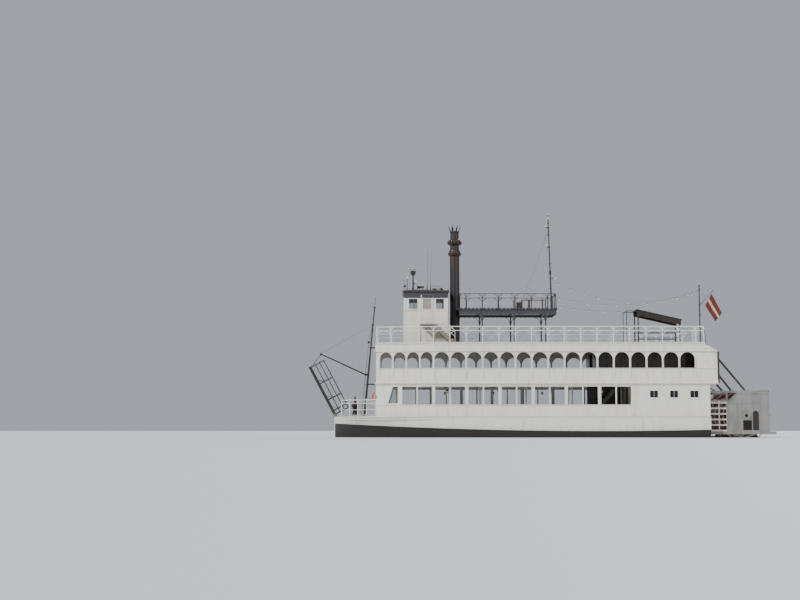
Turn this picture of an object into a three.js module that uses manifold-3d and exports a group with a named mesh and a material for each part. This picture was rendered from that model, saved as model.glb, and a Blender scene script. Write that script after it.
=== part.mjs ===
// A sternwheel paddle boat with three decks, a tall smokestack and a raised landing stage at the bow.
// Millimetres. +X is forward, +Y to port and +Z up, from the centreline at the waterline amidships.
import * as THREE from "three";
import { mergeVertices } from "three/addons/utils/BufferGeometryUtils.js";
import Module from "manifold-3d";

const wasm = await Module();
wasm.setup();

// Pieces that rest on each other keep this gap.
const GAP = 0.3;
// A turning leaf keeps this gap to its frame.
const CLEAR = 8;
const ARC_STEPS = 4;
const ROUND = 16;

// Heights above the water.
const LEVEL = {
  mainDeck: 1450,
  mainSill: 2230,
  mainHead: 3460,
  secondUnder: 3620,
  secondDeck: 3800,
  bulwarkTop: 4710,
  archTop: 5800,
  fasciaUnder: 5840,
  topUnder: 6250,
  topDeck: 6400,
  railTop: 7580,
  bridgeFloor: 7850,
  bridgeSill: 8960,
  bridgeHead: 9670,
  bridgeTop: 10150,
  roofTop: 10420,
};

// Places along the boat.
const AT = {
  transom: -12720,
  stern: -13230,
  topStern: -12440,
  arcadeStern: -11760,
  saloonFront: -5200,
  engineRoom: -7500,
  firstColumn: -7450,
  shoulder: 6080,
  front: 10000,
  bow: 12950,
};

// The decks keep their full width up to the shoulder and narrow from there to the front.
const DECK = { half: 4030, taper: 0.17, lip: 50 };
const TAPER_COS = 1 / Math.hypot(1, DECK.taper);
const MAIN_WALL = { inset: 80, thick: 60 };
const ARCADE = { inset: 40, thick: 60, column: 120, bays: 16, foreBays: 4, forePitch: 940 };
const COLUMN = { half: 110, postHalf: 45, bays: 6 };
const RAIL = { inset: 60, thick: 50, post: 60, toe: 80, secondUnder: 860, secondTop: 900, topUnder: 1120 };
const FORE_RAIL = { thick: 50, post: 50, toe: 60, secondUnder: 880, secondTop: 920, topUnder: 1110, height: 1160 };
const DOOR = { thick: 40, lug: 60, lift: 10 };
const FASCIA = 60;

const WELL_HALF = 520;
const STAIR_HALF = 450;
const UPPER_STAIR = { foot: -11350, head: -8650, steps: 13 };
const LOWER_STAIR = { foot: -4950, head: -7150, steps: 11 };
const UPPER_WELL_AFT = -11250;
const LOWER_WELL_FORE = -5250;

const PILOTHOUSE = { aft: 5010, fore: 8080, half: 1600, wall: 50 };
const SIDE_DOOR = { aft: 6050, fore: 6870, top: 9950 };
const PLATFORM = { aft: -2600, fore: 4190, half: 1600, under: 8620, slab: 8750, floor: 8850, top: 8930 };
const PLATFORM_RAIL = { post: 50, toe: 40, under: 1110, height: 1140, starboardAft: 190 };
const STACK = { x: 4455, radius: 344, clear: 31 };
const MAST = { foot: -2460, head: -2250, base: 8950, top: 16030, footRadius: 60, headRadius: 32 };
const DERRICK = { foot: 10886, rake: 0.0913, top: 9900, footRadius: 85, headRadius: 35 };
const BOOM = { heel: 10800, heelHeight: 4420, length: 3490, rise: 24.7, half: 50, pin: 20 };
const STAGE = { pivot: 12970, pivotHeight: 1600, length: 3790, rise: 62, half: 560, beam: 60, pin: 28 };
const POLE = { x: -12150, y: 3760, top: 10400, radius: 45 };
const WHEEL = {
  x: -15350, z: 1500, radius: 1750, half: 2750, spokes: 12, shaft: 90,
  rim: 1500, ring: 1400, hub: 320, spokeHalf: 45, boardRoot: 1430, board: 50,
};
const FRAME = { inner: 2940, outer: 3060, housingHalf: 80 };
const RUDDER = { x: -12980, y: 2000, stock: 45, head: 300, foot: -1000 };
const CAPSTAN = { x: 11550, base: 1520 };

const FINISH = {
  white: new THREE.MeshStandardMaterial({ color: 0xe9e7e0, roughness: 0.5 }),
  deck: new THREE.MeshStandardMaterial({ color: 0x8d8578, roughness: 0.8 }),
  dark: new THREE.MeshStandardMaterial({ color: 0x2b2320, roughness: 0.6 }),
  wood: new THREE.MeshStandardMaterial({ color: 0x6f4a2f, roughness: 0.7 }),
  steel: new THREE.MeshStandardMaterial({ color: 0x8a8d8f, roughness: 0.5, metalness: 0.6 }),
  red: new THREE.MeshStandardMaterial({ color: 0x9c2b26, roughness: 0.8 }),
};

const boat = new THREE.Group();
const starboardSide = new THREE.Group();
starboardSide.scale.y = -1;
boat.add(starboardSide);

// A closed geometry as a solid that can be joined and cut.
function solid(geometry) {
  const loose = geometry.index ? geometry.toNonIndexed() : geometry;
  const bare = new THREE.BufferGeometry();
  bare.setAttribute("position", loose.getAttribute("position"));
  const merged = mergeVertices(bare, 1e-3);
  const mesh = new wasm.Mesh({
    numProp: 3,
    vertProperties: merged.attributes.position.array,
    triVerts: new Uint32Array(merged.index.array),
  });
  return new wasm.Manifold(mesh);
}

function join(solids) {
  return solids.reduce((whole, next) => whole.add(next));
}

function geometryOf(shape) {
  const mesh = shape.getMesh();
  const geometry = new THREE.BufferGeometry();
  geometry.setAttribute("position", new THREE.BufferAttribute(mesh.vertProperties, mesh.numProp));
  geometry.setIndex(new THREE.BufferAttribute(mesh.triVerts, 1));
  geometry.computeVertexNormals();
  return geometry;
}

// The same solid on the other side of the centreline, with its faces turned back outward.
function otherSide(shape) {
  const mesh = shape.getMesh();
  const geometry = new THREE.BufferGeometry();
  const points = mesh.vertProperties.map((value, i) => (i % mesh.numProp === 1 ? -value : value));
  const faces = mesh.triVerts.map((_, i) => mesh.triVerts[i + 2 - 2 * (i % 3)]);
  geometry.setAttribute("position", new THREE.BufferAttribute(points, 3));
  geometry.setIndex(new THREE.BufferAttribute(faces, 1));
  return solid(geometry);
}

function add(name, shape, finish, group = boat) {
  const mesh = new THREE.Mesh(geometryOf(shape), FINISH[finish]);
  mesh.name = name;
  group.add(mesh);
}

function addPair(name, shape, finish) {
  add(name + "_port", shape, finish);
  add(name + "_starboard", shape, finish, starboardSide);
}

function box(x0, x1, y0, y1, z0, z1) {
  const geometry = new THREE.BoxGeometry(x1 - x0, y1 - y0, z1 - z0);
  geometry.translate((x0 + x1) / 2, (y0 + y1) / 2, (z0 + z1) / 2);
  return solid(geometry);
}

function rod(from, to, radius, endRadius = radius, sides = ROUND) {
  const start = new THREE.Vector3(...from);
  const end = new THREE.Vector3(...to);
  const along = end.clone().sub(start);
  const geometry = new THREE.CylinderGeometry(endRadius, radius, along.length(), sides);
  const turn = new THREE.Quaternion().setFromUnitVectors(new THREE.Vector3(0, 1, 0), along.normalize());
  geometry.applyQuaternion(turn);
  geometry.translate(...start.add(end).multiplyScalar(0.5).toArray());
  return solid(geometry);
}

function beam(from, to, width, depth) {
  const start = new THREE.Vector3(...from);
  const end = new THREE.Vector3(...to);
  const along = end.clone().sub(start);
  const geometry = new THREE.BoxGeometry(along.length(), width, depth);
  const turn = new THREE.Quaternion().setFromUnitVectors(new THREE.Vector3(1, 0, 0), along.normalize());
  geometry.applyQuaternion(turn);
  geometry.translate(...start.add(end).multiplyScalar(0.5).toArray());
  return solid(geometry);
}

// A turned solid on a vertical axis, from radius and height pairs that start and end on the axis.
function turned(x, profile, sides = ROUND) {
  const points = profile.map(([radius, height]) => new THREE.Vector2(radius, height));
  const geometry = new THREE.LatheGeometry(points, sides);
  geometry.rotateX(Math.PI / 2);
  geometry.translate(x, 0, 0);
  return solid(geometry);
}

const points2 = (pairs) => pairs.map(([a, b]) => new THREE.Vector2(a, b));
const outline = (pairs, holes = []) => Object.assign(new THREE.Shape(points2(pairs)), { holes });
const rectangle = (a0, b0, a1, b1) => [[a0, b0], [a1, b0], [a1, b1], [a0, b1]];
const opening = (a0, b0, a1, b1) => new THREE.Path(points2(rectangle(a0, b0, a1, b1)));

function archway(a0, a1, sill, top) {
  const radius = (a1 - a0) / 2;
  const path = new THREE.Path();
  path.moveTo(a0, sill);
  path.lineTo(a1, sill);
  path.lineTo(a1, top - radius);
  path.absarc((a0 + a1) / 2, top - radius, radius, 0, Math.PI, false);
  return path;
}

// A sheet of even thickness with its openings cut out, put in place by a matrix.
function sheet(shape, thick, place) {
  const extrude = (drawn, from, depth) => {
    const outer = new THREE.Shape(drawn.getPoints(ARC_STEPS));
    const geometry = new THREE.ExtrudeGeometry(outer, { depth, bevelEnabled: false });
    geometry.translate(0, 0, from);
    geometry.applyMatrix4(place);
    return solid(geometry);
  };
  const whole = extrude(shape, 0, thick);
  const cuts = shape.holes.map((hole) => extrude(hole, -5, thick + 10));
  return cuts.length ? whole.subtract(join(cuts)) : whole;
}

// An upright sheet from one plan point towards another, with its thickness to the right of that way.
// Its outline is drawn in distance along the way and height above the water.
function plate(shape, thick, [x0, y0], [x1, y1]) {
  const along = new THREE.Vector3(x1 - x0, y1 - y0, 0).normalize();
  const up = new THREE.Vector3(0, 0, 1);
  const through = new THREE.Vector3().crossVectors(along, up);
  return sheet(shape, thick, new THREE.Matrix4().makeBasis(along, up, through).setPosition(x0, y0, 0));
}

// A level sheet from its plan outline.
function slab(shape, z0, z1) {
  return sheet(shape, z1 - z0, new THREE.Matrix4().makeTranslation(0, 0, z0));
}

// A profile in length and height, carried across the boat from y0 to y1.
function acrossBoat(pairs, y0, y1) {
  return plate(outline(pairs), y1 - y0, [0, y1], [1, y1]);
}

const halfWidth = (x, inset) => DECK.half - inset - Math.max(0, x - AT.shoulder) * DECK.taper;

function deckOutline(aft, fore, inset = 0) {
  const corners = [[aft, halfWidth(aft, inset)], [AT.shoulder, halfWidth(AT.shoulder, inset)], [fore, halfWidth(fore, inset)]];
  const mirrored = corners.map(([x, y]) => [x, -y]).reverse();
  return [...corners, ...mirrored].reverse();
}

// Half the width left between the fore parts of two side walls.
const innerHalf = (x, wall) => halfWidth(x, wall.inset) - wall.thick / TAPER_COS - GAP;

const foreLength = (fore) => (fore - AT.shoulder) / TAPER_COS;

// A side wall: a straight sheet to the shoulder and a second one from there to the front.
function sideWall(wall, aft, z0, z1, straightHoles, foreHoles) {
  const shoulder = [AT.shoulder, halfWidth(AT.shoulder, wall.inset)];
  const front = [AT.front, halfWidth(AT.front, wall.inset)];
  const straight = outline(rectangle(0, z0, AT.shoulder - aft, z1), straightHoles);
  const fore = outline(rectangle(0, z0, foreLength(AT.front), z1), foreHoles);
  return join([
    plate(straight, wall.thick, [aft, shoulder[1]], shoulder),
    plate(fore, wall.thick, shoulder, front),
  ]);
}

// Hull stations. Columns: place, keel height, bilge half width and height, half widths at the boot top and deck.
const STATIONS = [
  [AT.transom, -300, 3700, -150, 4000, 4000],
  [-10500, -1000, 3650, -700, 4000, 4000],
  [-7000, -1250, 3650, -900, 4000, 4000],
  [4000, -1250, 3650, -900, 4000, 4000],
  [7000, -1250, 3300, -850, 3800, 4000],
  [9500, -1200, 2300, -750, 2950, 3560],
  [11300, -1050, 1200, -650, 1700, 2620],
  [12400, -850, 450, -500, 760, 1560],
  [AT.bow, -700, 60, -400, 130, 800],
];
const BOOT_TOP = 450;
const KEEL = { aft: -9500, fore: 10500, half: 60, bottom: -1400, top: -1100 };

// Rings of equal length joined into one closed body, each end closed by a fan.
function loft(rings) {
  const count = rings[0].length;
  const faces = [];
  for (let r = 0; r + 1 < rings.length; r++) {
    for (let i = 0; i < count; i++) {
      const j = (i + 1) % count;
      const a = r * count;
      const b = a + count;
      faces.push(a + i, b + i, b + j, a + i, b + j, a + j);
    }
  }
  const last = (rings.length - 1) * count;
  for (let i = 1; i + 1 < count; i++) {
    faces.push(0, i, i + 1, last, last + i + 1, last + i);
  }
  const geometry = new THREE.BufferGeometry();
  geometry.setAttribute("position", new THREE.Float32BufferAttribute(rings.flat(2), 3));
  geometry.setIndex(faces);
  return solid(geometry);
}

function hull() {
  const rings = STATIONS.map(([x, keel, bilgeHalf, bilge, sideHalf, deckHalf]) => {
    const port = [[x, deckHalf, LEVEL.mainDeck], [x, sideHalf, BOOT_TOP], [x, bilgeHalf, bilge]];
    const starboard = port.map(([px, y, z]) => [px, -y, z]).reverse();
    return [...port, [x, 0, keel], ...starboard];
  });
  const pin = [STAGE.pivot, STAGE.half - 50, STAGE.pivotHeight];
  const pinEnd = [STAGE.pivot, STAGE.half + 50, STAGE.pivotHeight];
  const lug = join([
    box(12860, 13030, STAGE.half + GAP, STAGE.half + 60, LEVEL.mainDeck - 100, STAGE.pivotHeight + 70),
    rod(pin, pinEnd, STAGE.pin),
  ]);
  const rudderLug = box(RUDDER.x - 90, AT.transom + 50, RUDDER.y - 60, RUDDER.y + 60, RUDDER.head, RUDDER.head + 120);
  return join([
    loft(rings),
    box(KEEL.aft, KEEL.fore, -KEEL.half, KEEL.half, KEEL.bottom, KEEL.top),
    rod([CAPSTAN.x, 0, LEVEL.mainDeck - 20], [CAPSTAN.x, 0, CAPSTAN.base], 280),
    lug,
    otherSide(lug),
    rudderLug,
    otherSide(rudderLug),
  ]);
}

// Main deck: side openings between columns, each split by a thin post, and small stern windows.
const STERN_WINDOW = { centres: [-11630, -10250, -8890], half: 270, z0: 2710, z1: 3170 };
const MAIN_AFT = AT.transom + 20;

function bayOpenings(start, pitch, bays) {
  const middle = pitch / 2;
  return Array.from({ length: bays }, (_, bay) => start + bay * pitch).flatMap((s) => [
    opening(s + COLUMN.half, LEVEL.mainSill, s + middle - COLUMN.postHalf, LEVEL.mainHead),
    opening(s + middle + COLUMN.postHalf, LEVEL.mainSill, s + pitch - COLUMN.half, LEVEL.mainHead),
  ]);
}

function mainWall() {
  const pitch = (AT.shoulder - AT.firstColumn) / COLUMN.bays;
  const windows = STERN_WINDOW.centres.map((x) => {
    const s = x - MAIN_AFT;
    return opening(s - STERN_WINDOW.half, STERN_WINDOW.z0, s + STERN_WINDOW.half, STERN_WINDOW.z1);
  });
  const straight = [...windows, ...bayOpenings(AT.firstColumn - MAIN_AFT, pitch, COLUMN.bays)];
  const raked = new THREE.Path(points2([
    [2460, LEVEL.mainSill + 90],
    [3150, LEVEL.mainSill + 90],
    [2800, LEVEL.mainHead],
    [2460, LEVEL.mainHead],
  ]));
  const fore = [...bayOpenings(0, pitch + 20, 1), raked];
  return sideWall(MAIN_WALL, MAIN_AFT, LEVEL.mainDeck + GAP, LEVEL.secondUnder - GAP, straight, fore);
}

function mainFrontWall() {
  const x = AT.front - 60;
  const half = innerHalf(x, MAIN_WALL);
  const z0 = LEVEL.mainDeck + GAP;
  const z1 = LEVEL.secondUnder - GAP;
  const door = 750;
  const edge = [[-half, z0], [-door, z0], [-door, 3450], [door, 3450], [door, z0], [half, z0], [half, z1], [-half, z1]];
  const windows = [-2750, -1850, 1150, 2050].map((y) => opening(y, LEVEL.mainSill, y + 700, LEVEL.mainHead - 100));
  return plate(outline(edge, windows), MAIN_WALL.thick, [x - MAIN_WALL.thick, 0], [x - MAIN_WALL.thick, 1]);
}

const MAIN_INNER = DECK.half - MAIN_WALL.inset - MAIN_WALL.thick - GAP;

function mainAftWall() {
  const windows = [-2400, 1800].map((y) => opening(y, STERN_WINDOW.z0, y + 600, STERN_WINDOW.z1));
  const edge = rectangle(-MAIN_INNER, LEVEL.mainDeck + GAP, MAIN_INNER, LEVEL.secondUnder - GAP);
  return plate(outline(edge, windows), MAIN_WALL.thick, [MAIN_AFT + 20, 0], [MAIN_AFT + 20, 1]);
}

// The engine room door stands in the forward bulkhead of the engine room and opens forward.
const ENGINE_DOOR = { y0: 1200, y1: 2100, top: 3450, sill: 1480 };

function engineBulkhead() {
  const gap = opening(ENGINE_DOOR.y0, ENGINE_DOOR.sill, ENGINE_DOOR.y1, ENGINE_DOOR.top);
  const edge = rectangle(-MAIN_INNER, LEVEL.mainDeck + GAP, MAIN_INNER, LEVEL.secondUnder - GAP);
  const sheet = plate(outline(edge, [gap]), MAIN_WALL.thick, [AT.engineRoom, 0], [AT.engineRoom, 1]);
  const z = ENGINE_DOOR.sill;
  const front = AT.engineRoom + MAIN_WALL.thick;
  const lug = box(front - DOOR.thick, front, ENGINE_DOOR.y0 - 5, ENGINE_DOOR.y0 + DOOR.lug, z - 5, z + DOOR.lift - GAP);
  return join([sheet, lug]);
}

function engineRoomDoor() {
  const front = AT.engineRoom + MAIN_WALL.thick;
  const z0 = ENGINE_DOOR.sill + DOOR.lift;
  return box(front - DOOR.thick, front, ENGINE_DOOR.y0 + CLEAR, ENGINE_DOOR.y1 - CLEAR, z0, ENGINE_DOOR.top - CLEAR);
}

// A flight of steps with a sloping underside. Its foot may lie forward or aft of its head.
function flight(foot, head, z0, z1, steps, y0, y1, cover = 60) {
  const run = (head - foot) / steps;
  const rise = (z1 - z0) / steps;
  const treads = Array.from({ length: steps }, (_, i) => [
    [foot + i * run, z0 + i * rise],
    [foot + i * run, z0 + (i + 1) * rise],
  ]).flat();
  const under = [[head, z1], [head, z1 - rise - cover], [foot + run + (cover * run) / rise, z0]];
  return acrossBoat([...treads, ...under], y0, y1);
}

function secondDeck() {
  const well = opening(LOWER_STAIR.head, -WELL_HALF, LOWER_WELL_FORE, WELL_HALF);
  const edge = deckOutline(AT.stern - 20, AT.front + DECK.lip);
  return slab(outline(edge, [well]), LEVEL.secondUnder, LEVEL.secondDeck);
}

// Second deck: bulwark below and a row of round arches on thin columns above it.
function archRow(start, pitch, bays) {
  return Array.from({ length: bays }, (_, bay) => {
    const s = start + bay * pitch;
    return archway(s + ARCADE.column / 2, s + pitch - ARCADE.column / 2, LEVEL.bulwarkTop, LEVEL.archTop);
  });
}

function arcade() {
  const pitch = (AT.shoulder - AT.arcadeStern) / ARCADE.bays;
  const straight = archRow(AT.arcadeStern - AT.stern, pitch, ARCADE.bays);
  const fore = archRow(0, ARCADE.forePitch, ARCADE.foreBays);
  return sideWall(ARCADE, AT.stern, LEVEL.secondDeck + GAP, LEVEL.fasciaUnder - GAP, straight, fore);
}

function frontArcade() {
  const x = AT.front - 60;
  const half = innerHalf(x, ARCADE);
  const bays = 6;
  const pitch = (2 * half - ARCADE.column) / bays;
  const edge = rectangle(-half, LEVEL.secondDeck + GAP, half, LEVEL.fasciaUnder - GAP);
  const holes = archRow(-half + ARCADE.column / 2, pitch, bays);
  return plate(outline(edge, holes), ARCADE.thick, [x - ARCADE.thick, 0], [x - ARCADE.thick, 1]);
}

function sternWall() {
  const half = DECK.half - ARCADE.inset - ARCADE.thick - GAP;
  const windows = [-2600, -450, 1700].map((y) => opening(y, 4750, y + 900, 5450));
  const edge = rectangle(-half, LEVEL.secondDeck + GAP, half, LEVEL.fasciaUnder - GAP);
  return plate(outline(edge, windows), ARCADE.thick, [AT.stern, 0], [AT.stern, 1]);
}

// Partitions of the saloon round the stairs, with a doorway at each end.
const SALOON = { aft: -12300, half: 2400, wall: 50, door: 600, doorTop: 5850 };

function saloonWalls() {
  const z0 = LEVEL.secondDeck + GAP;
  const z1 = LEVEL.topUnder - GAP;
  const { aft, half, wall, door, doorTop } = SALOON;
  const side = box(aft, AT.saloonFront, half - wall, half, z0, z1);
  const edge = [[-half, z0], [-door, z0], [-door, doorTop], [door, doorTop], [door, z0], [half, z0], [half, z1], [-half, z1]];
  return join([
    side,
    otherSide(side),
    plate(outline(edge), wall, [AT.saloonFront - wall, 0], [AT.saloonFront - wall, 1]),
    plate(outline(edge), wall, [aft, 0], [aft, 1]),
  ]);
}

function topDeck() {
  const edge = deckOutline(AT.topStern, AT.front + DECK.lip);
  const well = opening(UPPER_WELL_AFT, -WELL_HALF, UPPER_STAIR.head, WELL_HALF);
  return slab(outline(edge, [well]), LEVEL.topUnder, LEVEL.topDeck);
}

// The fascia hangs under the edge of the top deck and rests on the arcades.
function topFascia() {
  const fore = AT.front + DECK.lip;
  const edge = deckOutline(AT.topStern, fore);
  const inside = new THREE.Path(points2(deckOutline(AT.topStern + FASCIA, fore - FASCIA, FASCIA)));
  return slab(outline(edge, [inside]), LEVEL.fasciaUnder, LEVEL.topUnder - GAP);
}

function sternApron() {
  const z0 = LEVEL.fasciaUnder + GAP;
  const edge = AT.stern - 20;
  const fore = AT.topStern - GAP;
  return acrossBoat([[edge, z0], [fore, z0], [fore, LEVEL.topDeck - 50], [edge, z0 + 40]], -DECK.half, DECK.half);
}

// A railing sheet: posts with a toe board, a second rail and a top rail.
function railSheet(posts, base, sizes, height) {
  const half = sizes.post / 2;
  const holes = posts.slice(1).flatMap((s, i) => [
    opening(posts[i] + half, base + sizes.toe, s - half, base + sizes.secondUnder),
    opening(posts[i] + half, base + sizes.secondTop, s - half, base + sizes.topUnder),
  ]);
  return outline(rectangle(posts[0] - half, base, posts.at(-1) + half, base + height), holes);
}

const evenPosts = (from, to, bays) => Array.from({ length: bays + 1 }, (_, i) => from + ((to - from) * i) / bays);

function topRailing() {
  const base = LEVEL.topDeck + GAP;
  const height = LEVEL.railTop - LEVEL.topDeck;
  const half = RAIL.post / 2;
  const aft = AT.topStern + 60;
  const shoulder = [AT.shoulder, halfWidth(AT.shoulder, RAIL.inset)];
  const front = [AT.front, halfWidth(AT.front, RAIL.inset)];
  const pitch = (AT.shoulder - AT.arcadeStern) / ARCADE.bays;
  const alongPosts = [half, ...evenPosts(0, ARCADE.bays, ARCADE.bays / 2).map((k) => AT.arcadeStern - aft + k * pitch)];
  const forePosts = evenPosts(half, foreLength(AT.front) - half, 2);
  const endHalf = shoulder[1] - half;
  const frontHalf = innerHalf(front[0], RAIL) - half + 20;
  const side = join([
    plate(railSheet(alongPosts, base, RAIL, height), RAIL.thick, [aft, shoulder[1]], shoulder),
    plate(railSheet(forePosts, base, RAIL, height), RAIL.thick, shoulder, front),
  ]);
  const cornerPost = (x, y) => box(x - 45, x + 45, y - 45, y + 45, base, base + height + 20);
  const middle = RAIL.thick / 2;
  const corners = [
    cornerPost(aft + middle, shoulder[1] - middle),
    cornerPost(AT.shoulder, shoulder[1] - middle),
    cornerPost(front[0] - 40, front[1] - middle),
  ];
  return join([
    side,
    otherSide(side),
    ...corners,
    ...corners.map(otherSide),
    plate(railSheet(evenPosts(-endHalf, endHalf, 4), base, RAIL, height), RAIL.thick, [aft, 0], [aft, 1]),
    plate(railSheet(evenPosts(-frontHalf, frontHalf, 4), base, RAIL, height), RAIL.thick, [front[0] - 60, 0], [front[0] - 60, 1]),
  ]);
}

// Strings of lights. Columns: name, height at the mast, far end, sag and which piece holds the far end.
const STRINGS = [
  ["light_string_upper", 11200, [-12107, 3743, 10060], 1150, "pole"],
  ["light_string_middle", 10040, [-12107, 3743, 9980], 780, "pole"],
  ["light_string_lower", 9390, [-7620, 0, 8904], 120, "hood"],
];
const STRING = { radius: 4, sides: 8, steps: 24 };
const EYE = { radius: 8, reach: 55 };
const mastX = (z) => MAST.foot + ((MAST.head - MAST.foot) * (z - MAST.base)) / (MAST.top - MAST.base);

// The route of a string: a sagging curve from beside the mast to its far end.
function stringRoute([, z, end, sag]) {
  const to = new THREE.Vector3(...end);
  const from = new THREE.Vector3(mastX(z), 0, z);
  from.addScaledVector(new THREE.Vector3(to.x - from.x, to.y, 0).normalize(), 66);
  const middle = from.clone().add(to).multiplyScalar(0.5);
  middle.z -= 2 * sag;
  return new THREE.QuadraticBezierCurve3(from, middle, to);
}

function lightString(route) {
  const section = new THREE.Shape();
  section.absarc(0, 0, STRING.radius, 0, 2 * Math.PI, false);
  return solid(new THREE.ExtrudeGeometry(section, {
    steps: STRING.steps,
    curveSegments: STRING.sides / 2,
    extrudePath: route,
  }));
}

// The short eye that a string is made fast to, in line with the string's end.
function eye(route, t) {
  const outward = route.getTangent(t).multiplyScalar(t === 0 ? -1 : 1);
  const end = route.getPoint(t);
  const seat = end.clone().addScaledVector(outward, GAP);
  return rod(end.addScaledVector(outward, EYE.reach).toArray(), seat.toArray(), EYE.radius, EYE.radius, 8);
}

const farEyes = (holder) => STRINGS.filter((row) => row[4] === holder).map((row) => eye(stringRoute(row), 1));

// The hood over the upper stairs: a roof that slopes down aft, with deep side boards, on four posts.
const HOOD = { aft: -11500, fore: -8400, aftTop: 8290, foreTop: 9000, half: 760, board: 40, drop: 380, frame: -7660 };

function companionHood() {
  const { aft, fore, aftTop, foreTop, half, board, drop, frame } = HOOD;
  const slope = (foreTop - aftTop) / (fore - aft);
  const heightAt = (x) => foreTop + (x - fore) * slope;
  const band = (depth) => [[aft, aftTop - depth], [fore, foreTop - depth], [fore, foreTop], [aft, aftTop]];
  const base = LEVEL.topDeck + GAP;
  const post = (x) => box(x - 35, x + 35, half - 70, half, base, heightAt(x) - 30);
  const rails = [6950, 7350].map((z) => box(-11400, -8480, half - 60, half - 20, z, z + 50));
  const framePost = rod([frame, half - 35, base], [frame, half - 35, 8925], 25, 25, 8);
  const frameBar = rod([frame, half - 35, 8900], [fore - 60, half - 35, foreTop - 80], 25, 25, 8);
  const side = join([
    acrossBoat(band(drop), half - board, half),
    post(-11400),
    post(-8480),
    ...rails,
    framePost,
    frameBar,
  ]);
  return join([
    acrossBoat(band(60), -half, half),
    side,
    otherSide(side),
    rod([frame, -half + 20, 8900], [frame, half - 20, 8900], 25, 25, 8),
    ...farEyes("hood"),
  ]);
}

// Pilothouse: walls that stand on the top deck, a raised floor and a door in each side.
const BRIDGE_WINDOW = { aft: [5290, 5850], fore: [7140, 7740] };

function pilothouseSide() {
  const { aft, fore, half, wall } = PILOTHOUSE;
  const z0 = LEVEL.topDeck + GAP;
  const edge = rectangle(aft + wall + GAP, z0, fore - wall - GAP, LEVEL.bridgeTop - GAP);
  const windows = Object.values(BRIDGE_WINDOW).map(([x0, x1]) => opening(x0, LEVEL.bridgeSill, x1, LEVEL.bridgeHead));
  const doorway = opening(SIDE_DOOR.aft, LEVEL.bridgeFloor + 10, SIDE_DOOR.fore, SIDE_DOOR.top);
  const sheet = plate(outline(edge, [...windows, doorway]), wall, [0, half], [1, half]);
  const z = LEVEL.bridgeFloor + 10;
  const lug = box(SIDE_DOOR.fore - DOOR.lug, SIDE_DOOR.fore + 5, half - DOOR.thick, half, z - 5, z + DOOR.lift - GAP);
  return join([sheet, lug]);
}

function pilothouseDoor() {
  const { half } = PILOTHOUSE;
  const x0 = SIDE_DOOR.aft + CLEAR;
  const x1 = SIDE_DOOR.fore - CLEAR;
  const window = opening(x0 + 110, LEVEL.bridgeSill, x1 - 110, LEVEL.bridgeHead);
  const edge = rectangle(x0, LEVEL.bridgeFloor + 10 + DOOR.lift, x1, SIDE_DOOR.top - CLEAR);
  return plate(outline(edge, [window]), DOOR.thick, [0, half], [1, half]);
}

function pilothouseEnd(x, windows) {
  const { half, wall } = PILOTHOUSE;
  const edge = rectangle(-half, LEVEL.topDeck + GAP, half, LEVEL.bridgeTop - GAP);
  const holes = windows.map(([y0, y1]) => opening(y0, LEVEL.bridgeSill, y1, LEVEL.bridgeHead));
  return plate(outline(edge, holes), wall, [x, 0], [x, 1]);
}

function pilothouseFloor() {
  const { aft, fore, half, wall } = PILOTHOUSE;
  const y = half - wall - GAP;
  return box(aft + wall + GAP, fore - wall - GAP, -y, y, LEVEL.bridgeFloor - 50, LEVEL.bridgeFloor);
}

// The roof curves down at the front into a short visor and is a little crowned across.
function pilothouseRoof() {
  const { aft, half } = PILOTHOUSE;
  const z0 = LEVEL.bridgeTop;
  const z1 = LEVEL.roofTop;
  const side = [[aft - 90, z0], [8170, z0], [8200, z0 + 60], [8150, z0 + 160], [7950, z0 + 230], [7500, z1], [aft - 90, z1 - 70]];
  return acrossBoat(side, -half - 90, half + 90);
}

function pilothouseSteps() {
  const y0 = PILOTHOUSE.half + GAP;
  const y1 = y0 + 850;
  const aft = SIDE_DOOR.aft - 90;
  const fore = SIDE_DOOR.fore + 90;
  const top = LEVEL.bridgeFloor;
  const base = LEVEL.topDeck + GAP;
  return join([
    box(aft - 5, fore, y0, y1, top - 60, top),
    box(fore - 70, fore, y1 - 70, y1, base, top),
    box(aft, aft + 70, y1 - 70, y1, base, top),
    flight(4430, aft, base, top, 7, y0 + 20, y1 - 20),
  ]);
}

// The smokestack with two ring mouldings and a crown of eight feathers that lean outward.
const FEATHERS = { count: 8, base: 275, tip: 520, z0: 14540, z1: 15050 };

function smokestack() {
  const r = STACK.radius;
  const base = LEVEL.topDeck + GAP;
  const tube = turned(STACK.x, [
    [0, base],
    [r + 90, base],
    [r + 90, base + 110],
    [r, base + 150],
    [r, 12900],
    [444, 12960],
    [444, 13240],
    [r - 20, 13300],
    [r - 24, 13640],
    [491, 13720],
    [491, 14010],
    [310, 14090],
    [300, 14650],
    [240, 14650],
    [240, 14200],
    [0, 14200],
  ]);
  const feathers = Array.from({ length: FEATHERS.count }, (_, i) => {
    const angle = ((i + 0.5) / FEATHERS.count) * 2 * Math.PI;
    const at = (radius, z) => [STACK.x + radius * Math.cos(angle), radius * Math.sin(angle), z];
    return rod(at(FEATHERS.base, FEATHERS.z0), at(FEATHERS.tip, FEATHERS.z1), 60, 8, 5);
  });
  return join([tube, ...feathers]);
}

// The gallery platform abaft the stack, on three pairs of posts. Its fore edge is notched round the stack.
function stackNotch() {
  const radius = STACK.radius + STACK.clear;
  return rod([STACK.x, 0, PLATFORM.under - 100], [STACK.x, 0, PLATFORM.top + 1500], radius, radius, 32);
}

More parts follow.
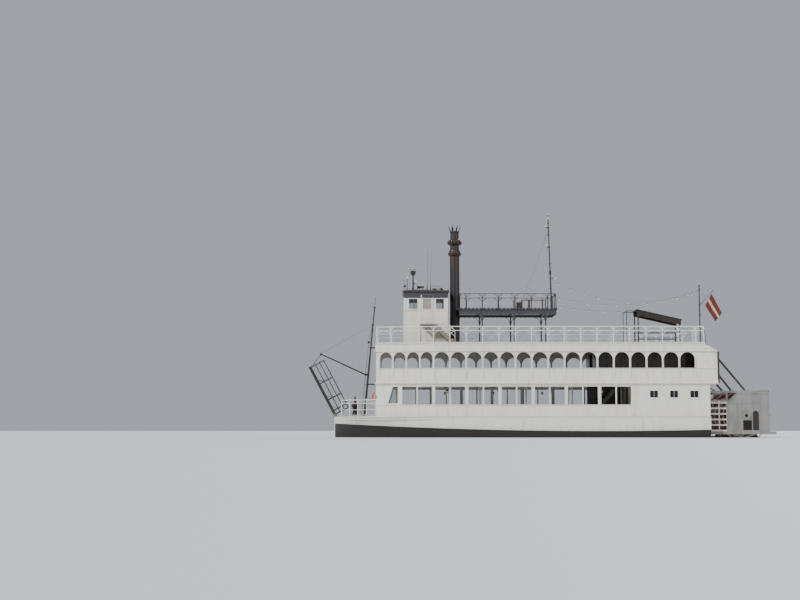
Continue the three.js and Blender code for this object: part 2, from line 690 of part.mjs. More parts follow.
function platform() {
  const { aft, fore, half, under, slab: slabUnder, floor, top } = PLATFORM;
  const inside = opening(aft + 50, -half + 50, fore - 50, half - 50);
  const posts = [2600, 360, -1850].map((x) => box(x - 45, x + 45, half - 145, half - 55, LEVEL.topDeck + GAP, slabUnder + 10));
  return join([
    slab(outline(rectangle(aft, -half, fore, half)), slabUnder, floor),
    slab(outline(rectangle(aft, -half, fore, half), [inside]), under, top),
    ...posts,
    ...posts.map(otherSide),
  ]).subtract(stackNotch());
}

// A toe and one rail on tall posts. The inner posts of the starboard side stand further aft.
function platformRailing() {
  const { aft, fore, half, top } = PLATFORM;
  const { post, toe, under, height, starboardAft } = PLATFORM_RAIL;
  const base = top + GAP;
  const sheet = (posts) => outline(
    rectangle(posts[0] - post / 2, base, posts.at(-1) + post / 2, base + height),
    posts.slice(1).map((s, i) => opening(posts[i] + post / 2, base + toe, s - post / 2, base + under)),
  );
  const inner = [-1995, -850, 295, 1440, 2585, 3730];
  const side = (shift) => {
    const posts = [aft + post / 2, ...inner.map((x) => x - shift), fore - post / 2];
    return plate(sheet(posts), post, [0, half], [1, half]);
  };
  const ends = sheet(evenPosts(-half + post / 2, half - post / 2, 3));
  return join([
    side(0),
    otherSide(side(starboardAft)),
    plate(ends, post, [aft, 0], [aft, 1]),
    plate(ends, post, [fore - post, 0], [fore - post, 1]),
  ]).subtract(stackNotch());
}

function platformTable() {
  const z0 = PLATFORM.floor + GAP;
  const legs = [-1800, -820, -330].flatMap((x) => [-310, 310].map((y) => box(x - 25, x + 25, y - 25, y + 25, z0, 9700)));
  return join([box(-1850, -280, -350, 350, 9690, 9740), ...legs]);
}

// The main mast leans forward a little and carries a short arm, a lamp box and two brackets.
const MAST_FITTINGS = [[11330, -330, -20], [13560, 20, 170], [14960, 20, 210]];

function mainMast() {
  const foot = [mastX(PLATFORM.floor), 0, PLATFORM.floor + 2];
  const arms = MAST_FITTINGS.map(([z, aft, fore]) => box(mastX(z) + aft, mastX(z) + fore, -20, 20, z - 25, z + 25));
  return join([
    rod(foot, [MAST.head, 0, MAST.top], MAST.footRadius, MAST.headRadius, 12),
    box(mastX(11720) - 75, mastX(11720) + 75, -75, 75, 11580, 11860),
    ...arms,
    ...STRINGS.map((row) => eye(stringRoute(row), 0)),
  ]);
}

// Two stays run from the mast head down to the top rails of the platform.
const STAY = { top: 14750, foot: -600, footRise: 4, radius: 8 };

function mastStays() {
  const head = [mastX(STAY.top) + 48, 0, STAY.top];
  const height = PLATFORM.top + PLATFORM_RAIL.height + GAP + STAY.footRise;
  const stay = rod(head, [STAY.foot, PLATFORM.half - 25, height], STAY.radius, STAY.radius, 6);
  return join([stay, otherSide(stay)]);
}

const RADAR = { x: 7430, pedestal: 11560, top: 11810, dome: 7200, domeZ: 11040 };

function radarMast() {
  const { x, pedestal, top, dome, domeZ } = RADAR;
  const ball = new THREE.SphereGeometry(110, 12, 8);
  ball.translate(dome, 0, domeZ);
  return join([
    rod([x, 0, LEVEL.roofTop], [x, 0, pedestal + 20], 60, 45, 12),
    rod([x, 0, pedestal], [x, 0, top], 150, 210, 12),
    rod([x, 0, domeZ - 60], [dome, 0, domeZ - 60], 30, 30, 8),
    solid(ball),
  ]);
}

function radarScanner() {
  return join([
    rod([0, 0, GAP], [0, 0, 80], 70, 70, 12),
    box(-500, 500, -70, 70, 60, 200),
  ]);
}

// Foredeck: rails along the hull's edge, a capstan, a raked derrick mast, its boom and the landing stage.
const FORE_RAIL_PATH = [[10060, 3240], [11300, 2460], [12450, 1370]];
const FORE_RAIL_BAYS = [2, 2];

function foredeckRail() {
  const base = LEVEL.mainDeck + GAP;
  const half = FORE_RAIL.post / 2;
  return join(FORE_RAIL_BAYS.map((bays, i) => {
    const [start, end] = FORE_RAIL_PATH.slice(i, i + 2);
    const length = Math.hypot(end[0] - start[0], end[1] - start[1]);
    const sheet = railSheet(evenPosts(half, length - half, bays), base, FORE_RAIL, FORE_RAIL.height);
    return plate(sheet, FORE_RAIL.thick, start, end);
  }));
}

function capstan() {
  return turned(CAPSTAN.x, [
    [0, 0],
    [230, 0],
    [230, 60],
    [150, 190],
    [140, 480],
    [230, 680],
    [230, 780],
    [120, 870],
    [70, 1180],
    [0, 1450],
  ].map(([radius, z]) => [radius, CAPSTAN.base + GAP + z]));
}

const derrickX = (z) => DERRICK.foot - DERRICK.rake * (z - LEVEL.mainDeck);

function derrickMast() {
  const z = BOOM.heelHeight;
  const cheek = box(derrickX(z), BOOM.heel + 70, BOOM.half + GAP, BOOM.half + 30, z - 70, z + 70);
  return join([
    rod([derrickX(LEVEL.mainDeck), 0, LEVEL.mainDeck + 8.3], [derrickX(DERRICK.top), 0, DERRICK.top], DERRICK.footRadius, DERRICK.headRadius, 14),
    box(AT.front + DECK.lip + GAP, derrickX(3740), -50, 50, 3690, 3780),
    box(AT.front + DECK.lip + GAP, derrickX(6325), -50, 50, 6280, 6370),
    cheek,
    otherSide(cheek),
    box(derrickX(z), derrickX(z) + 100, -BOOM.half - 20, BOOM.half + 20, z - 70, z + 70),
    rod([BOOM.heel, -BOOM.half - 10, z], [BOOM.heel, BOOM.half + 10, z], BOOM.pin, BOOM.pin, 12),
  ]);
}

// The boom lies along +X from its heel pin.
function boom() {
  const bore = rod([0, -100, 0], [0, 100, 0], BOOM.pin + 7, BOOM.pin + 7, 12);
  const heel = box(-45, 140, -BOOM.half, BOOM.half, -45, 45).subtract(bore);
  return join([
    heel,
    rod([120, 0, 0], [BOOM.length, 0, 0], 58, 42, 12),
    box(BOOM.length - 40, BOOM.length + 60, -60, 60, -60, 60),
  ]);
}

// The landing stage lies along +X from its hinge, with its handrails towards +Z.
function landingStage() {
  const { length, half, beam: thick, pin } = STAGE;
  const bore = rod([0, -half - 10, 0], [0, half + 10, 0], pin + 6, pin + 6, 16);
  const sizes = { post: 45 };
  const rows = [[80, 400], [430, 740], [770, 1060]];
  const posts = [30, 1145, 2430, length - 30];
  const holes = posts.slice(1).flatMap((s, i) =>
    rows.map(([z0, z1]) => opening(posts[i] + sizes.post / 2, z0, s - sizes.post / 2, z1)),
  );
  const rail = outline(rectangle(posts[0] - sizes.post / 2, 60, length, 1100), holes);
  const side = join([
    box(-60, length, half - thick, half, -80, 80),
    plate(rail, 45, [0, half - 8], [1, half - 8]),
  ]);
  const deck = box(60, length, -half + thick - 10, half - thick + 10, 10, 60);
  return join([side, otherSide(side), deck]).subtract(bore);
}

// A pole at the port quarter with a raked flagstaff and its halyard.
const STAFF = { foot: 9000, tip: [-13110, 10030], halyardFoot: 8360 };
const FLAG = { hoist: [230, 1150], fly: [[-13220, 7910], [-13670, 8490]], thick: 15 };
const HALYARD_TOP = new THREE.Vector2(-13100, 10010);
const HALYARD_FOOT = new THREE.Vector2(POLE.x, STAFF.halyardFoot);

function aftPole() {
  const { x, y, top, radius } = POLE;
  return join([
    rod([x, y, LEVEL.topDeck + GAP], [x, y, top], radius, radius - 8, 12),
    rod([x, y, STAFF.foot], [STAFF.tip[0], y, STAFF.tip[1]], 22, 16, 8),
    rod([HALYARD_TOP.x, y, HALYARD_TOP.y], [HALYARD_FOOT.x, y, HALYARD_FOOT.y], 5, 5, 6),
    ...farEyes("pole"),
  ]);
}

// The flag hangs from the halyard, a little off it on the aft side.
function flag() {
  const down = HALYARD_FOOT.clone().sub(HALYARD_TOP).normalize();
  const aside = new THREE.Vector2(down.y, -down.x).multiplyScalar(5 + GAP);
  const hoist = FLAG.hoist.map((s) => HALYARD_TOP.clone().addScaledVector(down, s).add(aside).toArray());
  return acrossBoat([hoist[1], hoist[0], FLAG.fly[1], FLAG.fly[0]], POLE.y - FLAG.thick / 2, POLE.y + FLAG.thick / 2);
}

// Stern: a frame on each side carries the wheel's bearing and hangs from the decks on two braces.
const PLATE = { fore: -14100, aft: -16950, bottom: 420, top: 3060, corner: [-14750, 2500] };
const SLATS = { fore: AT.transom - GAP, aft: -14100, top: 2560, pitch: 380, slat: 110, rows: 5 };
const HATCH = [-15740, 470, -15120, 1180];

function wheelFrame() {
  const { inner, outer, housingHalf } = FRAME;
  const middle = (inner + outer) / 2;
  const edge = [
    [PLATE.aft, PLATE.bottom - 10], [PLATE.fore, PLATE.bottom - 10], [PLATE.fore, PLATE.corner[1]],
    [PLATE.corner[0], PLATE.top + 10], [PLATE.aft, PLATE.top + 10],
  ];
  const side = plate(outline(edge, [opening(...HATCH)]), 80, [0, middle + 40], [1, middle + 40]);
  const rows = Array.from({ length: SLATS.rows }, (_, i) => PLATE.bottom + i * SLATS.pitch + SLATS.slat);
  const columns = [[SLATS.aft + 60, -13530], [-13470, SLATS.fore - 90]];
  const holes = rows.flatMap((z) => columns.map(([x0, x1]) => opening(x0, z, x1, z + SLATS.pitch - SLATS.slat)));
  const slats = plate(
    outline(rectangle(SLATS.aft, PLATE.bottom - 10, SLATS.fore, SLATS.top), holes), 60, [0, middle + 30], [1, middle + 30]);
  const braces = join([
    beam([AT.stern + 150, middle, 5930], [-15370, middle, 3150], 110, 110),
    beam([AT.stern + 150, middle, 4845], [-14400, middle, 3150], 110, 110),
  ]).subtract(box(AT.stern - GAP, AT.stern + 900, 0, outer + 500, 3000, 7000));
  const housing = rod([WHEEL.x, middle - housingHalf, WHEEL.z], [WHEEL.x, middle + housingHalf, WHEEL.z], 260, 260, 24);
  const bore = rod([WHEEL.x, inner - 200, WHEEL.z], [WHEEL.x, outer + 200, WHEEL.z], WHEEL.shaft + 12, WHEEL.shaft + 12, 24);
  return join([
    box(-17400, AT.transom - GAP, inner, outer, 220, PLATE.bottom),
    box(PLATE.aft, MAIN_AFT + 20 - GAP, inner, outer, PLATE.top, 3200),
    box(SLATS.aft, SLATS.aft + 100, inner, outer, PLATE.bottom - 10, PLATE.top + 10),
    side,
    slats,
    braces,
    housing,
  ]).subtract(bore);
}

// One flange of the wheel: a ring, its spokes and a hub plate in a single flat sheet.
function wheelFlange(y) {
  const { spokes, rim, ring, hub, spokeHalf } = WHEEL;
  const point = (radius, angle) => [radius * Math.cos(angle), radius * Math.sin(angle)];
  const step = Math.PI / spokes;
  const rimPoints = Array.from({ length: 2 * spokes }, (_, i) => point(rim, i * step));
  const holes = Array.from({ length: spokes }, (_, i) => {
    const at = (radius, side) => point(radius, (2 * i + 1 + side) * step - side * Math.asin(spokeHalf / radius));
    return new THREE.Path(points2([at(hub, -1), at(ring, -1), point(ring, (2 * i + 1) * step), at(ring, 1), at(hub, 1)]));
  });
  return plate(outline(rimPoints, holes), 60, [0, y + 30], [1, y + 30]);
}

// The wheel turns about the boat's cross axis, with its hub at the origin.
function paddlewheel() {
  const { radius, half, spokes, shaft, boardRoot, board } = WHEEL;
  const collar = (FRAME.inner + FRAME.outer) / 2 - FRAME.housingHalf - GAP;
  const boards = Array.from({ length: spokes }, (_, i) => {
    const geometry = new THREE.BoxGeometry(radius - boardRoot, 2 * half, board);
    geometry.translate((radius + boardRoot) / 2, 0, 0);
    geometry.rotateY((2 * Math.PI * i) / spokes);
    return solid(geometry);
  });
  return join([
    rod([0, -FRAME.outer - 90, 0], [0, FRAME.outer + 90, 0], shaft, shaft, 16),
    rod([0, -collar, 0], [0, -collar + 60, 0], 190, 190, 16),
    rod([0, collar - 60, 0], [0, collar, 0], 190, 190, 16),
    ...[-2500, 0, 2500].map(wheelFlange),
    ...boards,
  ]);
}

// A rudder hangs under its lug on the transom, with its stock at the origin.
function rudder() {
  return join([
    rod([0, 0, RUDDER.foot - 30], [0, 0, RUDDER.head - GAP], RUDDER.stock, RUDDER.stock, 12),
    box(-760, 150, -25, 25, RUDDER.foot, 100),
  ]);
}

// A group placed at a pivot, so that its piece is drawn about the axis it turns on.
function pivotGroup(x, y, z, turnY = 0, turnZ = 0) {
  const group = new THREE.Group();
  group.position.set(x, y, z);
  group.rotation.set(0, THREE.MathUtils.degToRad(turnY), THREE.MathUtils.degToRad(turnZ));
  boat.add(group);
  return group;
}

add("hull", hull(), "white");
addPair("main_wall", mainWall(), "white");
add("main_front_wall", mainFrontWall(), "white");
add("main_aft_wall", mainAftWall(), "white");
add("engine_room_bulkhead", engineBulkhead(), "white");
add("engine_room_door", engineRoomDoor(), "wood");
add("engine", box(-11800, -9200, -600, 600, LEVEL.mainDeck + GAP, 2750), "steel");
add("stair_partition", box(-7400, -5000, -760, -700, LEVEL.mainDeck + GAP, LEVEL.secondUnder - GAP), "wood");
add("lower_stairs", flight(
  LOWER_STAIR.foot, LOWER_STAIR.head + GAP, LEVEL.mainDeck + GAP, LEVEL.secondDeck,
  LOWER_STAIR.steps, -STAIR_HALF, STAIR_HALF), "deck");

add("second_deck", secondDeck(), "white");
addPair("arcade", arcade(), "white");
add("front_arcade", frontArcade(), "white");
add("stern_wall", sternWall(), "white");
add("saloon_walls", saloonWalls(), "wood");
add("upper_stairs", flight(
  UPPER_STAIR.foot, UPPER_STAIR.head - GAP, LEVEL.secondDeck + GAP, LEVEL.topDeck,
  UPPER_STAIR.steps, -STAIR_HALF, STAIR_HALF), "deck");

add("top_deck", topDeck(), "white");
add("top_fascia", topFascia(), "white");
add("stern_apron", sternApron(), "white");
add("top_railing", topRailing(), "white");
add("companion_hood", companionHood(), "dark");

addPair("pilothouse_side", pilothouseSide(), "white");
addPair("pilothouse_door", pilothouseDoor(), "white");
addPair("pilothouse_steps", pilothouseSteps(), "deck");
add("pilothouse_front", pilothouseEnd(PILOTHOUSE.fore - PILOTHOUSE.wall, [[-1400, -520], [-420, 420], [520, 1400]]), "white");
add("pilothouse_aft", pilothouseEnd(PILOTHOUSE.aft, [[-1300, -500], [500, 1300]]), "white");
add("pilothouse_floor", pilothouseFloor(), "deck");
add("pilothouse_roof", pilothouseRoof(), "dark");
add("radar_mast", radarMast(), "dark");
add("radar_scanner", radarScanner(), "white", pivotGroup(RADAR.x, 0, RADAR.top, 0, 48));

add("smokestack", smokestack(), "dark");
add("platform", platform(), "white");
add("platform_railing", platformRailing(), "white");
add("platform_table", platformTable(), "wood");
add("platform_locker", box(-250, 60, -300, 300, PLATFORM.floor + GAP, 9560), "dark");
add("main_mast", mainMast(), "dark");
add("mast_stays", mastStays(), "dark");

addPair("foredeck_rail", foredeckRail(), "white");
add("capstan", capstan(), "dark");
add("derrick_mast", derrickMast(), "dark");
add("boom", boom(), "dark", pivotGroup(BOOM.heel, 0, BOOM.heelHeight, -BOOM.rise));
add("landing_stage", landingStage(), "dark", pivotGroup(STAGE.pivot, 0, STAGE.pivotHeight, -STAGE.rise));

add("aft_pole", aftPole(), "dark");
add("flag", flag(), "red");
for (const row of STRINGS) {
  add(row[0], lightString(stringRoute(row)), "dark");
}

addPair("wheel_frame", wheelFrame(), "steel");
add("paddlewheel", paddlewheel(), "red", pivotGroup(WHEEL.x, 0, WHEEL.z));
add("rudder_port", rudder(), "dark", pivotGroup(RUDDER.x, RUDDER.y, 0));
add("rudder_starboard", rudder(), "dark", pivotGroup(RUDDER.x, -RUDDER.y, 0));

export default boat;
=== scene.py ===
"""Looks of a three-deck sternwheel paddle boat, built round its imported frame.

Metres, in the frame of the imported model: +X forward, +Y to port, +Z up, with the origin
on the centreline at the waterline amidships.
"""
import logging
import math
from collections.abc import Sequence
from dataclasses import dataclass, field
from enum import Enum
from typing import Any

import bpy
import numpy as np
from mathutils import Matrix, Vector
from mathutils.geometry import tessellate_polygon


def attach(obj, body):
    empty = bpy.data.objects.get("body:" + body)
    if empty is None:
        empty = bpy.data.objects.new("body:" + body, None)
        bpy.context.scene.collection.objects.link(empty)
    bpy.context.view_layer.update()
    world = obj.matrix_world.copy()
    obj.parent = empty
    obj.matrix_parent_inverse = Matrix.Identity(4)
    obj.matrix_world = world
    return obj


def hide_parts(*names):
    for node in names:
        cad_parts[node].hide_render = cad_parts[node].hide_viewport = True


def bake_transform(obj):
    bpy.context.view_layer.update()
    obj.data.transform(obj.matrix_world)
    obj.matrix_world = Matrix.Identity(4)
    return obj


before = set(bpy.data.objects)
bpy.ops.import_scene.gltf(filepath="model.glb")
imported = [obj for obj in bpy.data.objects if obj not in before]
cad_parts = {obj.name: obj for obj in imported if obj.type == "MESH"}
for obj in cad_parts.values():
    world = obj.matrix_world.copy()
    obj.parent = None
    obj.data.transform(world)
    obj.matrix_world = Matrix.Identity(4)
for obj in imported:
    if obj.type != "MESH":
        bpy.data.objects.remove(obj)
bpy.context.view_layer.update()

Array = np.ndarray
Point = tuple[float, float, float]
LOG = logging.getLogger("boat")

# Surfaces: points and faces as whole arrays.


@dataclass
class Skin:
    """The points and faces of one piece while it is being shaped."""

    points: list[Array] = field(default_factory=list)
    blocks: list[Array] = field(default_factory=list)
    corners: list[Array | None] = field(default_factory=list)
    count: int = 0

    def add(self, points: Array, faces: Array, uv: Array | None = None) -> "Skin":
        """Appends points and one block of faces.

        Args:
            points: any shape that ends in three coordinates.
            faces: indices into points, one row a face.
            uv: texture places of each face's corners, or None.

        Returns:
            The skin itself.
        """
        flat = np.asarray(points, float).reshape(-1, 3)
        self.points.append(flat)
        self.blocks.append(np.asarray(faces) + self.count)
        self.corners.append(uv)
        self.count += len(flat)
        return self

    def join(self, *others: "Skin") -> "Skin":
        """Appends other skins.

        Args:
            others: skins that become part of this one.

        Returns:
            The skin itself.
        """
        for other in others:
            self.points.extend(other.points)
            self.blocks.extend(block + self.count for block in other.blocks)
            self.corners.extend(other.corners)
            self.count += other.count
        return self

    def whole(self) -> Array:
        """All points as one array."""
        return np.concatenate(self.points)

    def mapped(self, points: Array, turned: bool = False) -> "Skin":
        """The same faces over other points, turned over when the map is a mirror."""
        blocks = [block[:, ::-1] if turned else block for block in self.blocks]
        corners = [uv if uv is None or not turned else uv[:, ::-1] for uv in self.corners]
        return Skin([points], blocks, corners, self.count)

    def mirrored(self) -> "Skin":
        """The skin on the other side of the centreline."""
        return self.mapped(self.whole() * [1, -1, 1], turned=True)

    def upside_down(self, total: float) -> "Skin":
        """The skin turned upside down: each height becomes the total less itself."""
        return self.mapped(self.whole() * [1, 1, -1] + [0, 0, total], turned=True)

    def both(self) -> "Skin":
        """The skin with its mirror image."""
        return Skin().join(self, self.mirrored())

    def outward(self) -> "Skin":
        """The skin with its faces turned so that its volume, a sum over fans, is above zero."""
        points = self.whole()
        volume = 0.0
        for block in self.blocks:
            fan = points[block]
            first, rest = fan[:, :1], fan[:, 1:]
            volume += float(np.sum(np.cross(rest[:, :-1], rest[:, 1:]) * first))
        return self if volume > 0 else self.mapped(points, turned=True)


def unit(vectors: Array) -> Array:
    """Vectors scaled to length one."""
    return vectors / np.linalg.norm(vectors, axis=-1, keepdims=True)


def points_at(*columns: Array | float) -> Array:
    """Points from their coordinates, each an array or one value for all."""
    return np.stack(np.broadcast_arrays(*columns), axis=-1)


def at_height(plan: Array, z: Array | float) -> Array:
    """Plan points with a height, or one height for each, as their third coordinate."""
    return np.insert(plan, 2, z, axis=-1)


def on_circle(angle: Array, radius: Array | float = 1.0, u: float = 0.0, v: float = 0.0) -> Array:
    """Flat points on a circle at the given angles."""
    return points_at(u + radius * np.cos(angle), v + radius * np.sin(angle))


def frames(tangents: Array) -> tuple[Array, Array]:
    """Two directions square to each tangent of each path, with side x up along the tangent.

    Args:
        tangents: unit vectors, one row a point of a path, with any number of paths before it.

    Returns:
        The side and the up directions, shaped as the tangents.
    """
    lean = np.abs(tangents).max(axis=-2)
    reference = np.eye(3)[np.argmin(lean, axis=-1)][..., None, :]
    side = unit(np.cross(np.broadcast_to(reference, tangents.shape), tangents))
    return side, np.cross(tangents, side)


def grid(points: Array, wrap: bool = True, caps: bool = True, loop: bool = False,
         uv: Array | None = None) -> Skin:
    """Quads over grids of points, each closed across its columns when it wraps.

    Args:
        points: rows, columns and coordinates, with any number of grids before them.
        wrap: whether the last column meets the first.
        caps: whether a wrapped grid gets a flat face over its first and last row.
        loop: whether the last row meets the first, as in a ring.
        uv: texture places of the points, with a further column when the grid wraps.

    Returns:
        The skin.
    """
    rows, columns = points.shape[-3:-1]
    index = np.arange(points[..., 0].size).reshape(-1, rows, columns)
    across = slice(None) if wrap else slice(None, -1)
    down = slice(None) if loop else slice(None, -1)
    right = np.roll(index, -1, axis=2)
    below = np.roll(index, -1, axis=1)
    corners = [index, right, np.roll(right, -1, axis=1), below]
    quads = np.stack([corner[:, down, across] for corner in corners], axis=-1).reshape(-1, 4)
    places = None
    if uv is not None:
        p, q = uv[:, :-1], uv[:, 1:]
        places = np.stack([p[:-1], q[:-1], q[1:], p[1:]], axis=2).reshape(-1, 4, 2)
    skin = Skin().add(points, quads, places)
    if wrap and caps and not loop:
        skin.blocks += [index[:, 0, ::-1], index[:, -1]]
        skin.corners += [None, None]
    return skin


def tube(path: Array, radius: float | Array, sides: int = 10, uv: bool = False) -> Skin:
    """Round tubes: a circle of the given radius square to the path at each of its points.

    Args:
        path: points of one path, or of several paths of equal length.
        radius: one radius, or one for each point.
        sides: corners of the circle.
        uv: whether the skin gets texture places, around and along in metres.

    Returns:
        The skin.
    """
    path = np.asarray(path, float)
    side, up = frames(unit(np.gradient(path, axis=-2)))
    angle = np.arange(sides) * 2 * np.pi / sides
    reach = np.broadcast_to(np.asarray(radius, float), path.shape[:-1])[..., None, None]
    ring = side[..., None, :] * np.cos(angle)[:, None] + up[..., None, :] * np.sin(angle)[:, None]
    places = None
    if uv:
        run = np.concatenate([[0], np.cumsum(np.linalg.norm(np.diff(path, axis=0), axis=1))])
        around, along = np.meshgrid(np.linspace(0, 1, sides + 1), run)
        places = np.stack([around, along], axis=-1)
    return grid(path[..., None, :] + ring * reach, uv=places)


def rods(starts: Array, ends: Array, radius: float, end_radius: float | None = None, sides: int = 8) -> Skin:
    """Straight round bars from each start to its end, even or tapered."""
    starts, ends = np.broadcast_arrays(np.atleast_2d(starts), np.atleast_2d(ends))
    return tube(np.stack([starts, ends], axis=1), [radius, radius if end_radius is None else end_radius],
                sides)


def turned(profile: list[tuple[float, float]], centre: Point, sides: int = 24,
           axis: Point = (0, 0, 1)) -> Skin:
    """A turned shape: each radius and height of the profile is carried round the axis.

    Args:
        profile: radius and height pairs, from the low end to the high one.
        centre: the point at height zero.
        sides: corners of each ring.
        axis: the way of increasing height.

    Returns:
        The skin, with a flat face over each end.
    """
    rows = np.asarray(profile, float)
    way = unit(np.asarray(axis, float))
    side, up = frames(way[None])
    angle = np.arange(sides) * 2 * np.pi / sides
    ring = side * np.cos(angle)[:, None] + up * np.sin(angle)[:, None]
    return grid(np.asarray(centre) + rows[:, :1, None] * ring + rows[:, 1, None, None] * way)


def ring(centre: Point, axis: Point, radius: float, thick: float, sides: int = 32, facets: int = 10) -> Skin:
    """A round ring: a circle of the given thickness carried round an axis."""
    way = unit(np.asarray(axis, float))
    side, up = frames(way[None])
    around = np.arange(sides)[:, None] * 2 * np.pi / sides
    out = side * np.cos(around) + up * np.sin(around)
    turn = np.arange(facets) * 2 * np.pi / facets
    reach = radius + thick * np.cos(turn)
    points = np.asarray(centre) + out[:, None] * reach[:, None] + (thick * np.sin(turn))[:, None] * way
    return grid(points, loop=True).outward()


def ball(centre: Point, radius: float, sides: int = 16) -> Skin:
    """A ball: a half circle turned about the vertical, with a small flat at each pole."""
    angle = np.linspace(-1.45, 1.45, sides // 2 + 1)
    return turned(list(zip(radius * np.cos(angle), radius * np.sin(angle))), centre, sides)


CUBE = np.array([[0, 0, 0], [1, 0, 0], [1, 1, 0], [0, 1, 0], [0, 0, 1], [1, 0, 1], [1, 1, 1], [0, 1, 1]])
CUBE_FACES = np.array([[0, 3, 2, 1], [4, 5, 6, 7], [0, 1, 5, 4], [1, 2, 6, 5], [2, 3, 7, 6], [3, 0, 4, 7]])


def eights(points: Array) -> Skin:
    """Closed six-sided bodies over sets of eight corners."""
    faces = CUBE_FACES + 8 * np.arange(len(points))[:, None, None]
    return Skin().add(points, faces.reshape(-1, 4))


def boxes(low: Array, high: Array) -> Skin:
    """Upright boxes between low and high corners: each corner mixes the two."""
    low, high = np.broadcast_arrays(np.atleast_2d(low), np.atleast_2d(high))
    return eights(low[:, None] * (1 - CUBE) + high[:, None] * CUBE)


def beams(starts: Array, ends: Array, width: float, depth: float, up: Point = (0, 0, 1)) -> Skin:
    """Square bars from starts to ends, width across and depth towards up."""
    starts, ends = np.broadcast_arrays(np.atleast_2d(starts), np.atleast_2d(ends))
    along = (ends - starts).astype(float)
    side = unit(np.cross(np.asarray(up, float), along))
    rise = unit(np.cross(along, side))
    place = CUBE - [0, 0.5, 0.5]
    axes = np.stack([along, side * width, rise * depth], axis=1)
    return eights(starts[:, None] + place @ axes)


def copies(skin: Skin, offsets: Array, turns: Array | None = None) -> Skin:
    """A skin repeated at each offset, after each turn where turns are given."""
    points = skin.whole()
    shaped = points[None] if turns is None else np.einsum("nij,pj->npi", turns, points)
    spread = shaped + np.asarray(offsets, float)[:, None]
    shift = len(points) * np.arange(len(spread))[:, None, None]
    blocks = [(block[None] + shift).reshape(-1, block.shape[1]) for block in skin.blocks]
    return Skin([spread.reshape(-1, 3)], blocks, [None] * len(blocks), spread.shape[0] * len(points))


def turns_about(axis: int, angles: Array) -> Array:
    """Rotation matrices about a row axis by the given angles in radians."""
    c, s, zero, one = np.cos(angles), np.sin(angles), np.zeros_like(angles), np.ones_like(angles)
    rows = {
        0: [[one, zero, zero], [zero, c, -s], [zero, s, c]],
        1: [[c, zero, s], [zero, one, zero], [-s, zero, c]],
        2: [[c, -s, zero], [s, c, zero], [zero, zero, one]],
    }[axis]
    return np.moveaxis(np.array(rows), 2, 0)


@dataclass(frozen=True)
class Plane:
    """A flat place to draw on: a point, the way along it and the way up it."""

    origin: Point
    along: Point
    up: Point = (0.0, 0.0, 1.0)

    def at(self, flat: Array, depth: float) -> Array:
        """Points of a drawing, at a depth towards along x up."""
        along, up = unit(np.asarray(self.along, float)), np.asarray(self.up, float)
        drawn = flat[:, :1] * along + flat[:, 1:2] * up
        return np.asarray(self.origin) + drawn + depth * np.cross(along, up)


LEVEL = Plane((0.0, 0.0, 0.0), (1.0, 0.0, 0.0), (0.0, 1.0, 0.0))


def upright(y: float, z: float = 0.0) -> Plane:
    """The plane of a wall along the boat, drawn in X and Z, with its depth to starboard from y."""
    return Plane((0.0, y, z), (1.0, 0.0, 0.0))


def across(x: float) -> Plane:
    """The plane of a wall across the boat, drawn in Y and Z, with its depth forward from x."""
    return Plane((x, 0.0, 0.0), (0.0, 1.0, 0.0))


def area_of(loop: Array) -> float:
    """The signed area of a flat loop, above zero when it runs anticlockwise."""
    x, y = loop[:, 0], loop[:, 1]
    return 0.5 * float(np.sum(x * np.roll(y, -1) - np.roll(x, -1) * y))


def pierced(outer: Array, plane: Plane, back: float, front: float, holes: Sequence[Array] = ()) -> Skin:
    """A flat sheet, with or without holes: its two faces in triangles, and a rim round each loop.

    Args:
        outer: the outline, as (along, up) pairs.
        plane: where the drawing lies.
        back: depth of the rear face.
        front: depth of the front face, above back.
        holes: further loops that are cut out.

    Returns:
        The closed skin.
    """
    loops = [np.asarray(outer, float), *[np.asarray(hole, float) for hole in holes]]
    signs = [1] + [-1] * len(holes)
    loops = [loop if area_of(loop) * sign > 0 else loop[::-1] for loop, sign in zip(loops, signs)]
    flat = np.concatenate(loops)
    raised = [np.pad(loop, ((0, 0), (0, 1))).tolist() for loop in loops]
    triangles = np.array(tessellate_polygon(raised))
    corner = flat[triangles]
    lean = np.cross(corner[:, 1] - corner[:, 0], corner[:, 2] - corner[:, 0])
    triangles = np.where(lean[:, None] < 0, triangles[:, ::-1], triangles)
    count = len(flat)
    skin = Skin().add(np.concatenate([plane.at(flat, front), plane.at(flat, back)]), triangles)
    skin.blocks.append(triangles[:, ::-1] + count)
    skin.corners.append(None)
    start = 0
    for loop in loops:
        here = np.arange(len(loop)) + start
        there = np.roll(here, -1)
        skin.blocks.append(np.stack([here + count, there + count, there, here], axis=1))
        skin.corners.append(None)
        start += len(loop)
    return skin


def rectangle(a0: float, b0: float, a1: float, b1: float) -> Array:
    """The four corners of an upright rectangle."""
    return np.array([[a0, b0], [a1, b0], [a1, b1], [a0, b1]])


def archway(a0: float, a1: float, sill: float, top: float, steps: int = 20) -> Array:
    """An opening with a round head: two lower corners and a half circle over them."""
    radius = (a1 - a0) / 2
    angle = np.linspace(0, np.pi, steps + 1)
    head = on_circle(angle, radius, (a0 + a1) / 2, top - radius)
    return np.concatenate([[[a0, sill], [a1, sill]], head])


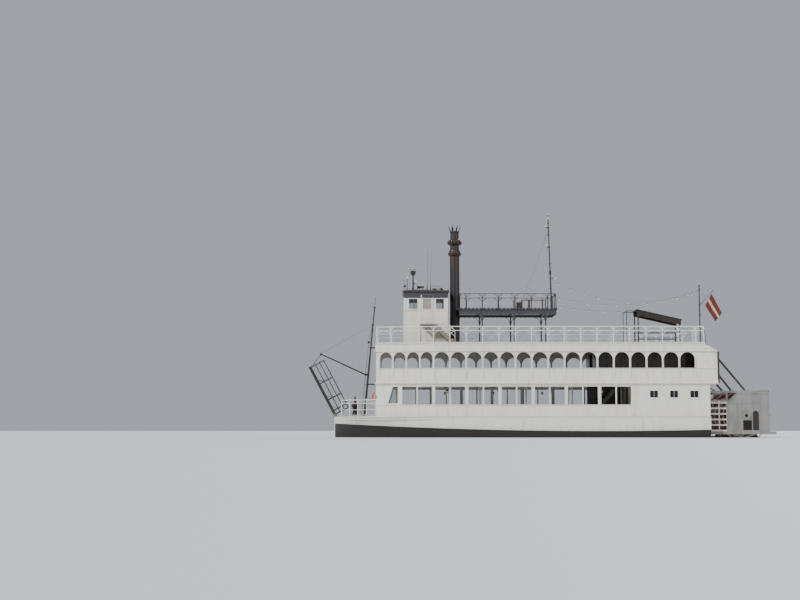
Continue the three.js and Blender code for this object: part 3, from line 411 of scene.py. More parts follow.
def moulding(path: Array, profile: list[tuple[float, float]]) -> Skin:
    """A profile of (out, up) pairs carried along a level path, with mitred corners.

    Out is to the right of the way along the path: the mean of the two sides' normals over one
    plus their product keeps the profile's width round each corner.
    """
    path = np.asarray(path, float)
    ways = unit(np.diff(path, axis=0)[:, :2])
    outs = points_at(ways[:, 1], -ways[:, 0])
    before, after = np.vstack([outs[:1], outs]), np.vstack([outs, outs[-1:]])
    mitre = (before + after) / (1 + np.sum(before * after, axis=1, keepdims=True))
    shape = np.asarray(profile, float)
    points = path[:, None, :].repeat(len(shape), axis=1)
    points[..., :2] += shape[None, :, :1] * mitre[:, None, :]
    points[..., 2] += shape[None, :, 1]
    return grid(points).outward()


def half_round(radius: float, steps: int = 6) -> list[tuple[float, float]]:
    """A half-round profile that stands out from a wall."""
    angle = np.linspace(-np.pi / 2, np.pi / 2, steps + 1)
    return list(zip(radius * np.cos(angle), radius * np.sin(angle)))


def smooth_through(known: Array, columns: Array, wanted: Array) -> Array:
    """Columns of values at wanted places, on cubics that never overshoot the known rows.

    Each slope is the harmonic mean of the slopes on its two sides, or zero at a turn.
    """
    step = np.diff(known)[:, None]
    slope = np.diff(columns, axis=0) / step
    product = slope[:-1] * slope[1:]
    total = np.where(product > 0, slope[:-1] + slope[1:], 1)
    inner = np.where(product > 0, 2 * product / total, 0)
    tangent = np.concatenate([slope[:1], inner, slope[-1:]])
    cell = np.clip(np.searchsorted(known, wanted, side="right") - 1, 0, len(known) - 2)
    width = step[cell]
    t = ((wanted - known[cell]) / width[:, 0])[:, None]
    rise = t * t * (3 - 2 * t)
    start = (t - 1) ** 2 * t * width * tangent[cell]
    end = (t - 1) * t * t * width * tangent[cell + 1]
    return columns[cell] * (1 - rise) + columns[cell + 1] * rise + start + end


# Finishes.


def linear(colour: str) -> tuple[float, float, float, float]:
    """An sRGB hex colour as linear red, green and blue with full alpha."""
    channels = np.array([int(colour[i:i + 2], 16) for i in (0, 2, 4)]) / 255
    values = np.where(channels <= 0.04045, channels / 12.92, ((channels + 0.055) / 1.055) ** 2.4)
    return (*values.tolist(), 1.0)


def add_node(tree: bpy.types.NodeTree, kind: str, *values: Any, **named: Any) -> bpy.types.Node:
    """Adds one node with its settings, values and links.

    Args:
        tree: the material's nodes.
        kind: the node's type, without its prefix.
        values: what the first inputs get: a value, a socket, or a node for its first output.
        named: a lower-case word sets a property. Others name an input, with _ for a space.

    Returns:
        The node.
    """
    node = tree.nodes.new("ShaderNode" + kind)
    for key, value in named.items():
        if key.islower():
            setattr(node, key, value)
    sockets = [socket for socket in node.inputs if socket.enabled]
    known = {socket.name.replace(" ", "_"): socket for socket in sockets}
    given = [*zip(sockets, values), *((known[key], named[key]) for key in named if not key.islower())]
    for socket, value in given:
        if isinstance(value, bpy.types.Node):
            value = next(output for output in value.outputs if output.enabled)
        if isinstance(value, bpy.types.NodeSocket):
            tree.links.new(value, socket)
        else:
            socket.default_value = value
    return node


def blank_material(name: str) -> bpy.types.Material:
    """A material with an empty node tree."""
    made = bpy.data.materials.new(name)
    made.use_nodes = True
    made.node_tree.nodes.clear()
    return made


def finish_with(tree: bpy.types.NodeTree, **inputs: Any) -> None:
    """Ends a node tree in a Principled shader with the given inputs."""
    add_node(tree, "OutputMaterial", Surface=add_node(tree, "BsdfPrincipled", **inputs))


@dataclass(frozen=True)
class Finish:
    """What all finishes share: a name, a slot name and one material that is made once."""

    name: str
    slot: str

    def material(self) -> bpy.types.Material:
        """The finish's material, made the first time it is asked for."""
        found = bpy.data.materials.get(self.name)
        if found is None:
            found = blank_material(self.name)
            self.fill(found.node_tree)
        return found

    def fill(self, tree: bpy.types.NodeTree) -> None:
        """Builds the finish's nodes."""
        raise NotImplementedError


@dataclass(frozen=True)
class Enamel(Finish):
    """Brushed marine enamel: broad fading, run-down grime in upright streaks and brush marks.

    The streaks are 0.25 m wide and 2.2 m long, as rain leaves them below an edge. The brush
    marks are 3 mm on the boat and are drawn at 25 mm, because finer ones wouldn't show.
    """

    colour: str = "e8e5db"
    faded: str = "dcd8cc"
    grime: str = "8d8474"
    streak: float = 0.35
    roughness: tuple[float, float] = (0.32, 0.55)
    grain_mm: float = 25.0
    relief_mm: float = 0.8
    coat: float = 0.15

    def fill(self, tree: bpy.types.NodeTree) -> None:
        """Noise on Object coordinates mixes the three tones and drives roughness and bump."""
        place = add_node(tree, "TexCoord").outputs["Object"]
        broad = add_node(tree, "TexNoise", Vector=place, Scale=0.9, Detail=3.0)
        drawn_out = add_node(tree, "Mapping", Vector=place, Scale=(4.0, 4.0, 0.45))
        run_down = add_node(tree, "TexNoise", Vector=drawn_out, Scale=1.0, Detail=6.0, Roughness=0.6)
        grain = add_node(tree, "TexNoise", Vector=place, Scale=1000 / self.grain_mm, Detail=2.0)
        soiled = add_node(tree, "MapRange", Value=run_down, From_Min=0.5, From_Max=0.78, To_Max=self.streak)
        paint = add_node(tree, "Mix", broad, linear(self.colour), linear(self.faded), data_type="RGBA")
        worn = add_node(tree, "Mix", soiled, paint, linear(self.grime), data_type="RGBA")
        shine = add_node(tree, "MapRange", Value=run_down, From_Min=0.3, From_Max=0.75,
                         To_Min=self.roughness[0], To_Max=self.roughness[1])
        bump = add_node(tree, "Bump", Height=grain, Strength=0.35, Distance=self.relief_mm / 1000)
        finish_with(tree, Base_Color=worn, Roughness=shine, Normal=bump, Coat_Weight=self.coat)


@dataclass(frozen=True)
class HullEnamel(Finish):
    """Hull paint in three bands: white topsides, a black boot top and dark red below the water.

    The boot top's upper edge follows the sheer, as a parabola in the distance along the boat,
    and a band of scum and rust stains lies just over it.
    """

    white: str = "dfdcd3"
    boot: str = "17130f"
    bottom: str = "4e211a"
    edge_at_origin: float = 0.4915
    edge_slope: float = 0.0166
    edge_bend: float = 0.00159

    def fill(self, tree: bpy.types.NodeTree) -> None:
        """Height less the edge's height, through steep ramps, picks the band."""
        place = add_node(tree, "TexCoord").outputs["Object"]
        parts = add_node(tree, "SeparateXYZ", place)
        rough = add_node(tree, "TexNoise", Vector=place, Scale=5.0, Detail=6.0)
        slope = add_node(tree, "Math", parts.outputs[0], -self.edge_bend, -self.edge_slope,
                         operation="MULTIPLY_ADD")
        rise = add_node(tree, "Math", parts.outputs[0], slope, parts.outputs[2], operation="MULTIPLY_ADD")
        above = add_node(tree, "MapRange", Value=rise, From_Min=self.edge_at_origin - 0.006,
                         From_Max=self.edge_at_origin + 0.006)
        wet = add_node(tree, "MapRange", Value=parts.outputs[2], From_Min=-0.02, From_Max=0.02)
        drawn_out = add_node(tree, "Mapping", Vector=place, Scale=(3.0, 3.0, 0.5))
        run_down = add_node(tree, "TexNoise", Vector=drawn_out, Scale=1.0, Detail=7.0, Roughness=0.62)
        stain = add_node(tree, "MapRange", Value=run_down, From_Min=0.52, From_Max=0.8, To_Max=0.5)
        scum = add_node(tree, "MapRange", Value=rise, From_Min=self.edge_at_origin + 0.3,
                        From_Max=self.edge_at_origin, To_Max=0.35)
        scum_patch = add_node(tree, "Math", scum, rough, operation="MULTIPLY")
        topside = add_node(tree, "Mix", stain, linear(self.white), linear("9a8f7e"), data_type="RGBA")
        tidemark = add_node(tree, "Mix", scum_patch, topside, linear("5c4f3a"), data_type="RGBA")
        below = add_node(tree, "Mix", wet, linear(self.bottom), linear(self.boot), data_type="RGBA")
        whole = add_node(tree, "Mix", above, below, tidemark, data_type="RGBA")
        shine = add_node(tree, "MapRange", Value=rough, From_Min=0.3, From_Max=0.7, To_Min=0.3, To_Max=0.55)
        plating = add_node(tree, "TexNoise", Vector=place, Scale=1.3, Detail=1.0)
        bump = add_node(tree, "Bump", Height=plating, Strength=0.4, Distance=0.012)
        finish_with(tree, Base_Color=whole, Roughness=shine, Normal=bump, Coat_Weight=0.15)


@dataclass(frozen=True)
class DeckCovering(Finish):
    """Non-slip deck paint over boards: sanded grit, traffic wear and tarred seams between boards."""

    colour: str = "7d776b"
    worn: str = "9c9484"
    seam: str = "3b362f"
    board: tuple[float, float] = (2.4, 0.14)

    def fill(self, tree: bpy.types.NodeTree) -> None:
        """A brick pattern in plan gives the boards, and two noises the wear and the grit."""
        place = add_node(tree, "TexCoord").outputs["Object"]
        length, width = self.board
        boards = add_node(tree, "TexBrick", Vector=place, Scale=1.0, Mortar_Size=0.006, Mortar_Smooth=0.1,
                          Brick_Width=length, Row_Height=width, Color1=linear(self.colour),
                          Color2=linear("87806f"), Mortar=linear(self.seam))
        wear = add_node(tree, "TexNoise", Vector=place, Scale=0.7, Detail=8.0, Roughness=0.65)
        trodden = add_node(tree, "MapRange", Value=wear, From_Min=0.45, From_Max=0.7, To_Max=0.6)
        tone = add_node(tree, "Mix", trodden, boards, linear(self.worn), data_type="RGBA")
        grit = add_node(tree, "TexNoise", Vector=place, Scale=60.0, Detail=2.0)
        bump = add_node(tree, "Bump", Height=grit, Strength=0.5, Distance=0.002)
        finish_with(tree, Base_Color=tone, Roughness=0.82, Normal=bump)


@dataclass(frozen=True)
class Timber(Finish):
    """Varnished or worn timber: long grain, darker rings and a thin coat of varnish."""

    light: str = "9a6a40"
    dark: str = "5b3820"
    stretch: Point = (1.2, 14.0, 14.0)
    roughness: float = 0.42
    coat: float = 0.3

    def fill(self, tree: bpy.types.NodeTree) -> None:
        """Noise that is drawn out along the grain bends the bands of a wave."""
        place = add_node(tree, "TexCoord").outputs["Object"]
        drawn_out = add_node(tree, "Mapping", Vector=place, Scale=self.stretch)
        fibre = add_node(tree, "TexNoise", Vector=drawn_out, Scale=1.0, Detail=8.0, Roughness=0.6)
        rings = add_node(tree, "TexWave", Vector=drawn_out, Scale=0.25, Distortion=6.0, Detail=3.0)
        both = add_node(tree, "Math", rings.outputs["Fac"], 0.45, fibre, operation="MULTIPLY_ADD")
        tone = add_node(tree, "MapRange", Value=both, From_Min=0.45, From_Max=1.0)
        colour = add_node(tree, "Mix", tone, linear(self.light), linear(self.dark), data_type="RGBA")
        bump = add_node(tree, "Bump", Height=fibre, Strength=0.3, Distance=0.001)
        finish_with(tree, Base_Color=colour, Roughness=self.roughness, Normal=bump, Coat_Weight=self.coat)


@dataclass(frozen=True)
class WheelPaint(Finish):
    """Red oil paint on the wheel, worn to grey timber and stained dark where it dips."""

    paint: str = "8e2a20"
    bare: str = "6b5d4e"
    slime: str = "2a251a"
    hub: Point = (15.35, 0.0, -1.5)

    def fill(self, tree: bpy.types.NodeTree) -> None:
        """Wear comes from noise, and the stain from the distance to the shaft."""
        place = add_node(tree, "TexCoord").outputs["Object"]
        centred = add_node(tree, "Mapping", Vector=place, Location=self.hub, Scale=(1.0, 0.0, 1.0))
        out = add_node(tree, "VectorMath", centred, operation="LENGTH")
        dipped = add_node(tree, "MapRange", Value=out, From_Min=1.25, From_Max=1.75, To_Max=0.75)
        wear = add_node(tree, "TexNoise", Vector=place, Scale=7.0, Detail=9.0, Roughness=0.7)
        chipped = add_node(tree, "MapRange", Value=wear, From_Min=0.56, From_Max=0.62, To_Max=0.8)
        stain = add_node(tree, "Math", dipped, wear, operation="MULTIPLY")
        base = add_node(tree, "Mix", chipped, linear(self.paint), linear(self.bare), data_type="RGBA")
        colour = add_node(tree, "Mix", stain, base, linear(self.slime), data_type="RGBA")
        bump = add_node(tree, "Bump", Height=wear, Strength=0.5, Distance=0.003)
        finish_with(tree, Base_Color=colour, Roughness=0.62, Normal=bump)


@dataclass(frozen=True)
class Metal(Finish):
    """Bare or galvanised steel, or brass: spangle, tarnish and uneven polish."""

    colour: str = "8f9294"
    tarnish: str = "5a5148"
    roughness: tuple[float, float] = (0.3, 0.55)
    spots: float = 18.0

    def fill(self, tree: bpy.types.NodeTree) -> None:
        """One noise mixes the metal with its tarnish and spreads its roughness."""
        place = add_node(tree, "TexCoord").outputs["Object"]
        spangle = add_node(tree, "TexNoise", Vector=place, Scale=self.spots, Detail=5.0, Roughness=0.6)
        dull = add_node(tree, "MapRange", Value=spangle, From_Min=0.45, From_Max=0.7)
        colour = add_node(tree, "Mix", dull, linear(self.colour), linear(self.tarnish), data_type="RGBA")
        shine = add_node(tree, "MapRange", Value=spangle, From_Min=0.3, From_Max=0.7,
                         To_Min=self.roughness[0], To_Max=self.roughness[1])
        finish_with(tree, Base_Color=colour, Roughness=shine, Metallic=1.0)


@dataclass(frozen=True)
class Glazing(Finish):
    """Window or lamp glass: clear or tinted, with a film of salt that dulls it in patches."""

    tint: str = "b8c4c4"
    transmission: float = 0.85

    def fill(self, tree: bpy.types.NodeTree) -> None:
        """Noise spreads the roughness from polished to filmed."""
        place = add_node(tree, "TexCoord").outputs["Object"]
        film = add_node(tree, "TexNoise", Vector=place, Scale=3.0, Detail=4.0)
        shine = add_node(tree, "MapRange", Value=film, From_Min=0.4, From_Max=0.7, To_Min=0.03, To_Max=0.16)
        finish_with(tree, Base_Color=linear(self.tint), Roughness=shine,
                    Transmission_Weight=self.transmission, IOR=1.5)


@dataclass(frozen=True)
class Cloth(Finish):
    """Woven cloth on its own texture places: crossed threads and, on a flag, a broad band.

    Bunting has threads of 0.5 mm, which are drawn at 12 mm so that they show.
    """

    colour: str = "5c1613"
    band: str = "b9a58d"
    band_half: float = 0.10
    threads: float = 80.0

    def fill(self, tree: bpy.types.NodeTree) -> None:
        """Two waves cross for the weave, and the distance from the middle gives the band."""
        place = add_node(tree, "TexCoord").outputs["UV"]
        warp = add_node(tree, "TexWave", bands_direction="X", Vector=place, Scale=self.threads / 6.28)
        weft = add_node(tree, "TexWave", bands_direction="Y", Vector=place, Scale=self.threads / 6.28)
        weave = add_node(tree, "Math", warp.outputs["Fac"], weft.outputs["Fac"], operation="MULTIPLY")
        parts = add_node(tree, "SeparateXYZ", place)
        off = add_node(tree, "Math", parts.outputs[1], 0.5, operation="SUBTRACT")
        away = add_node(tree, "Math", off, operation="ABSOLUTE")
        stripe = add_node(tree, "MapRange", Value=away, From_Min=self.band_half + 0.01,
                          From_Max=self.band_half)
        fade = add_node(tree, "TexNoise", Vector=place, Scale=3.0, Detail=5.0)
        field_tone = add_node(tree, "Mix", fade, linear(self.colour), linear("6b241b"), data_type="RGBA")
        tone = add_node(tree, "Mix", stripe, field_tone, linear(self.band), data_type="RGBA")
        bump = add_node(tree, "Bump", Height=weave, Strength=0.4, Distance=0.001)
        finish_with(tree, Base_Color=tone, Roughness=0.85, Normal=bump, Sheen_Weight=0.25,
                    Sheen_Roughness=0.5)


@dataclass(frozen=True)
class Lay(Finish):
    """Rope, or a cable's jacket, on its own texture places: strands that wind round it, with painted shade in
    the grooves between them.
    """

    colour: str = "a08a63"
    shade: str = "5f4f36"
    pitch_m: float = 0.09
    roughness: float = 0.85

    def fill(self, tree: bpy.types.NodeTree) -> None:
        """A wave over around plus along gives the slanted strands. Its dark troughs are painted shade in the
        grooves.
        """
        place = add_node(tree, "TexCoord").outputs["UV"]
        skewed = add_node(tree, "Mapping", Vector=place, Scale=(3.0, 1 / self.pitch_m, 1.0),
                          Rotation=(0.0, 0.0, math.pi / 4))
        strand = add_node(tree, "TexWave", Vector=skewed, Scale=0.32)
        # The darker tone in the wave's troughs is painted shade between the strands.
        tone = add_node(tree, "Mix", strand.outputs["Fac"], linear(self.shade), linear(self.colour),
                        data_type="RGBA")
        bump = add_node(tree, "Bump", Height=strand.outputs["Fac"], Strength=0.6, Distance=0.003)
        finish_with(tree, Base_Color=tone, Roughness=self.roughness, Normal=bump)


class Finishes(Enum):
    """The boat's finishes, each named for what it is."""

    # Alkyd hull paint on plating: even white with tide marks, then a black and a dark red band.
    HULL = HullEnamel("hull_enamel", "hull_paint")
    # Brushed alkyd enamel on board and sheet: warm white, half gloss, with grey run-down dirt.
    WHITE = Enamel("white_enamel", "white_paint")
    # The same paint on bars, thicker and glossier, yellowed where hands and water touch it.
    RAIL = Enamel("rail_enamel", "rail_paint", colour="ebe9e2", grime="9b8f7c", streak=0.25)
    # Slate enamel on sawn trim: a dull, dark accent against the white. On the wheelhouse's valance the dark
    # tone is partly painted shade, for the shadow under the roof's edge.
    FASCIA = Enamel("slate_trim_enamel", "white_paint", colour="38363c", faded="434147", grime="2b2723",
                    streak=0.5)
    # Black-brown enamel on steel: deep and half gloss, browned by rust along its streaks.
    BLACK = Enamel("black_brown_enamel", "black_paint", colour="231a15", faded="342821", grime="4b3b2e",
                   streak=0.5, roughness=(0.28, 0.5))
    # Heat-proof stack paint: matt, scorched in patches, with rust runs.
    SOOT = Enamel("stack_enamel", "black_paint", colour="2b1d16", faded="1b1412", grime="50392b",
                  streak=0.6, roughness=(0.4, 0.7), grain_mm=40, relief_mm=1.5)
    # Grey machinery enamel on plate, dented and streaked with rust.
    FRAME = Enamel("frame_enamel", "frame_steel", colour="8e8f8c", faded="7b7a75", grime="4c4136",
                   streak=0.7, roughness=(0.4, 0.65), grain_mm=40, relief_mm=1.5)
    # White paint on splashed boards, rust-stained.
    SLAT = Enamel("slat_enamel", "frame_steel", colour="e2dfd6", faded="cfc9bb", grime="6a4a38", streak=0.5)
    # Brown oiled timber struts: dull and dark.
    STRUT = Enamel("strut_paint", "brown_wood", colour="3b2920", faded="4a352a", grime="241a14", streak=0.5,
                   roughness=(0.5, 0.75), coat=0.0)
    # Painted roof canvas: flat and slightly mottled.
    ROOF = Enamel("roof_canvas_paint", "black_paint", colour="3a302b", faded="453a34", grime="6a5f52",
                  streak=0.3, roughness=(0.6, 0.8))
    # Pleated paper blind behind glass: flat grey-beige.
    BLIND = Enamel("window_blind", "white_paint", colour="a29a92", faded="968d84", streak=0.1, coat=0.0)
    # Non-slip paint on boards and on roof panels: matt, gritty, scuffed along the walkways.
    DECK = DeckCovering("deck_paint_on_boards", "deck_paint")
    ROOF_DECK = DeckCovering("deck_paint_on_panels", "deck_paint", colour="837f75", board=(2.44, 1.22))
    # The same non-slip paint on single boards and treads: matt and gritty, worn pale where feet land.
    TREAD = Enamel("deck_paint_on_treads", "deck_paint", colour="6f6a5f", faded="8f8878", grime="453f36",
                   streak=0.5, roughness=(0.7, 0.9), grain_mm=16, relief_mm=1.5, coat=0.0)
    # Varnished mahogany: warm red-brown under a clear gloss.
    VARNISH = Timber("varnished_mahogany", "brown_wood", light="7c5233", dark="432817")
    # Dark panelling of the saloon: upright grain, low sheen, almost black in the shade.
    SALOON = Timber("saloon_panelling", "brown_wood", light="4a3c33", dark="2a211c", stretch=(9.0, 9.0, 1.0))
    # Red oil paint on paddle timber: worn to the grain, slimy at the tips.
    WHEEL = WheelPaint("worn_red_wheel_paint", "red_paint")
    # Pale enamel on the wheel's rings: chalky with rust runs.
    RIM = Enamel("wheel_rim_enamel", "red_paint", colour="d9d4c8", faded="c4baaa", grime="5b3a2a", streak=0.6)
    # Galvanised steel, oiled iron and tarnished brass: spangle, dark oil and dull gold.
    STEEL = Metal("galvanised_steel", "machine_steel")
    IRON = Metal("oiled_iron", "machine_steel", colour="4a4845", tarnish="2e2723", roughness=(0.4, 0.6))
    BRASS = Metal("tarnished_brass", "machine_steel", colour="b08d4a", tarnish="5e4a2a")
    # Float glass, smoked glass and frosted lamp glass: clear with salt, dark mirror, warm white.
    GLASS = Glazing("wheelhouse_glass", "radar_plastic", tint="eef3f1", transmission=1.0)
    DARK_GLASS = Glazing("tinted_glass", "radar_plastic", tint="1c2226", transmission=0.25)
    BULB = Glazing("frosted_bulb_glass", "radar_plastic", tint="fff0cf", transmission=0.35)
    # Gelcoat on moulded domes: smooth, glossy pale grey.
    RADAR = Enamel("radar_gelcoat", "radar_plastic", colour="c4c6c4", faded="b8bab7", streak=0.2, coat=0.4)
    # Wool bunting: deep red with a pale band, soft and fuzzy.
    FLAG = Cloth("wool_bunting", "flag_cloth")
    # Hemp rope, wire rope and rubber cable: slanted strands, tan, grey and black, darker between the strands
    # as painted shade.
    ROPE = Lay("three_strand_rope", "string_rubber")
    WIRE = Lay("steel_wire_rope", "machine_steel", colour="6f6d69", shade="35322e", pitch_m=0.05,
               roughness=0.5)
    CABLE = Lay("rubber_lamp_cable", "string_rubber", colour="1d1b19", shade="0f0e0d", pitch_m=0.02,
                roughness=0.6)
    # Moulded phenolic lamp holders: plain dull black.
    HOLDER = Enamel("moulded_lamp_holder", "string_rubber", colour="161412", faded="211f1c", grime="2c2823",
                    roughness=(0.45, 0.7), coat=0.0)
    # Bottom paint on the rudders: dark, matt, blotched by growth.
    BOTTOM = Enamel("rudder_bottom_paint", "machine_steel", colour="2a1f1b", faded="3a2a24", grime="554838",
                    streak=0.6, roughness=(0.4, 0.7))
    # Canvas paint on the life ring: flat orange.
    LIFE_RING = Enamel("life_ring_paint", "radar_plastic", colour="c9542c", faded="b9492a", streak=0.2)


def make(name: str, skin: Skin, finish: Finishes, body: str = "boat", replaces: str = "",
         bevel: float = 0.0, angle: float = 32.0) -> bpy.types.Object:
    """Turns a skin into a piece that rides on a body.

    Args:
        name: the piece's name.
        skin: its points and faces.
        finish: its finish.
        body: the body of the frame that carries it.
        replaces: the node of the frame that it stands for.
        bevel: width of the eased edges, or 0.
        angle: edges sharper than this stay sharp in shading, in degrees.

    Returns:
        The object.
    """
    mesh = bpy.data.meshes.new(name)
    faces = [row for block in skin.blocks for row in block.tolist()]
    mesh.from_pydata(skin.whole().tolist(), [], faces)
    if any(uv is not None for uv in skin.corners):
        places = [np.zeros((*block.shape, 2)) if uv is None else uv for block,
                  uv in zip(skin.blocks, skin.corners)]
        layer = mesh.uv_layers.new(name="places")
        layer.uv.foreach_set("vector", np.concatenate([p.reshape(-1, 2) for p in places]).ravel())
    mesh.polygons.foreach_set("use_smooth", [True] * len(mesh.polygons))
    mesh.set_sharp_from_angle(angle=math.radians(angle))
    mesh.materials.append(finish.value.material())
    mesh.validate()
    piece = bpy.data.objects.new(name, mesh)
    bpy.context.scene.collection.objects.link(piece)
    if bevel:
        eased = piece.modifiers.new("eased edges", "BEVEL")
        eased.width = bevel
        eased.segments = 1
        eased.limit_method = "ANGLE"
        eased.angle_limit = math.radians(40)
    if replaces:
        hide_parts(replaces)
    if body:
        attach(piece, body)
    LOG.info("%s: %d faces on %s", name, len(faces), body)
    return piece


def dress(finish: Finishes, *nodes: str) -> None:
    """Gives nodes of the frame a finish."""
    for name in nodes:
        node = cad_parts[name]
        if not node.material_slots:
            node.data.materials.append(None)
        node.material_slots[0].material = finish.value.material()


# The boat's plan and heights, which several sub-assemblies share.


@dataclass(frozen=True)
class Plan:
    """Heights above the water and the decks' outline, in metres."""

    main_deck: float = 1.45
    main_sill: float = 2.23
    main_head: float = 3.46
    second_deck: float = 3.80
    bulwark_top: float = 4.71
    arch_top: float = 5.80
    fascia_under: float = 5.84
    top_deck: float = 6.40
    stern: float = -13.23
    top_stern: float = -12.44
    shoulder: float = 6.08
    front: float = 10.0
    half: float = 4.03
    taper: float = 0.17
    lip: float = 0.05
    arcade_stern: float = -11.76
    bays: int = 16

    @property
    def pitch(self) -> float:
        """Distance between the columns of the second deck."""
        return (self.shoulder - self.arcade_stern) / self.bays

    def half_width(self, x: Array | float, inset: float = 0.0) -> Array | float:
        """Half the decks' width: even to the shoulder, then tapering evenly to the front."""
        return self.half - inset - np.maximum(0, np.asarray(x) - self.shoulder) * self.taper

    def edge(self, z: float, inset: float = 0.0, aft: float | None = None,
             fore: float | None = None) -> Array:
        """The deck's edge from starboard aft round the front to port aft, at one height."""
        aft = self.stern - 0.02 if aft is None else aft
        fore = self.front + self.lip if fore is None else fore
        side = np.array([[x, -float(self.half_width(x, inset)), z] for x in (aft, self.shoulder, fore)])
        return np.concatenate([side, side[::-1] * [1, -1, 1]])

    def outline(self, aft: float, fore: float) -> Array:
        """The deck's plan as a loop, 10 mm inside its edge."""
        side = np.array([[x, float(self.half_width(x, 0.01))] for x in (aft, self.shoulder, fore)])
        return np.concatenate([side, side[::-1] * [1, -1]])

    def side(self, z: float, inset: float, aft: float, fore: float) -> Array:
        """The port half of a wall's line, from its front to its after end."""
        return np.array([[x, float(self.half_width(x, inset)), z] for x in (fore, self.shoulder, aft)])


PLAN = Plan()
# What each solid stands off the one it rests on, and how thick a deck's covering is.
GAP = 0.0003
COVERING = 0.002
# Place of the capstan along the boat, and the height of the base it turns on.
CAPSTAN_X = 11.55
CAPSTAN_FOOT = 1.5203


@dataclass(frozen=True)
class Walls:
    """The port side's two sheets of one wall, to the shoulder and from there to the front."""

    inset: float

    def straight(self) -> Plane:
        """The plane of the straight sheet, drawn in X and Z, with its depth to starboard."""
        return upright(PLAN.half - self.inset)

    def fore(self) -> Plane:
        """The plane of the tapering sheet, drawn from the shoulder."""
        return Plane((PLAN.shoulder, PLAN.half - self.inset, 0.0), (1.0, -PLAN.taper, 0.0))

    @property
    def fore_length(self) -> float:
        """Length of the tapering sheet."""
        return (PLAN.front - PLAN.shoulder) * math.hypot(1, PLAN.taper)


def ring_of(loop: Array, width: float) -> Array:
    """A loop offset outward by a width, with mitred corners.

    Each corner moves along the sum of its two edges' normals over one plus their product.
    """
    loop = loop if area_of(loop) > 0 else loop[::-1]
    ways = unit(np.roll(loop, -1, axis=0) - loop)
    outs = points_at(ways[:, 1], -ways[:, 0])
    before = np.roll(outs, 1, axis=0)
    mitre = (before + outs) / (1 + np.sum(before * outs, axis=1, keepdims=True))
    return loop + mitre * width


def casing(loop: Array, width: float, plane: Plane, back: float, front: float) -> Skin:
    """A flat moulding of even width round an opening."""
    return pierced(ring_of(loop, width), plane, back, front, holes=[loop])


def panes(loop: Array, plane: Plane, depth: float, thick: float = 0.006) -> Skin:
    """A pane of glass that fills an opening, a little larger than it."""
    return pierced(ring_of(loop, 0.01), plane, depth - thick, depth)


MAIN_WALLS = Walls(0.08)
ARCADE_WALLS = Walls(0.04)


def window(loop: Array, plane: Plane, face: float, out: float, width: float = 0.05,
           proud: float = 0.02) -> Skin:
    """A casing round an opening on one face of a wall.

    Args:
        loop: the opening.
        plane: the wall's plane.
        face: depth of the wall's face.
        out: +1 or -1, the way out of the face.
        width: width of the moulding.
        proud: how far it stands out.

    Returns:
        The skin.
    """
    low, high = sorted((face, face + out * proud))
    return casing(loop, width, plane, low, high)


# Sub-assemblies.


@dataclass
class Studio:
    """The photograph's camera, soft lights and a pale floor at the height of the water."""

    eye: Point = (8.364, 94.0, 0.58)
    pitch_deg: float = 5.57
    focal_px: float = 1323.0
    image_px: int = 800
    sensor_mm: float = 36.0
    reach: float = 320.0

    def build(self) -> None:
        """Makes the camera, the lights, the world and the floor."""
        self.camera()
        self.sun("key light", (-0.62, -0.50, -0.60), 3.7, 9)
        self.sun("fill light", (0.60, -0.55, -0.20), 0.8, 40)
        self.sun("rim light", (0.35, 0.80, -0.45), 1.2, 30)
        self.world()
        self.floor()

    def camera(self) -> None:
        """Sets the camera by its place, its pitch and its focal length in pixels."""
        lens = bpy.data.cameras.new("camera")
        lens.lens = self.focal_px / self.image_px * self.sensor_mm
        lens.sensor_width = self.sensor_mm
        lens.clip_end = 1000
        holder = bpy.data.objects.new("camera", lens)
        holder.location = self.eye
        holder.rotation_euler = (math.radians(90 + self.pitch_deg), 0, math.pi)
        bpy.context.scene.collection.objects.link(holder)
        bpy.context.scene.camera = holder

    def sun(self, name: str, way: Point, energy: float, spread_deg: float) -> None:
        """Adds one wide, far light that shines along a way."""
        lamp = bpy.data.lights.new(name, "SUN")
        lamp.energy = energy
        lamp.angle = math.radians(spread_deg)
        holder = bpy.data.objects.new(name, lamp)
        holder.rotation_euler = Vector(way).to_track_quat("-Z", "Y").to_euler()
        bpy.context.scene.collection.objects.link(holder)

    def world(self) -> None:
        """Sets an even pale surround."""
        world = bpy.data.worlds.new("studio surround")
        world.use_nodes = True
        world.node_tree.nodes["Background"].inputs[0].default_value = (0.72, 0.78, 0.88, 1)
        world.node_tree.nodes["Background"].inputs[1].default_value = 0.55
        bpy.context.scene.world = world

    def floor(self) -> None:
        """Adds the floor, a plain matt sheet."""
        corners = np.array([[-1, -1, 0], [1, -1, 0], [1, 1, 0], [-1, 1, 0]]) * self.reach
        mesh = bpy.data.meshes.new("floor")
        mesh.from_pydata(corners.tolist(), [], [(0, 1, 2, 3)])
        paper = blank_material("studio_paper")
        finish_with(paper.node_tree, Base_Color=linear("cfd2d3"), Roughness=0.75)
        mesh.materials.append(paper)
        holder = bpy.data.objects.new("floor", mesh)
        bpy.context.scene.collection.objects.link(holder)


@dataclass
class MastLine:
    """The main mast's line: its place along the boat at each height."""

    foot: float = -2.46
    head: float = -2.25
    foot_height: float = 8.95
    top: float = 16.03

    def x(self, z: Array | float) -> Array | float:
        """Place along the boat at a height: even between foot and head."""
        return self.foot + (self.head - self.foot) * (z - self.foot_height) / (self.top - self.foot_height)


MAST_LINE = MastLine()


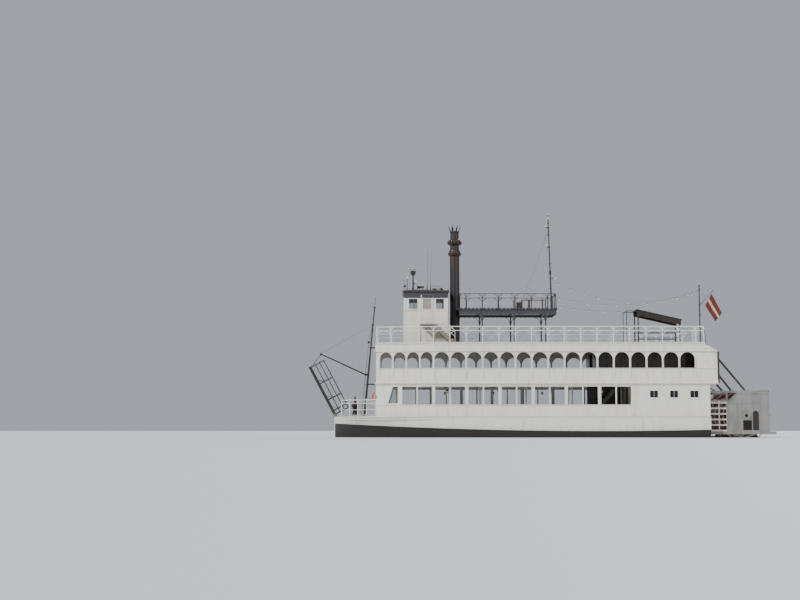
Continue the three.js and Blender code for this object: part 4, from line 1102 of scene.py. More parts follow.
@dataclass
class LightString:
    """A string of bulbs that hangs between the main mast and a second fixing."""

    name: str
    height: float
    end: Point
    sag: float
    spacing: float = 1.05
    radius: float = 0.004
    stand_off: float = 0.066

    def path(self) -> Array:
        """A parabola: a quadratic Bezier whose middle point lies two sags below the chord."""
        end = np.asarray(self.end)
        start = np.array([MAST_LINE.x(self.height), 0, self.height])
        start += unit((end - start) * [1, 1, 0]) * self.stand_off
        middle = (start + end) / 2 - [0, 0, 2 * self.sag]
        t = np.linspace(0, 1, 41)[:, None]
        return (1 - t) ** 2 * start + 2 * t * (1 - t) * middle + t * t * end

    def eyes(self) -> tuple[Array, Array]:
        """Outer ends of the eyes that hold the string at its two ends, in line with it."""
        path = self.path()
        return path[0] - unit(path[1] - path[0]) * 0.055, path[-1] + unit(path[-1] - path[-2]) * 0.055

    def build(self) -> None:
        path = self.path()
        run = np.concatenate([[0], np.cumsum(np.linalg.norm(np.diff(path, axis=0), axis=1))])
        places = np.arange(0.55, run[-1] - 0.25, self.spacing)
        hung = np.stack([np.interp(places, run, path[:, i]) for i in range(3)], axis=1)
        holder = turned([(0.018, -0.060), (0.028, -0.052), (0.028, -0.012), (0.012, 0.008)], (0, 0, 0), 10)
        bulb = turned([(0.010, -0.146), (0.034, -0.136), (0.047, -0.108), (0.040, -0.076), (0.020, -0.055)],
                      (0, 0, 0), 14)
        cable = make(self.name + "_cable", tube(path, self.radius, 8, uv=True), Finishes.CABLE,
                     replaces=self.name)
        holders = make(self.name + "_holders", copies(holder, hung), Finishes.HOLDER)
        bulbs = make(self.name + "_bulbs", copies(bulb, hung), Finishes.BULB)


LIGHT_STRINGS = (
    LightString("light_string_upper", 11.2, (-12.107, 3.743, 10.06), 1.15),
    LightString("light_string_middle", 10.04, (-12.107, 3.743, 9.98), 0.78),
    LightString("light_string_lower", 9.39, (-7.62, 0.0, 8.904), 0.12),
)


@dataclass
class Hull:
    """The hull, its deck, guards, keel and the fittings that are built onto it."""

    # Columns: place, keel height, bilge half width, bilge height, half width at the boot top and at the deck.
    stations: Array = field(default_factory=lambda: np.array([
        [-12.72, -0.30, 3.70, -0.15, 4.00, 4.00], [-10.5, -1.00, 3.65, -0.70, 4.00, 4.00],
        [-7.0, -1.25, 3.65, -0.90, 4.00, 4.00], [4.0, -1.25, 3.65, -0.90, 4.00, 4.00],
        [7.0, -1.25, 3.30, -0.85, 3.80, 4.00], [9.5, -1.20, 2.30, -0.75, 2.95, 3.56],
        [11.3, -1.05, 1.20, -0.65, 1.70, 2.62], [12.4, -0.85, 0.45, -0.50, 0.76, 1.56],
        [12.95, -0.70, 0.06, -0.40, 0.13, 0.80]]))
    boot_top: float = 0.45
    deck_thick: float = 0.03

    def faired(self, x: Array) -> Array:
        """The stations' values at other places along the boat."""
        return smooth_through(self.stations[:, 0], self.stations[:, 1:], x)

    def build(self) -> None:
        """Makes the hull's pieces in place of the frame's hull."""
        make("hull_shell", self.shell(), Finishes.HULL, replaces="hull", angle=50)
        make("main_deck_boards", self.deck(), Finishes.DECK)
        make("hull_guards", self.guards(), Finishes.WHITE)
        make("hull_keel", self.keel(), Finishes.HULL, bevel=0.01)
        make("hull_fittings", self.fittings(), Finishes.FRAME, bevel=0.004)

    def shell(self) -> Skin:
        """The hull's surface.

        Each section is two quadratic curves, from the deck's edge to the middle between boot
        top and bilge, and from there to the keel, with the boot top and the bilge as their
        control points. The values of the stations are faired along the boat.

        Returns:
            The closed skin, with a flat deck and flat ends.
        """
        x = np.concatenate([np.linspace(-12.72, 9.5, 70), np.linspace(9.7, 12.95, 26)])
        keel, bilge_half, bilge, side, deck = self.faired(x).T
        corners = [
            points_at(deck, PLAN.main_deck - self.deck_thick), points_at(side, self.boot_top),
            points_at(bilge_half, bilge), points_at(0, keel)]
        middle = (corners[1] + corners[2]) / 2
        t = np.linspace(0, 1, 13)[:, None, None]
        upper = (1 - t) ** 2 * corners[0] + 2 * t * (1 - t) * corners[1] + t * t * middle
        lower = (1 - t) ** 2 * middle + 2 * t * (1 - t) * corners[2] + t * t * corners[3]
        half = np.concatenate([upper, lower[1:]])
        whole = np.concatenate([half, half[-2::-1] * [-1, 1]])
        section = np.moveaxis(whole, 0, 1)
        along = np.broadcast_to(x[:, None, None], (*section.shape[:2], 1))
        return grid(np.concatenate([along, section], axis=2)).outward()

    def deck(self) -> Skin:
        """The main deck's covering, over the hull's whole plan."""
        x = np.concatenate([np.linspace(-12.72, 6.0, 12), np.linspace(6.4, 12.95, 24)])
        side = points_at(x, self.faired(x)[:, 4])
        plan = np.concatenate([side, side[::-1] * [1, -1]])
        return pierced(plan, LEVEL, PLAN.main_deck - self.deck_thick, PLAN.main_deck)

    def guards(self) -> Skin:
        """Half-round guards under the deck's edge and a rounded stem bar."""
        x = np.concatenate([np.linspace(-12.7, 6.0, 20), np.linspace(6.3, 12.94, 26)])
        y = self.faired(x)[:, 4]
        upper = points_at(x, y, PLAN.main_deck - 0.05)
        lower = points_at(x, y, PLAN.main_deck - 0.21)
        lower[:, 1] -= 0.012 + 0.16 * np.clip((x - 8.0) / 5.0, 0, 1) * 0.9
        stem = [[12.95, 0, PLAN.main_deck - 0.02], [12.96, 0, 0.6], [12.955, 0, -0.68]]
        ends = np.array([[12.95, -0.8, PLAN.main_deck - 0.05], [12.95, 0.8, PLAN.main_deck - 0.05]])
        return Skin().join(tube(upper, 0.034).both(), tube(lower, 0.02, 8).both(), tube(stem, 0.05),
                           tube(ends, 0.034), tube([[-12.72, -4.0, 1.4], [-12.72, 4.0, 1.4]], 0.034))

    def keel(self) -> Skin:
        """The keel bar, with ends that rise to the hull's bottom."""
        outline = np.array([[-9.5, -1.1], [-9.2, -1.4], [10.1, -1.4], [10.5, -1.1]])
        return pierced(outline, upright(0.06), 0.0, 0.12)

    def fittings(self) -> Skin:
        """The landing stage's hinge lugs and pins, the rudder bearings and the capstan's base."""
        angle = np.linspace(0, np.pi, 9)
        head = on_circle(angle, 0.085, 12.945, 1.585)
        lug = pierced(np.concatenate([[[12.86, 1.35], [13.03, 1.35]], head]), upright(0.62), 0.0, 0.0597)
        pin = rods([12.97, 0.51, 1.6], [12.97, 0.655, 1.6], 0.028, sides=16)
        bearing = boxes([-13.07, 1.94, 0.30], [-12.67, 2.06, 0.42])
        web = pierced(np.array([[-13.0, 0.42], [-12.7, 0.42], [-12.7, 0.66]]), upright(2.01), 0.0, 0.02)
        base = turned([(0.30, 1.45), (0.30, 1.475), (0.28, 1.485), (0.28, 1.52)], (CAPSTAN_X, 0, 0), 32)
        angles = np.arange(8) * np.pi / 4
        bolts = boxes([-0.014, -0.014, 1.475], [0.014, 0.014, 1.492])
        around = at_height(on_circle(angles, 0.291, CAPSTAN_X), 0)
        cleat = Skin().join(rods([-0.15, 0, 0.12], [0.15, 0, 0.12], 0.022),
                            boxes([[-0.06, -0.03, 0], [0.03, -0.03, 0]],
                                  [[-0.03, 0.03, 0.12], [0.06, 0.03, 0.12]]))
        cleats = copies(cleat, [[10.9, 2.45, 1.45], [12.2, 1.42, 1.45], [-12.2, 3.4, 1.45]])
        return Skin().join(lug.both(), pin.both(), bearing.both(), web.both(), base, copies(bolts, around),
                           cleats.both())


@dataclass
class MainDeck:
    """Walls and trim of the main deck: lapped boards, sills, casings, panes and a life ring."""

    first_column: float = -7.45
    bays: int = 6
    column_half: float = 0.11
    post_half: float = 0.045
    board: float = 0.121
    stern_windows: tuple[float, ...] = (-11.63, -10.25, -8.89)

    @property
    def pitch(self) -> float:
        """Distance between columns."""
        return (PLAN.shoulder - self.first_column) / self.bays

    def pair(self, start: float, pitch: float) -> list[Array]:
        """The two openings of one bay."""
        middle, half, post = start + pitch / 2, self.column_half, self.post_half
        return [rectangle(start + half, PLAN.main_sill, middle - post, PLAN.main_head),
                rectangle(middle + post, PLAN.main_sill, start + pitch - half, PLAN.main_head)]

    def build(self) -> None:
        """Dresses the walls and adds their trim."""
        dress(Finishes.WHITE, "main_wall_port", "main_wall_starboard", "main_front_wall", "main_aft_wall",
              "engine_room_bulkhead")
        dress(Finishes.VARNISH, "engine_room_door")
        dress(Finishes.SALOON, "stair_partition")
        dress(Finishes.IRON, "engine")
        dress(Finishes.TREAD, "lower_stairs")
        make("main_deck_lapped_boards", self.lapped().both(), Finishes.WHITE, angle=20)
        make("main_deck_trim", self.trim(), Finishes.WHITE, bevel=0.004)
        make("main_deck_panes", self.panes(), Finishes.DARK_GLASS)
        make("front_wall_panes", self.front_panes(), Finishes.GLASS)
        make("engine_room_door_fittings", self.door_fittings(), Finishes.BRASS, body="engine_room_door")
        make("engine_fittings", self.engine(), Finishes.STEEL, bevel=0.006)
        make("main_deck_pillars", self.pillars(), Finishes.WHITE, angle=40)
        self.lamps()
        self.life_ring()

    def lamps(self) -> None:
        """Hanging lamps under the second deck: a rod, a rose, a shade and a glass globe."""
        stem = turned([(0.06, 3.60), (0.06, 3.618)], (0, 0, 0), 16).join(
            turned([(0.11, 3.19), (0.07, 3.25), (0.012, 3.27), (0.012, 3.61)], (0, 0, 0), 16))
        places = [[x, y, 0] for x in (-5.55, -1.99, 1.56, 5.1, 8.4) for y in (-2.6, 2.6)]
        make("main_deck_lamp_stems", copies(stem, places), Finishes.BRASS)
        make("main_deck_lamp_globes", copies(ball((0, 0, 3.13), 0.09, 14), places), Finishes.BULB)

    def lapped(self) -> Skin:
        """Lapped boards: a saw-tooth profile carried along the wall from the front to the stern part."""
        z = 1.475 + self.board * np.arange(6)
        teeth = points_at(0.018, np.repeat(z, 2))
        teeth[1::2] = points_at(0.004, z + self.board)
        profile = [(-0.004, z[0]), *teeth.tolist(), (-0.004, z[-1] + self.board)]
        return moulding(PLAN.side(0.0, MAIN_WALLS.inset, -7.38, 9.99), profile)

    def trim(self) -> Skin:
        """Sills, bands, pilasters and the casings round all openings."""
        inset, plane, fore = MAIN_WALLS.inset, MAIN_WALLS.straight(), MAIN_WALLS.fore()
        bands = Skin().join(moulding(PLAN.side(0.0, inset, -7.38, 10.0),
                                     [(0, 2.195), (0.05, 2.195), (0.05, 2.222), (0, 2.24)]),
                            moulding(PLAN.side(0.0, inset, -12.7, 10.0),
                                     [(0, 3.50), (0.022, 3.50), (0.022, 3.58), (0.04, 3.62), (0, 3.62)]),
                            moulding(PLAN.side(0.0, inset, -12.7, 10.0),
                                     [(0, 1.452), (0.025, 1.452), (0.025, 1.478), (0, 1.49)]))
        casings = [window(loop, plane, 0.0, -1, 0.04) for k in range(self.bays)
                   for loop in self.pair(self.first_column + k * self.pitch, self.pitch)]
        casings += [window(loop, fore, 0.0, -1, 0.04) for loop in [*self.pair(0.0, self.pitch + 0.02),
                                                                   self.raked()]]
        casings += [window(loop, plane, 0.0, -1) for loop in self.stern_loops()]
        casings += [window(rectangle(x - 0.012, 2.71, x + 0.012, 3.17), plane, 0.0, -1, 0.004)
                    for x in self.stern_windows]
        columns = np.arange(self.bays + 1) * self.pitch + self.first_column
        y = PLAN.half - inset
        shafts = boxes(points_at(columns - 0.055, y - 0.005, 2.24),
                       points_at(columns + 0.055, y + 0.022, 3.50))
        caps = boxes(points_at(columns - 0.08, y - 0.005, 3.42),
                     points_at(columns + 0.08, y + 0.035, 3.50))
        corner = boxes([[-7.46, y - 0.005, 1.49], [-12.70, y - 0.005, 1.49]],
                       [[-7.37, y + 0.024, 3.5], [-12.6, y + 0.024, 3.5]])
        side = Skin().join(bands, shafts, caps, corner, *casings).both()
        front, aft = across(9.88), across(-12.68)
        ends = [window(loop, front, 0.06, 1, 0.045) for loop in [*self.front_loops(),
                                                                 rectangle(-0.75, 1.46, 0.75, 3.45)]]
        ends += [window(rectangle(y0, 2.71, y0 + 0.6, 3.17), aft, 0.0, -1) for y0 in (-2.4, 1.8)]
        return Skin().join(side, *ends)

    def raked(self) -> Array:
        """The raked opening before the fore bay."""
        return np.array([[2.46, 2.32], [3.15, 2.32], [2.80, 3.46], [2.46, 3.46]])

    def stern_loops(self) -> list[Array]:
        """The small windows of the engine room."""
        return [rectangle(x - 0.27, 2.71, x + 0.27, 3.17) for x in self.stern_windows]

    def front_loops(self) -> list[Array]:
        """The windows beside the front doorway."""
        return [rectangle(y, PLAN.main_sill, y + 0.7, 3.36) for y in (-2.75, -1.85, 1.15, 2.05)]

    def panes(self) -> Skin:
        """Tinted panes of the engine room's windows, on both sides and aft."""
        side = Skin().join(*[panes(loop, MAIN_WALLS.straight(), 0.035) for loop in self.stern_loops()])
        aft = [panes(rectangle(y, 2.71, y + 0.6, 3.17), across(-12.68), 0.035) for y in (-2.4, 1.8)]
        return Skin().join(side.both(), *aft)

    def front_panes(self) -> Skin:
        """Clear panes in the raked opening and the front windows."""
        raked = panes(self.raked(), MAIN_WALLS.fore(), 0.035)
        return Skin().join(raked.both(), *[panes(loop, across(9.88), 0.035) for loop in self.front_loops()])

    def pillars(self) -> Skin:
        """Turned pillars that carry the second deck along the middle of the saloon."""
        profile = [(0.09, 1.452), (0.09, 1.50), (0.06, 1.54), (0.05, 2.4), (0.055, 3.40), (0.085, 3.5),
                   (0.1, 3.618)]
        pillar = turned(profile, (0, 0, 0), 20)
        places = [[x, y, 0] for x in (-3.6, -0.4, 2.8, 6.0, 8.6) for y in (-1.9, 1.9)]
        return copies(pillar, places)

    def door_fittings(self) -> Skin:
        """Hinges and a lever handle on the engine room door."""
        hinges = rods([[-7.44, 1.208, z] for z in (1.75, 2.45, 3.15)],
                      [[-7.44, 1.208, z + 0.1] for z in (1.75, 2.45, 3.15)], 0.006)
        lever = tube([[-7.44, 2.02, 2.45], [-7.40, 2.02, 2.45], [-7.395, 2.0, 2.45], [-7.395, 1.90, 2.45]],
                     0.009)
        plate = boxes([-7.44, 2.0, 2.36], [-7.435, 2.04, 2.54])
        return Skin().join(hinges, lever, plate)

    def engine(self) -> Skin:
        """Cylinder heads, pipes and a bed frame on the engine block."""
        heads = [turned([(0.14, 2.75), (0.16, 2.77), (0.16, 2.84), (0.1, 2.88), (0.04, 2.9)], (x, 0, 0), 20)
                 for x in (-11.4, -10.8, -10.2, -9.6)]
        pipes = tube([[-11.6, 0.35, 2.80], [-9.4, 0.35, 2.80]], 0.05)
        bands = boxes([[x, -0.62, 1.46] for x in (-11.7, -10.5, -9.4)],
                      [[x + 0.08, 0.62, 2.74] for x in (-11.7, -10.5, -9.4)])
        return Skin().join(*heads, pipes, pipes.mirrored(), bands)

    def life_ring(self) -> None:
        """A life ring on two hooks, on the front wall at the port side."""
        place, face = np.array([10.12, 3.02, 2.78]), np.array([0.87, 0.50, 0.0])
        aside, up = np.array([-face[1], face[0], 0.0]), np.array([0.0, 0.0, 1.0])
        make("life_ring", ring(place, face, 0.265, 0.055), Finishes.LIFE_RING)
        bands = [ring(place + 0.265 * (aside * math.cos(a) + up * math.sin(a)),
                      up * math.cos(a) - aside * math.sin(a), 0.052, 0.008, 20, 6)
                 for a in np.radians([45, 135, 225, 315])]
        grab = ring(place, face, 0.335, 0.008, 48, 6)
        feet = np.array([[9.94, 2.86, 3.04], [9.94, 3.06, 3.04]])
        hooks = rods(feet, place + [[-0.07, -0.12, 0.25], [-0.11, 0.12, 0.25]], 0.011)
        make("life_ring_bands", Skin().join(*bands, grab, hooks), Finishes.RAIL)


@dataclass
class SecondDeck:
    """The second deck: its edge, bulwarks, round arches on thin columns, stern wall and saloon."""

    column: float = 0.12
    fore_bays: int = 4
    fore_pitch: float = 0.94
    front_bays: int = 6
    front_x: float = 9.88
    front_half: float = 3.2726
    stern_windows: tuple[float, ...] = (-2.6, -0.45, 1.7)

    def row(self, start: float, pitch: float, bays: int) -> list[Array]:
        """The arches of one run."""
        half = self.column / 2
        return [archway(start + k * pitch + half, start + (k + 1) * pitch - half, PLAN.bulwark_top,
                        PLAN.arch_top) for k in range(bays)]

    def runs(self) -> list[tuple[Plane, Array, list[Array], float, float, int]]:
        """The runs of arches: plane, outline, arches, first column, pitch and number of bays."""
        z0, z1 = PLAN.second_deck + GAP, PLAN.fascia_under - GAP
        length = ARCADE_WALLS.fore_length
        straight = self.row(PLAN.arcade_stern, PLAN.pitch, PLAN.bays)
        fore = self.row(0.0, self.fore_pitch, self.fore_bays)
        half = self.front_half
        front_pitch = (2 * half - self.column) / self.front_bays
        front = self.row(-half + self.column / 2, front_pitch, self.front_bays)
        return [
            (ARCADE_WALLS.straight(), rectangle(PLAN.stern, z0, PLAN.shoulder, z1), straight,
             PLAN.arcade_stern, PLAN.pitch, PLAN.bays),
            (ARCADE_WALLS.fore(), rectangle(0, z0, length, z1), fore, 0.0, self.fore_pitch, self.fore_bays),
            (across(self.front_x), rectangle(-half, z0, half, z1), front, -half + self.column / 2,
             front_pitch, self.front_bays)]

    def build(self) -> None:
        """Replaces the arcades with fine ones and dresses the rest."""
        straight, fore, front = self.runs()
        side = Skin().join(*[pierced(run[1], run[0], 0.0, 0.06, holes=run[2]) for run in (straight, fore)])
        for end, shape in (("port", side), ("starboard", side.mirrored())):
            make(f"arcade_walls_{end}", shape, Finishes.WHITE, replaces=f"arcade_{end}")
        make("front_arcade_wall", pierced(front[1], front[0], 0.0, 0.06, holes=front[2]), Finishes.WHITE,
             replaces="front_arcade")
        ornament = Skin().join(self.ornament(straight, 0.0, -1), self.ornament(fore, 0.0, -1)).both()
        make("arcade_columns", ornament.join(self.ornament(front, 0.06, 1)), Finishes.WHITE, bevel=0.003)
        make("second_deck_mouldings", self.mouldings(), Finishes.WHITE)
        make("second_deck_boards", self.boards(), Finishes.DECK)
        make("stern_wall_panes", Skin().join(*[panes(loop, across(PLAN.stern), 0.03)
                                               for loop in self.stern_loops()]), Finishes.DARK_GLASS)
        dress(Finishes.WHITE, "second_deck", "stern_wall")
        dress(Finishes.SALOON, "saloon_walls")
        dress(Finishes.TREAD, "upper_stairs")
        make("saloon_trim", self.saloon(), Finishes.VARNISH, bevel=0.004)

    def ornament(self, run: tuple[Plane, Array, list[Array], float, float, int], face: float,
                 out: int) -> Skin:
        """Archivolts, thin columns with caps and bases, panel battens and keystones on one face.

        Args:
            run: one entry of runs().
            face: depth of the wall's face.
            out: +1 or -1, the way out of it.

        Returns:
            The skin.
        """
        plane, _, arches, start, pitch, bays = run
        spring = PLAN.arch_top - (pitch - self.column) / 2
        columns = start + pitch * np.arange(bays + 1)

        def strip(a0: float, z0: float, a1: float, z1: float, proud: float) -> Skin:
            """An upright plate on the face."""
            low, high = sorted((face - out * 0.002, face + out * proud))
            return pierced(rectangle(a0, z0, a1, z1), plane, low, high)

        parts = [window(arch, plane, face, out, 0.035, 0.022) for arch in arches]
        for a in columns:
            parts += [strip(a - 0.022, 4.72, a + 0.022, spring, 0.04),
                      strip(a - 0.045, spring, a + 0.045, spring + 0.05, 0.05),
                      strip(a - 0.04, 4.72, a + 0.04, 4.78, 0.045),
                      strip(a - 0.045, 3.90, a + 0.045, 4.66, 0.03)]
        for k in range(bays):
            middle = start + (k + 0.5) * pitch
            parts.append(strip(middle - 0.03, PLAN.arch_top - 0.01, middle + 0.03, PLAN.fascia_under, 0.045))
            parts.append(window(rectangle(middle - pitch / 2 + 0.14, 4.02, middle + pitch / 2 - 0.14, 4.56),
                                plane, face, out, 0.022, 0.01))
        return Skin().join(*parts)

    def mouldings(self) -> Skin:
        """Bands that run round the deck's edge, the bulwark's foot and its cap rail."""
        inset = ARCADE_WALLS.inset
        foot = [(-0.002, 3.80), (0.026, 3.80), (0.026, 3.885), (0.012, 3.90), (-0.002, 3.90)]
        cap = [(-0.002, 4.655), (0.02, 4.66), (0.045, 4.685), (0.045, 4.705), (-0.002, 4.72)]
        edge = PLAN.edge(3.71, 0.0)
        ends = [moulding(PLAN.edge(0.0, inset, fore=PLAN.front - 0.06), shape) for shape in (foot, cap)]
        nose = [(-0.002, 3.62), (0.012, 3.62), (0.03, 3.64), (0.03, 3.665), (-0.002, 3.675)]
        return Skin().join(moulding(edge, half_round(0.03)), *ends, moulding(PLAN.edge(0.0, 0.0), nose),
                           self.stern_trim())

    def stern_loops(self) -> list[Array]:
        """The stern wall's windows."""
        return [rectangle(y, 4.75, y + 0.9, 5.45) for y in self.stern_windows]

    def stern_trim(self) -> Skin:
        """Casings, glazing bars and corner boards on the stern wall."""
        plane = across(PLAN.stern)
        casings = [window(loop, plane, 0.0, -1) for loop in self.stern_loops()]
        bars = [pierced(rectangle(y + 0.435, 4.75, y + 0.465, 5.45), plane, -0.004, 0.03)
                for y in self.stern_windows]
        corners = [pierced(rectangle(y - 0.06, 3.9, y + 0.06, 5.83), plane, -0.025, 0.0)
                   for y in (-3.86, 3.86)]
        return Skin().join(*casings, *bars, *corners)

    def boards(self) -> Skin:
        """The second deck's covering, cut out over the stairs."""
        plan = PLAN.outline(PLAN.stern, PLAN.front + PLAN.lip)
        return pierced(plan, LEVEL, PLAN.second_deck, PLAN.second_deck + COVERING,
                       holes=[rectangle(-7.15, -0.52, -5.25, 0.52)])

    def saloon(self) -> Skin:
        """Panel frames on the saloon's sides and casings round its doorways."""
        sides = [window(rectangle(x, 4.05, x + 0.72, 5.95), upright(2.4), 0.0, -1, 0.05, 0.02)
                 for x in np.arange(-12.1, -5.9, 0.86)]
        doors = [window(rectangle(-0.6, 3.82, 0.6, 5.85), across(x), face, out) for x, face, out in
                 ((-5.25, 0.05, 1), (-12.3, 0.0, -1))]
        return Skin().join(Skin().join(*sides).both(), *doors)


@dataclass
class RailPattern:
    """A railing of posts, a toe rail, a second rail and a top rail, with arches and brackets.

    In each bay an arch springs from the posts and meets the second rail at its crown. Above
    each post two curved brackets open like a V from the second rail to the top rail.
    """

    base: float
    second: float
    top: float
    post: float = 0.045
    rise: float = 0.36
    iron: float = 0.016
    spread: float = 0.30
    lean: float = 1.6

    def build(self, corners: Array, bays: list[int]) -> Skin:
        """The railing along a line of corners.

        Args:
            corners: plan points where the railing turns or ends.
            bays: number of bays in each leg.

        Returns:
            The skin.
        """
        starts, ends = [], []
        for a, b, n in zip(corners, corners[1:], bays):
            t = np.arange(n + 1)[:, None] / n
            line = a * (1 - t) + b * t
            starts.append(line[:-1])
            ends.append(line[1:])
        start, end = np.concatenate(starts), np.concatenate(ends)
        posts = np.unique(np.round(np.concatenate([start, end]), 6), axis=0)
        return Skin().join(self.rails(corners), self.posts(posts), self.infill(start, end),
                           self.brackets(start, end))

    def rails(self, legs: Array) -> Skin:
        """Flat bars that run from corner to corner at three heights."""
        parts = []
        for height, width, depth in ((self.top, 0.06, 0.05), (self.second, 0.034, 0.034),
                                     (self.base + 0.06, 0.03, 0.05)):
            line = at_height(legs, height)
            parts.append(beams(line[:-1], line[1:], width, depth))
        return Skin().join(*parts)

    def posts(self, plan: Array) -> Skin:
        """Square posts with a turned knob at the second rail and a foot plate."""
        half = self.post / 2
        low = at_height(plan - half, self.base)
        high = at_height(plan + half, self.top + 0.02)
        foot = at_height(plan + half + 0.03, self.base + 0.012)
        knob = ball((0, 0, self.second), self.post * 0.85, 8)
        spots = at_height(plan, 0)
        return Skin().join(boxes(low, high), boxes(low - [0.03, 0.03, 0], foot), copies(knob, spots))

    def infill(self, start: Array, end: Array) -> Skin:
        """An arch in each bay: half an ellipse that falls from the second rail to the posts."""
        u = np.linspace(-0.985, 0.985, 19)
        plan = (start + end)[:, None] / 2 + (end - start)[:, None] / 2 * u[:, None]
        z = self.second - self.rise * (1 - np.sqrt(1 - u * u))
        path = at_height(plan, z)
        return tube(path, self.iron, 6)

    def brackets(self, start: Array, end: Array) -> Skin:
        """Curves that leave the post at the second rail and lean out to the top rail as a power of height."""
        t = np.linspace(0, 1, 7)
        z = self.second + (self.top - self.second) * t
        parts = []
        for here, there in ((start, end), (end, start)):
            plan = here[:, None] + (there - here)[:, None] * self.spread * (t[:, None] ** self.lean)
            path = at_height(plan, z)
            parts.append(tube(path, self.iron, 6))
        return Skin().join(*parts)


@dataclass
class ForkedRail(RailPattern):
    """A toe rail and one thin top rail on posts whose heads fork into three prongs.

    The prongs leave the post at the height named second. The outer ones end in knots.
    """

    def rails(self, legs: Array) -> Skin:
        """The top rail and the toe rail from corner to corner."""
        parts = []
        for height, width, depth in ((self.top, 0.045, 0.032), (self.base + 0.06, 0.03, 0.05)):
            line = at_height(legs, height)
            parts.append(beams(line[:-1], line[1:], width, depth))
        return Skin().join(*parts)

    def posts(self, plan: Array) -> Skin:
        """Square posts up to the fork, a thin prong above it and a foot plate."""
        parts = []
        for half, low, high in (
            (self.post / 2, self.base, self.second + 0.02),
            (0.015, self.second, self.top),
            (self.post / 2 + 0.03, self.base, self.base + 0.012),
        ):
            parts.append(boxes(at_height(plan - half, low), at_height(plan + half, high)))
        return Skin().join(*parts)

    def infill(self, start: Array, end: Array) -> Skin:
        """The knots where the outer prongs meet the rail."""
        reach = (end - start) * self.spread
        spots = at_height(np.concatenate([start + reach, end - reach]), self.top - 0.03)
        return copies(ball((0, 0, 0), 0.034, 8), spots)


def crest(pitch: float, path: list[Point], height: float, radius: float) -> Skin:
    """Pointed spindles at an even pitch along a broken line.

    Args:
        pitch: wanted distance between spindles.
        path: corners of the line.
        height: height of a spindle.
        radius: its greatest radius.

    Returns:
        The skin.
    """
    spots = []
    for a, b in zip(np.asarray(path, float), np.asarray(path, float)[1:]):
        count = max(1, round(np.linalg.norm(b - a) / pitch))
        spots.append(a + (b - a) * (np.arange(count)[:, None] + 0.5) / count)
    shape = [(0.5, 0), (0.9, 0.1), (1.0, 0.22), (0.72, 0.45), (0.34, 0.72), (0.04, 1.0)]
    spindle = turned([(radius * r, height * z) for r, z in shape], (0, 0, 0), 8)
    return copies(spindle, np.concatenate(spots))


